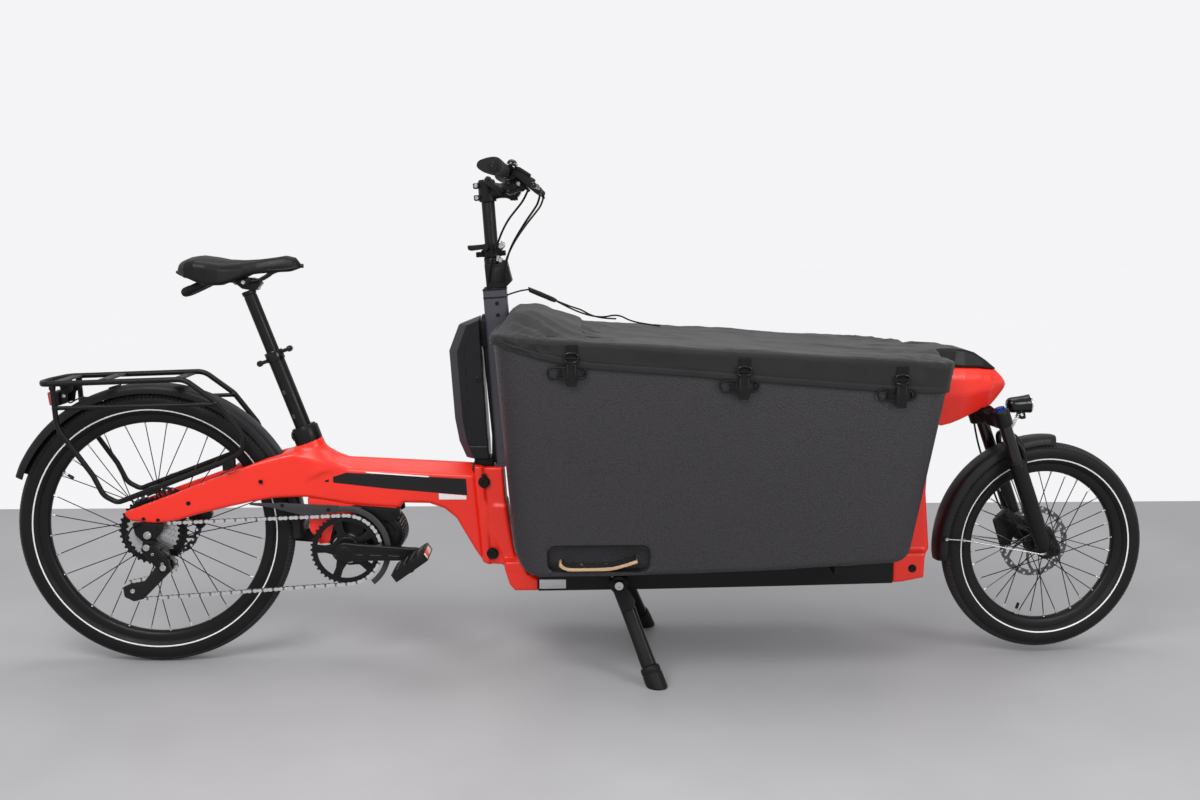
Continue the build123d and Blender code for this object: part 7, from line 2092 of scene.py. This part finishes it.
def crown_f(A_, Y, L_):
    """In fork coordinates: ahead, lateral, along."""
    aY = np.abs(Y)
    L_ = L_ + 14 * smooth((aY - 24) / 32)
    bar_ = rmax(rmax(np.abs(A_ - (6 + np.interp(aY, [0, 40, 66], [0, 6, 22]))) - np.interp(aY, [0, 30, 66, 85], [20, 16, 15, 12]), np.abs(L_ + 18) - 17.5, 6), aY - 84, 8)
    hub = rmax(np.hypot(A_, Y) - 25, np.abs(L_ + 18) - 18, 3)
    leg = rmax(np.hypot(A_ - OFF, aY - LEG_Y) - 20.5, np.abs(L_ + 18) - 20, 4)
    f = rmin(rmin(bar_, hub, 8), leg, 7)
    pocket = np.maximum(np.maximum(np.abs(A_ - 14) - 7, np.abs(aY - 40) - 7), -26 - L_ + 8)
    return f


b = B()
b.add(nets(crown_f, (-30, -92, -58), (54, 92, 6), 2.6), 0, head)
b.add(lathe([(14.3, -2), (14.3, 112)], (0, 0, 0), (0, 0, 1), 40), 2, head)
for s in (-1, 1):
    b.add(lathe([(15, -18), (15, -190), (14, -190)], (OFF, s * LEG_Y, 0), (0, 0, 1), 40, cap=False), 1, head)
    b.add(lathe([(0.01, 9.6), (9.5, 9.6), (10.5, 8.6), (10.5, 4.5), (14.6, 4.0), (15.6, 2.8), (15.6, -1)], (OFF, s * LEG_Y, -14), (0, 0, 1), 6 if s > 0 else 40, cap=False), 3 if s < 0 else 2, head)
    if s < 0:
        for k in range(10):
            a = 2 * math.pi * k / 10
            b.add(cyl((OFF + 11.4 * math.cos(a), s * LEG_Y + 11.4 * math.sin(a), -10.5), (OFF + 11.4 * math.cos(a), s * LEG_Y + 11.4 * math.sin(a), -4.8), 1.5, 8, 0.4), 3, head)
b.make("fork_crown", ["frame_black", "stanchion", "screw_black", "blue_cap"], "fork", replaces="fork_uppers", slot="alloy_black", steered=True)

FAX, FAZ = 2183.0, 274.0


def leg_profile(al):
    return np.interp(al, [-372, -352, -300, -220, -176, -160, -152], [16.0, 18.6, 19.8, 19.6, 19.6, 20.2, 20.2])


b = B()
low_pt = fork_at(AXLE_ALONG + 14 + 4, OFF)
for s in (-1, 1):
    al = np.concatenate([[-374], np.linspace(-372, -134, 26)])
    prof = [(0.01, -376), (11.0, -376), (14.6, -374.5)] + [(float(leg_profile(q)), float(q)) for q in np.linspace(-371, -154, 24)] + [(19.6, -152), (15.2, -152)]
    b.add(lathe(prof, (OFF, s * LEG_Y, 0), (0, 0, 1), 44, cap=False), 0, head)
    b.add(lathe([(15.2, -152), (18.8, -152), (19.6, -150.5), (18.8, -147), (16.4, -144.6), (15.1, -144)], (OFF, s * LEG_Y, 0), (0, 0, 1), 44, cap=False), 1, head)
    b.add(lathe([(0.01, -381), (7, -381), (8.5, -379.5), (8.5, -375)], (OFF, s * LEG_Y, 0), (0, 0, 1), 28, cap=False), 2, head)
    # dropout: cast plate that carries the axle
    y0, y1 = (-LEG_Y - 8, -51) if s < 0 else (51, LEG_Y + 8)
    lp = fork_at(AXLE_ALONG + 18, OFF)
    drop = rounded([(lp[0] - 19, lp[2] + 44), (lp[0] + 12, lp[2] + 52), (FAX + 17, FAZ + 5), (FAX + 9, FAZ - 14), (FAX - 12, FAZ - 15), (lp[0] - 17, lp[2] + 6)], 9)

    def drop_f(X, Y, Z, drop=drop, y0=y0, y1=y1, s=s):
        side = poly(X, Z, drop)
        thick = np.abs(Y - (y0 + y1) / 2) - (y1 - y0) / 2
        f = rmax(side, thick, 4)
        dish = np.maximum(np.hypot(X - (FAX - 16), Z - (FAZ + 30)) - 9, s * ((y1 if s > 0 else y0)) - 3.0 - s * Y)
        return np.maximum(f, -dish)

    b.add(nets(drop_f, (min(drop[:, 0]) - 4, y0 - 3, FAZ - 20), (FAX + 22, y1 + 3, lp[2] + 58), 2.6), 0)
    b.add(lathe([(6.0, 0), (13.5, 0), (14.2, 1.2), (13.0, 3.0), (9.6, 3.4), (9.5, 6.6), (8.6, 7.8), (5.2, 7.8), (4.8, 5.0), (0.01, 5.0)], (FAX, s * (LEG_Y + 8) - s * 0.6, FAZ), (0, s, 0), 36, cap=False), 2)
b.add(cyl((FAX, -LEG_Y - 7, FAZ), (FAX, LEG_Y + 7, FAZ), 5.5, 24), 2)
q, m_, r = (OFF + 24, -152), (OFF + 24, -116), (OFF + 24, -90)
arch = curve([(OFF + 10, -LEG_Y, -170), (OFF + 20, -LEG_Y, -152), (OFF + 24, -LEG_Y + 2, -120), (OFF + 24, -50, -99), (OFF + 24, -30, -91), (OFF + 24, 0, -89), (OFF + 24, 30, -91), (OFF + 24, 50, -99), (OFF + 24, LEG_Y - 2, -120), (OFF + 20, LEG_Y, -152), (OFF + 10, LEG_Y, -170)], 6)
b.add(tube(arch, 7.6, 16, flat=0.8, up=(0, 0, 1)), 0, head)
hz = [fork_at(6, 44, -50), fork_at(-30, 54, -62), fork_at(-90, 52, -70), fork_at(-150, 50, -72), fork_at(-240, 50, -70), fork_at(-320, 48, -62)]
b.make("fork_leg_pair", ["frame_black", "rubber", "screw_black"], "fork", replaces="fork_lowers", slot="alloy_black", steered=True)

b = B()
guard(b, FAX, FAZ, 277, 33, 186, 100)
for s in (-1, 1):
    b.add(block((1922, s * 34.8, 302), (15, 6, 11), 1.8), 2)
    b.add(tube(bend([(1925, s * 37, 302), (1962, s * 44, 300), (2150, s * 76, 266)], 12), 1.8, 10), 1)
    b.add(bolt((1922, s * 37.6, 302), (0, s, 0), 4.0, 2.6), 1)
    b.add(lathe([(1.9, 0), (4.4, 0), (5.0, 1), (5.0, 3), (4.4, 4), (1.9, 4)], (1962, s * 44, 300), (0.98, s * 0.17, -0.06), 6, closed=True), 1)
    b.add(cyl((2150, s * 76, 266), (2162, s * 70, 268), 3.4, 16), 1)
b.add(prism(rounded([(2093, 536), (2108, 536), (2104, 552), (2090, 552)], 3), -20, 20, 1), 2)
b.make("front_guard", ["mudguard_black", "steel", "plastic_black"], "fork", replaces="front_mudguard", slot="black_plastic", steered=True)

b = B()
hd_ = np.array([1, 0, 0.06])
hd_ = hd_ / np.linalg.norm(hd_)
HO = np.array([2084.0, 0, 624.5])
b.add(lathe([(0.01, 0), (10, 0), (15, 2), (18, 6), (19.2, 12), (20.2, 30), (21.4, 44), (22.6, 52), (22.6, 55)], HO, hd_, 48, cap=False), 0)
b.add(lathe([(19.4, 54.6), (22.8, 54.6), (23.3, 55.6), (23.2, 57.2), (22.2, 58), (20.2, 57.8), (19.4, 56.6)], HO, hd_, 56, closed=True), 1)
b.add(lathe([(0.01, 57.4), (8, 57.2), (15, 56.6), (19.6, 55.6), (19.6, 54.6)], HO, hd_, 48, cap=False), 2)
b.add(prism(rounded([(2106, 616), (2126, 616), (2130, 592), (2118, 590)], 3), -9, 9, 2), 0)
b.add(tube(bend([(2114, 5, 604), (2098, 5, 572), (2078, 5, 560)], 8), 2.0, 10), 3)
b.add(tube(bend([(2114, -5, 604), (2098, -5, 572), (2078, -5, 560)], 8), 2.0, 10), 3)
b.add(bolt((2118, -9, 602), (0, -1, 0), 4.0, 2.4), 1)
b.add(tube(curve([(2088, 4, 618), (2078, 5, 606), (2070, 4, 588), (2072, 2, 566)], 6), 1.6, 8), 4)
b.make("front_lamp", ["alloy_gloss", "chrome", "lamp_glass", "steel", "hose"], "fork", replaces="headlight", slot="alloy_black", steered=True)

b = B()
cal = rounded([(2076, 330), (2112, 360), (2140, 330), (2120, 268), (2098, 262)], 8)
b.add(prism(cal, 43.9, 50.2, 2.2), 0)
b.add(prism(cal, 31, 37.1, 2.2), 0)
b.add(prism(rounded([(2076, 330), (2112, 360), (2124, 346), (2090, 318)], 5), 36, 45, 1.0), 0)
b.add(prism(rounded([(2084, 336), (2112, 360), (2126, 345), (2104, 318)], 4), 45, 56, 2.0), 0)
b.add(bolt((2110, 50, 300), (0, 1, 0), 9, 3), 1)
b.add(tube(curve([(2100, 48, 356), (2092, 52, 372), (2084, 62, 400), (2068, 72, 450), (2046, 76, 520), (2030, 70, 580), (2016, 52, 620)], 8), 2.5, 10), 2)
b.make("front_brake_caliper", ["alloy_black", "screw_black", "hose"], "fork", replaces="front_caliper", slot="alloy_black", steered=True)


# ---------------------------------------------------------------------------
# Steering column, stem, handlebar and controls
# ---------------------------------------------------------------------------
b = B()
b.add(lathe([(13.4, -60), (15.2, -59), (16.0, -57), (16.0, 88), (15.6, 91), (15.6, 248), (15.0, 250), (12.8, 251.5), (0.01, 252)], (0, 0, 0), (0, 0, 1), 64), 0, mast)
b.make("steering_column_tube", ["frame_black"], "handlebar", replaces="steering_column", slot="black_metal")

b = B()
b.add(prism(rounded([(807.5, 975), (812.5, 917), (858, 919), (872.5, 934), (861, 980), (848, 984.5), (840.5, 975)], 3), -27, 27, 2.4, 3), 0)
b.add(prism(rounded([(818, 967), (821, 929), (852, 930), (862, 940), (852.5, 971), (843, 967)], 3), -28.0, 28.0, 0.7), 0)
b.add(lathe([(16.2, 76), (21.8, 76), (22.8, 77), (22.8, 89), (21.8, 90), (16.2, 90)], (0, 0, 0), (0, 0, 1), 56, closed=True), 1, mast)
b.add(lathe([(16.2, 60), (19.4, 60), (20.4, 61.2), (20.4, 73), (19.0, 75), (16.2, 76.4)], (0, 0, 0), (0, 0, 1), 56, closed=True), 0, mast)
for y0, y1 in ((-11, -1.2), (1.2, 11)):
    b.add(bar_of(rrect(20, abs(y1 - y0), 3.0), 77, 89.4, 1.2), 1, lambda v, c=(y0 + y1) / 2: mast(v + np.array([-28, c, 0])))
    b.add(bar_of(rrect(15, abs(y1 - y0), 3.0), 77, 89.4, 1.2), 1, lambda v, c=(y0 + y1) / 2: mast(v + np.array([25, c, 0])))
b.add(bolt((846, -11, 1000), (0, -1, 0), 5.2, 4.6), 2)
b.add(bolt((846, 11, 1000), (0, 1, 0), 5.2, 3.0, socket=False, segs=6), 2)
b.add(cyl((803, -14, 1004), (803, 14, 1004), 3.2, 16), 2)
# quick lever at the back, with its cam boss
b.add(prism(rounded([(769.2, 1015), (771, 1008), (778, 1005.6), (806, 1009), (815, 1006.2), (816, 1024.6), (807, 1021), (778, 1018.4), (771, 1018.6)], 3), -39, -25, 3.2, 3), 0)
b.add(lathe([(0.01, -1.2), (7.2, -1.2), (8.4, 0), (8.4, 15), (7.4, 16.2), (0.01, 16.2)], (811, -40, 1014), (0, 1, 0), 28, cap=False), 1)
b.add(cyl((811, -24, 1013), (811, 20, 1012), 4.0, 18), 2)
b.add(lathe([(2.2, -1), (8.6, -1), (9.4, 0.2), (9.4, 6), (8.6, 7), (2.2, 7)], (811, 13, 1012), (0, 1, 0), 28, closed=True), 1)
# bright locking button and its arm, adjusting nuts under the ring
b.add(prism(rounded([(833, 1002), (848, 1004), (857, 1016), (851, 1026), (841, 1022), (832, 1014)], 4), -34, -20, 1.4), 1)
b.add(lathe([(0.01, 3.4), (2.6, 3.4), (3.2, 5.4), (6.8, 5.9), (8.6, 5.0), (9.3, 3.6), (9.3, 0.6), (8.6, 0), (0.01, 0)], (849.4, -37, 1019.3), (0, -1, 0), 40, cap=False), 3)
for x, z, r, h in ((845.5, 983.5, 6.4, 10), (838.8, 986, 3.6, 14)):
    b.add(lathe([(0.01, 0), (r - 0.6, 0), (r, 0.6), (r, h - 0.6), (r - 0.6, h), (0.01, h)], (x, -22, z - 5), (0.08, 0, 1), 6 if r > 5 else 20, cap=False), 3)
b.make("column_clamp_set", ["plastic_black", "frame_black", "screw_black", "steel"], "handlebar", replaces="column_clamp", slot="black_metal")

BAR = (873.5, 1148.5)
b = B()
b.add(lathe([(15.8, 206), (19.6, 206), (20.6, 207.2), (20.9, 226), (20.6, 252.6), (19.6, 253.8), (15.8, 253.8)], (0, 0, 0), (0, 0, 1), 64, closed=True), 0, mast)
b.add(lathe([(0.01, 256.6), (4.2, 256.6), (5.0, 258.2), (7.4, 258.8), (16.8, 258.0), (19.0, 256.4), (19.6, 254.0), (19.0, 253.6)], (0, 0, 0), (0, 0, 1), 48, cap=False), 0, mast)
b.add(bolt(mast((0, 0, 256.4)), MAST_D, 4.2, 2.4), 1)
secs = []
for x, zc, h, w, r in ((812, 1147.5, 46, 36, 12), (822, 1147.2, 44, 37, 13), (834, 1146.2, 39, 37, 14), (846, 1146.4, 35, 38, 14), (856, 1147.2, 36, 42, 12), (865, 1148.0, 39, 46, 9)):
    q = rrect(h, w, r, 7)
    secs.append(np.column_stack([np.full(len(q), x) - (q[:, 0]) * 0.05, q[:, 1], zc + q[:, 0]]))
b.add(stack(secs), 0)
sec = [(16.1, -24), (21.2, -24), (22.6, -22.6), (22.6, 22.6), (21.2, 24), (16.1, 24)]
b.add(lathe(sec, (BAR[0], 0, BAR[1]), (0, 1, 0), 40, closed=True, a0=96, a1=264), 0)
b.add(lathe(sec, (BAR[0], 0, BAR[1]), (0, 1, 0), 40, closed=True, a0=-80, a1=80), 0)
for y in (-15.5, 15.5):
    for dz, up in ((20.5, 1), (-20.5, -1)):
        b.add(block((BAR[0] + 3.4, y, BAR[1] + dz), (15.0, 12.5, 9.0), 2.2), 0)
        b.add(bolt((BAR[0] + 10.7, y, BAR[1] + dz), (1, 0, 0), 4.0, 3.0), 1)
for al in (216.5, 244.5):
    for y0, y1 in ((-14, -1.3), (1.3, 14)):
        b.add(bar_of(rrect(17, abs(y1 - y0), 4.0), al - 6.6, al + 6.6, 2.0), 0, lambda v, c=(y0 + y1) / 2: mast(v + np.array([-23.5, c, 0])))
    q = mast((-25, 0, al))
    b.add(lathe([(2.0, 0), (4.2, 0), (4.7, 0.6), (4.7, 3.0), (4.1, 3.6), (2.7, 3.6), (2.4, 1.0), (0.01, 1.0)], (q[0], -14, q[2]), (0, -1, 0), 28, cap=False), 2)
    b.add(cyl((q[0], 13.5, q[2]), (q[0], 17, q[2]), 5.0, 6), 1)
# small bracket of the remote beside the stem
b.add(prism(rounded([(812, 1161), (811.5, 1174), (817, 1180), (825, 1178), (834, 1163), (848, 1154), (856, 1140), (846, 1134), (832, 1148)], 4), -34, -25, 2.0, 3), 3)
b.add(lathe([(0.01, 9.6), (7.4, 9.4), (9.0, 8.2), (9.4, 0), (0.01, 0)], (852, -34, 1152), (0, -1, 0.1), 32, cap=False), 3)
b.add(bolt((820, -34, 1171), (0, -1, 0), 3.2, 1.6), 1)
b.make("stem_body", ["alloy_black", "screw_black", "steel", "plastic_black"], "handlebar", replaces="stem", slot="black_metal")

GRIP_Y = (205.0, 324.0)


def bar_at(side, y, dx=0.0, dz=0.0):
    t = (322 - y) / 192
    return np.array([849.0 + 24 * t + dx, side * y, 1190 - 8 * t + dz])


b = B()
line = [bar_at(-1, 322), bar_at(-1, 130), (BAR[0], -48, BAR[1]), (BAR[0], 48, BAR[1]), bar_at(1, 130), bar_at(1, 322)]
b.add(tube(bend(line, (70, 44, 44, 70), 10), 11.1, 28), 0)
b.add(lathe([(11.2, -54), (11.6, -50), (15.2, -36), (15.9, -30), (15.9, 30), (15.2, 36), (11.6, 50), (11.2, 54)], (BAR[0], 0, BAR[1]), (0, 1, 0), 48), 0)
b.make("handlebar_tube", ["alloy_black"], "handlebar", replaces="handlebar", slot="black_metal")

# Grips: a locking ring inside, then a ribbed sleeve that widens into a palm rest
b = B()
PALM = np.array([(-35, 3.6), (-30.5, 11.4), (-16, 17.2), (0, 20.0), (12, 17.6), (18.2, 8.0), (17.6, -5.0), (9.5, -15.0), (-4, -17.4), (-18, -13.6), (-29, -7.4), (-34.4, -1.6)])
for s in (-1, 1):
    secs, ys = [], []
    for y in np.linspace(213, 320, 96):
        ys.append(y)
    for y in ys:
        t = (y - 213) / 107
        w = 0.16 + 0.84 * t * t * (3 - 2 * t)
        a = np.radians(np.array([174, 140, 118, 92, 56, 24, -16, -56, -98, -138, -160, -178]))
        ring = np.column_stack([15.6 * np.cos(a), 15.6 * np.sin(a)])
        sec2 = ring * (1 - w) + PALM * w
        rib = 0.55 * (0.5 + 0.5 * math.cos(2 * math.pi * (y - 213) / 5.6)) if 217 < y < 300 else 0.5
        grow = 1 - (0.55 - rib) / 17.0
        if y > 316:
            grow *= math.sqrt(max(0.0, 1 - ((y - 316) / 5.4) ** 2)) * 0.22 + 0.78
        c = bar_at(s, y)
        q = curve(np.column_stack([c[0] + sec2[:, 0] * grow, np.full(12, c[1]), c[2] + sec2[:, 1] * grow]), 4, closed=True)
        secs.append(q)
    b.add(stack(secs), 0)
    c0, c1 = bar_at(s, 204), bar_at(s, 213.4)
    b.add(lathe([(11.3, 0), (15.6, 0), (16.6, 1.0), (16.6, 8.2), (15.6, 9.2), (11.3, 9.2)], c0, c1 - c0, 48, closed=True), 1)
    b.add(bolt(c0 + (c1 - c0) * 0.5 + np.array([11.5, 0, -11.2]), (0.7, 0, -0.7), 3.0, 2.0), 2)
    e = bar_at(s, 319.6)
    b.add(lathe([(0.01, 1.0), (3.0, 1.0), (3.4, 2.4), (8.6, 2.8), (9.6, 1.8), (9.8, -1.0)], e, (0, s, 0), 36, cap=False), 1)
    b.add(bolt(e + np.array([0, s * 0.9, 0]), (0, s, 0), 2.8, 1.3), 3)
b.make("grip_pair", ["grip_rubber", "alloy_gloss", "screw_black", "steel"], "handlebar", replaces="grips", slot="rubber", sharp=30)

# Brake levers with their master cylinders, shifter, assist keys, bell and display
b = B()
BODY = rounded([(886, 1192), (899, 1190), (923, 1175), (929, 1162), (943, 1153), (947, 1143), (941, 1135), (931, 1140), (922, 1146), (908, 1158), (894, 1170), (880, 1177)], 4)
LID = rounded([(889, 1195.5), (901, 1193.5), (926, 1177.5), (923, 1172), (899, 1187), (888, 1190)], 2)
for s in (-1, 1):
    lo_, hi_ = sorted((s * 160, s * 184))
    b.add(prism(BODY, lo_, hi_, 4.2, 3), 0)
    lo_, hi_ = sorted((s * 157, s * 187))
    b.add(prism(LID, lo_, hi_, 1.6), 1)
    for x, z in ((897, 1191.6), (919, 1177.2)):
        for yy in (162, 182):
            b.add(bolt((x + 0.4, s * yy, z + 1.4), (0.5, 0, 0.86), 2.0, 1.2, segs=20), 2)
    ring0, ring1 = bar_at(s, 160), bar_at(s, 176)
    d_ = (ring1 - ring0) / np.linalg.norm(ring1 - ring0)
    b.add(lathe([(11.3, 0), (15.0, 0), (16.2, 1.2), (16.2, 14.8), (15.0, 16), (11.3, 16)], ring0, d_, 48, closed=True), 0)
    b.add(prism(rounded([(870, 1194), (884, 1196), (892, 1190), (892, 1172), (884, 1166), (872, 1168)], 4), *sorted((s * 162, s * 174)), 1.6), 0)
    b.add(bolt((876, s * 168, 1164), (-0.3, 0, -1), 3.4, 3.0), 2)
    # hose fitting at the low front end
    b.add(lathe([(2.8, -6), (6.8, -6), (7.4, -5), (7.4, 5), (6.8, 6), (2.8, 6)], (942, s * 172, 1144), (0, 1, 0), 28, closed=True), 1)
    b.add(bolt((942, s * 178, 1144), (0, s, 0), 4.6, 3.0), 3)
    b.add(bolt((942, s * 166, 1144), (0, -s, 0), 4.6, 3.0), 3)
    b.add(cyl((942, s * 172, 1140), (946, s * 171.5, 1130), 3.6, 16), 1)
    # lever blade, wide at its middle, with a ball end
    blade = curve([(926, s * 176, 1156), (938, s * 188, 1151), (942, s * 208, 1149), (936, s * 236, 1151), (931, s * 266, 1152), (932, s * 288, 1151), (935, s * 297, 1150)], 8)
    k = np.linspace(0, 1, len(blade))
    b.add(tube(blade, np.interp(k, [0, 0.12, 0.4, 0.75, 0.92, 1.0], [7.0, 6.2, 6.6, 6.2, 5.4, 5.8]), 16, flat=0.52, up=(1, 0, 0.2)), 1)
    b.add(lathe([(0.01, -6.2), (3.4, -5.4), (5.8, -2.2), (6.2, 0), (5.8, 2.2), (3.4, 5.4), (0.01, 6.2)], (935, s * 298, 1150), (0, 0, 1), 24, cap=False), 1)
    b.add(bolt((925, s * 176, 1164), (0.45, 0, 0.9), 4.4, 2.2), 3)
    b.add(cyl((920, s * 176, 1150), (927, s * 176, 1166), 5.0, 20), 0)
# trigger shifter under the near side of the bar
b.add(prism(rounded([(878, 1172), (892, 1176), (908, 1166), (916, 1150), (906, 1140), (888, 1144), (874, 1158)], 7), -158, -138, 4.0, 3), 4)
b.add(prism(rounded([(884, 1168), (898, 1168), (906, 1154), (896, 1147), (882, 1156)], 4), -160.5, -136.5, 1.4), 1)
b.add(lathe([(11.3, 0), (14.6, 0), (15.4, 0.8), (15.4, 9.2), (14.6, 10), (11.3, 10)], bar_at(-1, 150), (0.11, 1, -0.04), 40, closed=True), 4)
b.add(prism(rounded([(862, 1150), (868, 1143), (888, 1144), (896, 1152), (888, 1158), (872, 1156)], 3), -176, -163, 2.6, 3), 4)
b.add(prism(rounded([(872, 1140), (880, 1135), (898, 1140), (902, 1146), (890, 1148)], 3), -172, -160, 2.4, 3), 4)
b.add(cyl((912, -149, 1150), (921, -150.5, 1141), 4.0, 18, 0.8, 3.0), 1)
b.add(bolt((896, -160.4, 1158), (0, -1, 0), 4.6, 1.6), 3)
# round assist keys on the far side
b.add(prism(rounded([(874, 1176), (882, 1198), (898, 1200), (910, 1184), (904, 1168), (886, 1164)], 7), 134, 154, 4.2, 3), 4)
for x, z in ((890, 1200.2), (900, 1192.6), (879, 1190)):
    b.add(lathe([(0.01, 2.0), (4.0, 1.8), (4.8, 1.0), (5.0, -1.4)], (x, 144, z - 1.4), (0.3, 0, 1), 24, cap=False), 4)
b.add(lathe([(11.3, 0), (14.6, 0), (15.4, 0.8), (15.4, 9.2), (14.6, 10), (11.3, 10)], bar_at(1, 148), (0.11, -1, -0.04), 40, closed=True), 4)
# bell beside the near grip
b.add(lathe([(0.01, 13.2), (5.0, 12.6), (9.4, 9.6), (11.6, 5.0), (12.0, 0.6), (11.4, 0.0), (10.8, 0.6)], (883, -194, 1197), (0.35, 0, 0.94), 36, cap=False), 1)
b.add(lathe([(11.3, 0), (13.6, 0), (14.2, 0.8), (14.2, 7.2), (13.6, 8), (11.3, 8)], bar_at(-1, 198), (0.11, 1, -0.04), 40, closed=True), 4)
b.add(cyl((872, -194, 1192), (884, -194, 1197), 4.6, 18), 4)
b.add(tube(curve([(886, -200, 1200), (893, -208, 1199), (896, -216, 1196)], 5), 2.2, 12), 3)
# display
b.add(prism(rounded([(868, 1183), (876, 1192), (918, 1168.6), (914, 1160)], 3), 30, 78, 2.2, 3), 4)
b.add(prism(rounded([(879.5, 1191.4), (880.6, 1191.8), (914.6, 1172.0), (914.0, 1170.4)], 0.3), 34, 74, 0.3), 5)
b.add(prism(rounded([(872, 1164), (884, 1166), (894, 1174), (884, 1184), (874, 1178)], 3), 34, 46, 1.6), 4)
b.add(tube(curve([(873.5, 40, BAR[1] + 4), (876, 40, 1158), (880, 40, 1170)], 5), 5.0, 14), 4)
b.add(lathe([(11.4, 0), (17.2, 0), (18.0, 0.8), (18.0, 8.2), (17.2, 9), (11.4, 9)], (BAR[0], 35.5, BAR[1]), (0, 1, 0), 40, closed=True), 4)
b.make("bar_control_set", ["alloy_black", "alloy_gloss", "screw_black", "steel", "plastic_black", "screen"], "handlebar", replaces="bar_controls", slot="black_plastic")


# ---------------------------------------------------------------------------
# Printed stripes on the frame sides
# ---------------------------------------------------------------------------
def skin(x, z, s):
    """Lateral place of the frame's side at a station and height."""
    ys = np.linspace(20, 95, 151)
    g = frame_f(np.full(151, x), s * ys, np.full(151, z))
    k = np.where(g <= 0)[0]
    return s * (ys[k[-1]] if len(k) else 45.0)


def decal(b, outline, s, m, lift=0.35, step=9.0):
    """A thin film laid over the frame's side, cut to an outline."""
    p = np.asarray(outline, float)
    lo, hi = p.min(0), p.max(0)
    xs = np.unique(np.concatenate([np.linspace(lo[0], hi[0], max(3, int((hi[0] - lo[0]) / step))), p[:, 0]]))
    cols = []
    for x in xs:
        cut = []
        for i in range(len(p)):
            a, c = p[i], p[(i + 1) % len(p)]
            if abs(a[0] - c[0]) < 1e-9:
                if abs(a[0] - x) < 1e-6:
                    cut += [a[1], c[1]]
            elif min(a[0], c[0]) - 1e-6 <= x <= max(a[0], c[0]) + 1e-6:
                cut.append(a[1] + (c[1] - a[1]) * (x - a[0]) / (c[0] - a[0]))
        z0, z1 = min(cut), max(cut)
        if z1 - z0 < 0.4:
            mid = (z0 + z1) / 2
            z0, z1 = mid - 0.2, mid + 0.2
        cols.append([(x, z) for z in np.linspace(z0, z1, 7)])
    v, f, n = [], [], 7
    for k, off in enumerate((lift, -0.6)):
        for col in cols:
            for x, z in col:
                y = skin(x, z, s)
                v.append((x, y + s * off, z))
    N = len(cols) * n
    for i in range(len(cols) - 1):
        for j in range(n - 1):
            a = i * n + j
            f.append((a, a + 1, a + n + 1, a + n))
            f.append((N + a, N + a + n, N + a + n + 1, N + a + 1))
    for i in range(len(cols) - 1):
        for j in (0, n - 1):
            a = i * n + j
            f.append((a, a + n, N + a + n, N + a))
    for i in (0, len(cols) - 1):
        for j in range(n - 1):
            a = i * n + j
            f.append((a, a + 1, N + a + 1, N + a))
    b.add((np.array(v), f), m)


b = B()
for s in (-1, 1):
    decal(b, [(413, 455), (440, 467), (474, 477.5), (757, 459), (759.5, 418.6), (689, 425), (560, 437), (470, 448)], s, 0)
    decal(b, [(517, 478.0), (668, 466.6), (668, 463.6), (517, 475.0)], s, 1, 0.6)
    decal(b, [(691, 423.6), (757, 418.0), (757, 408.4), (691, 408.8)], s, 1, 0.5)
b.make("frame_stripes", ["decal_black", "white_mark"], "root", slot="frame_red")
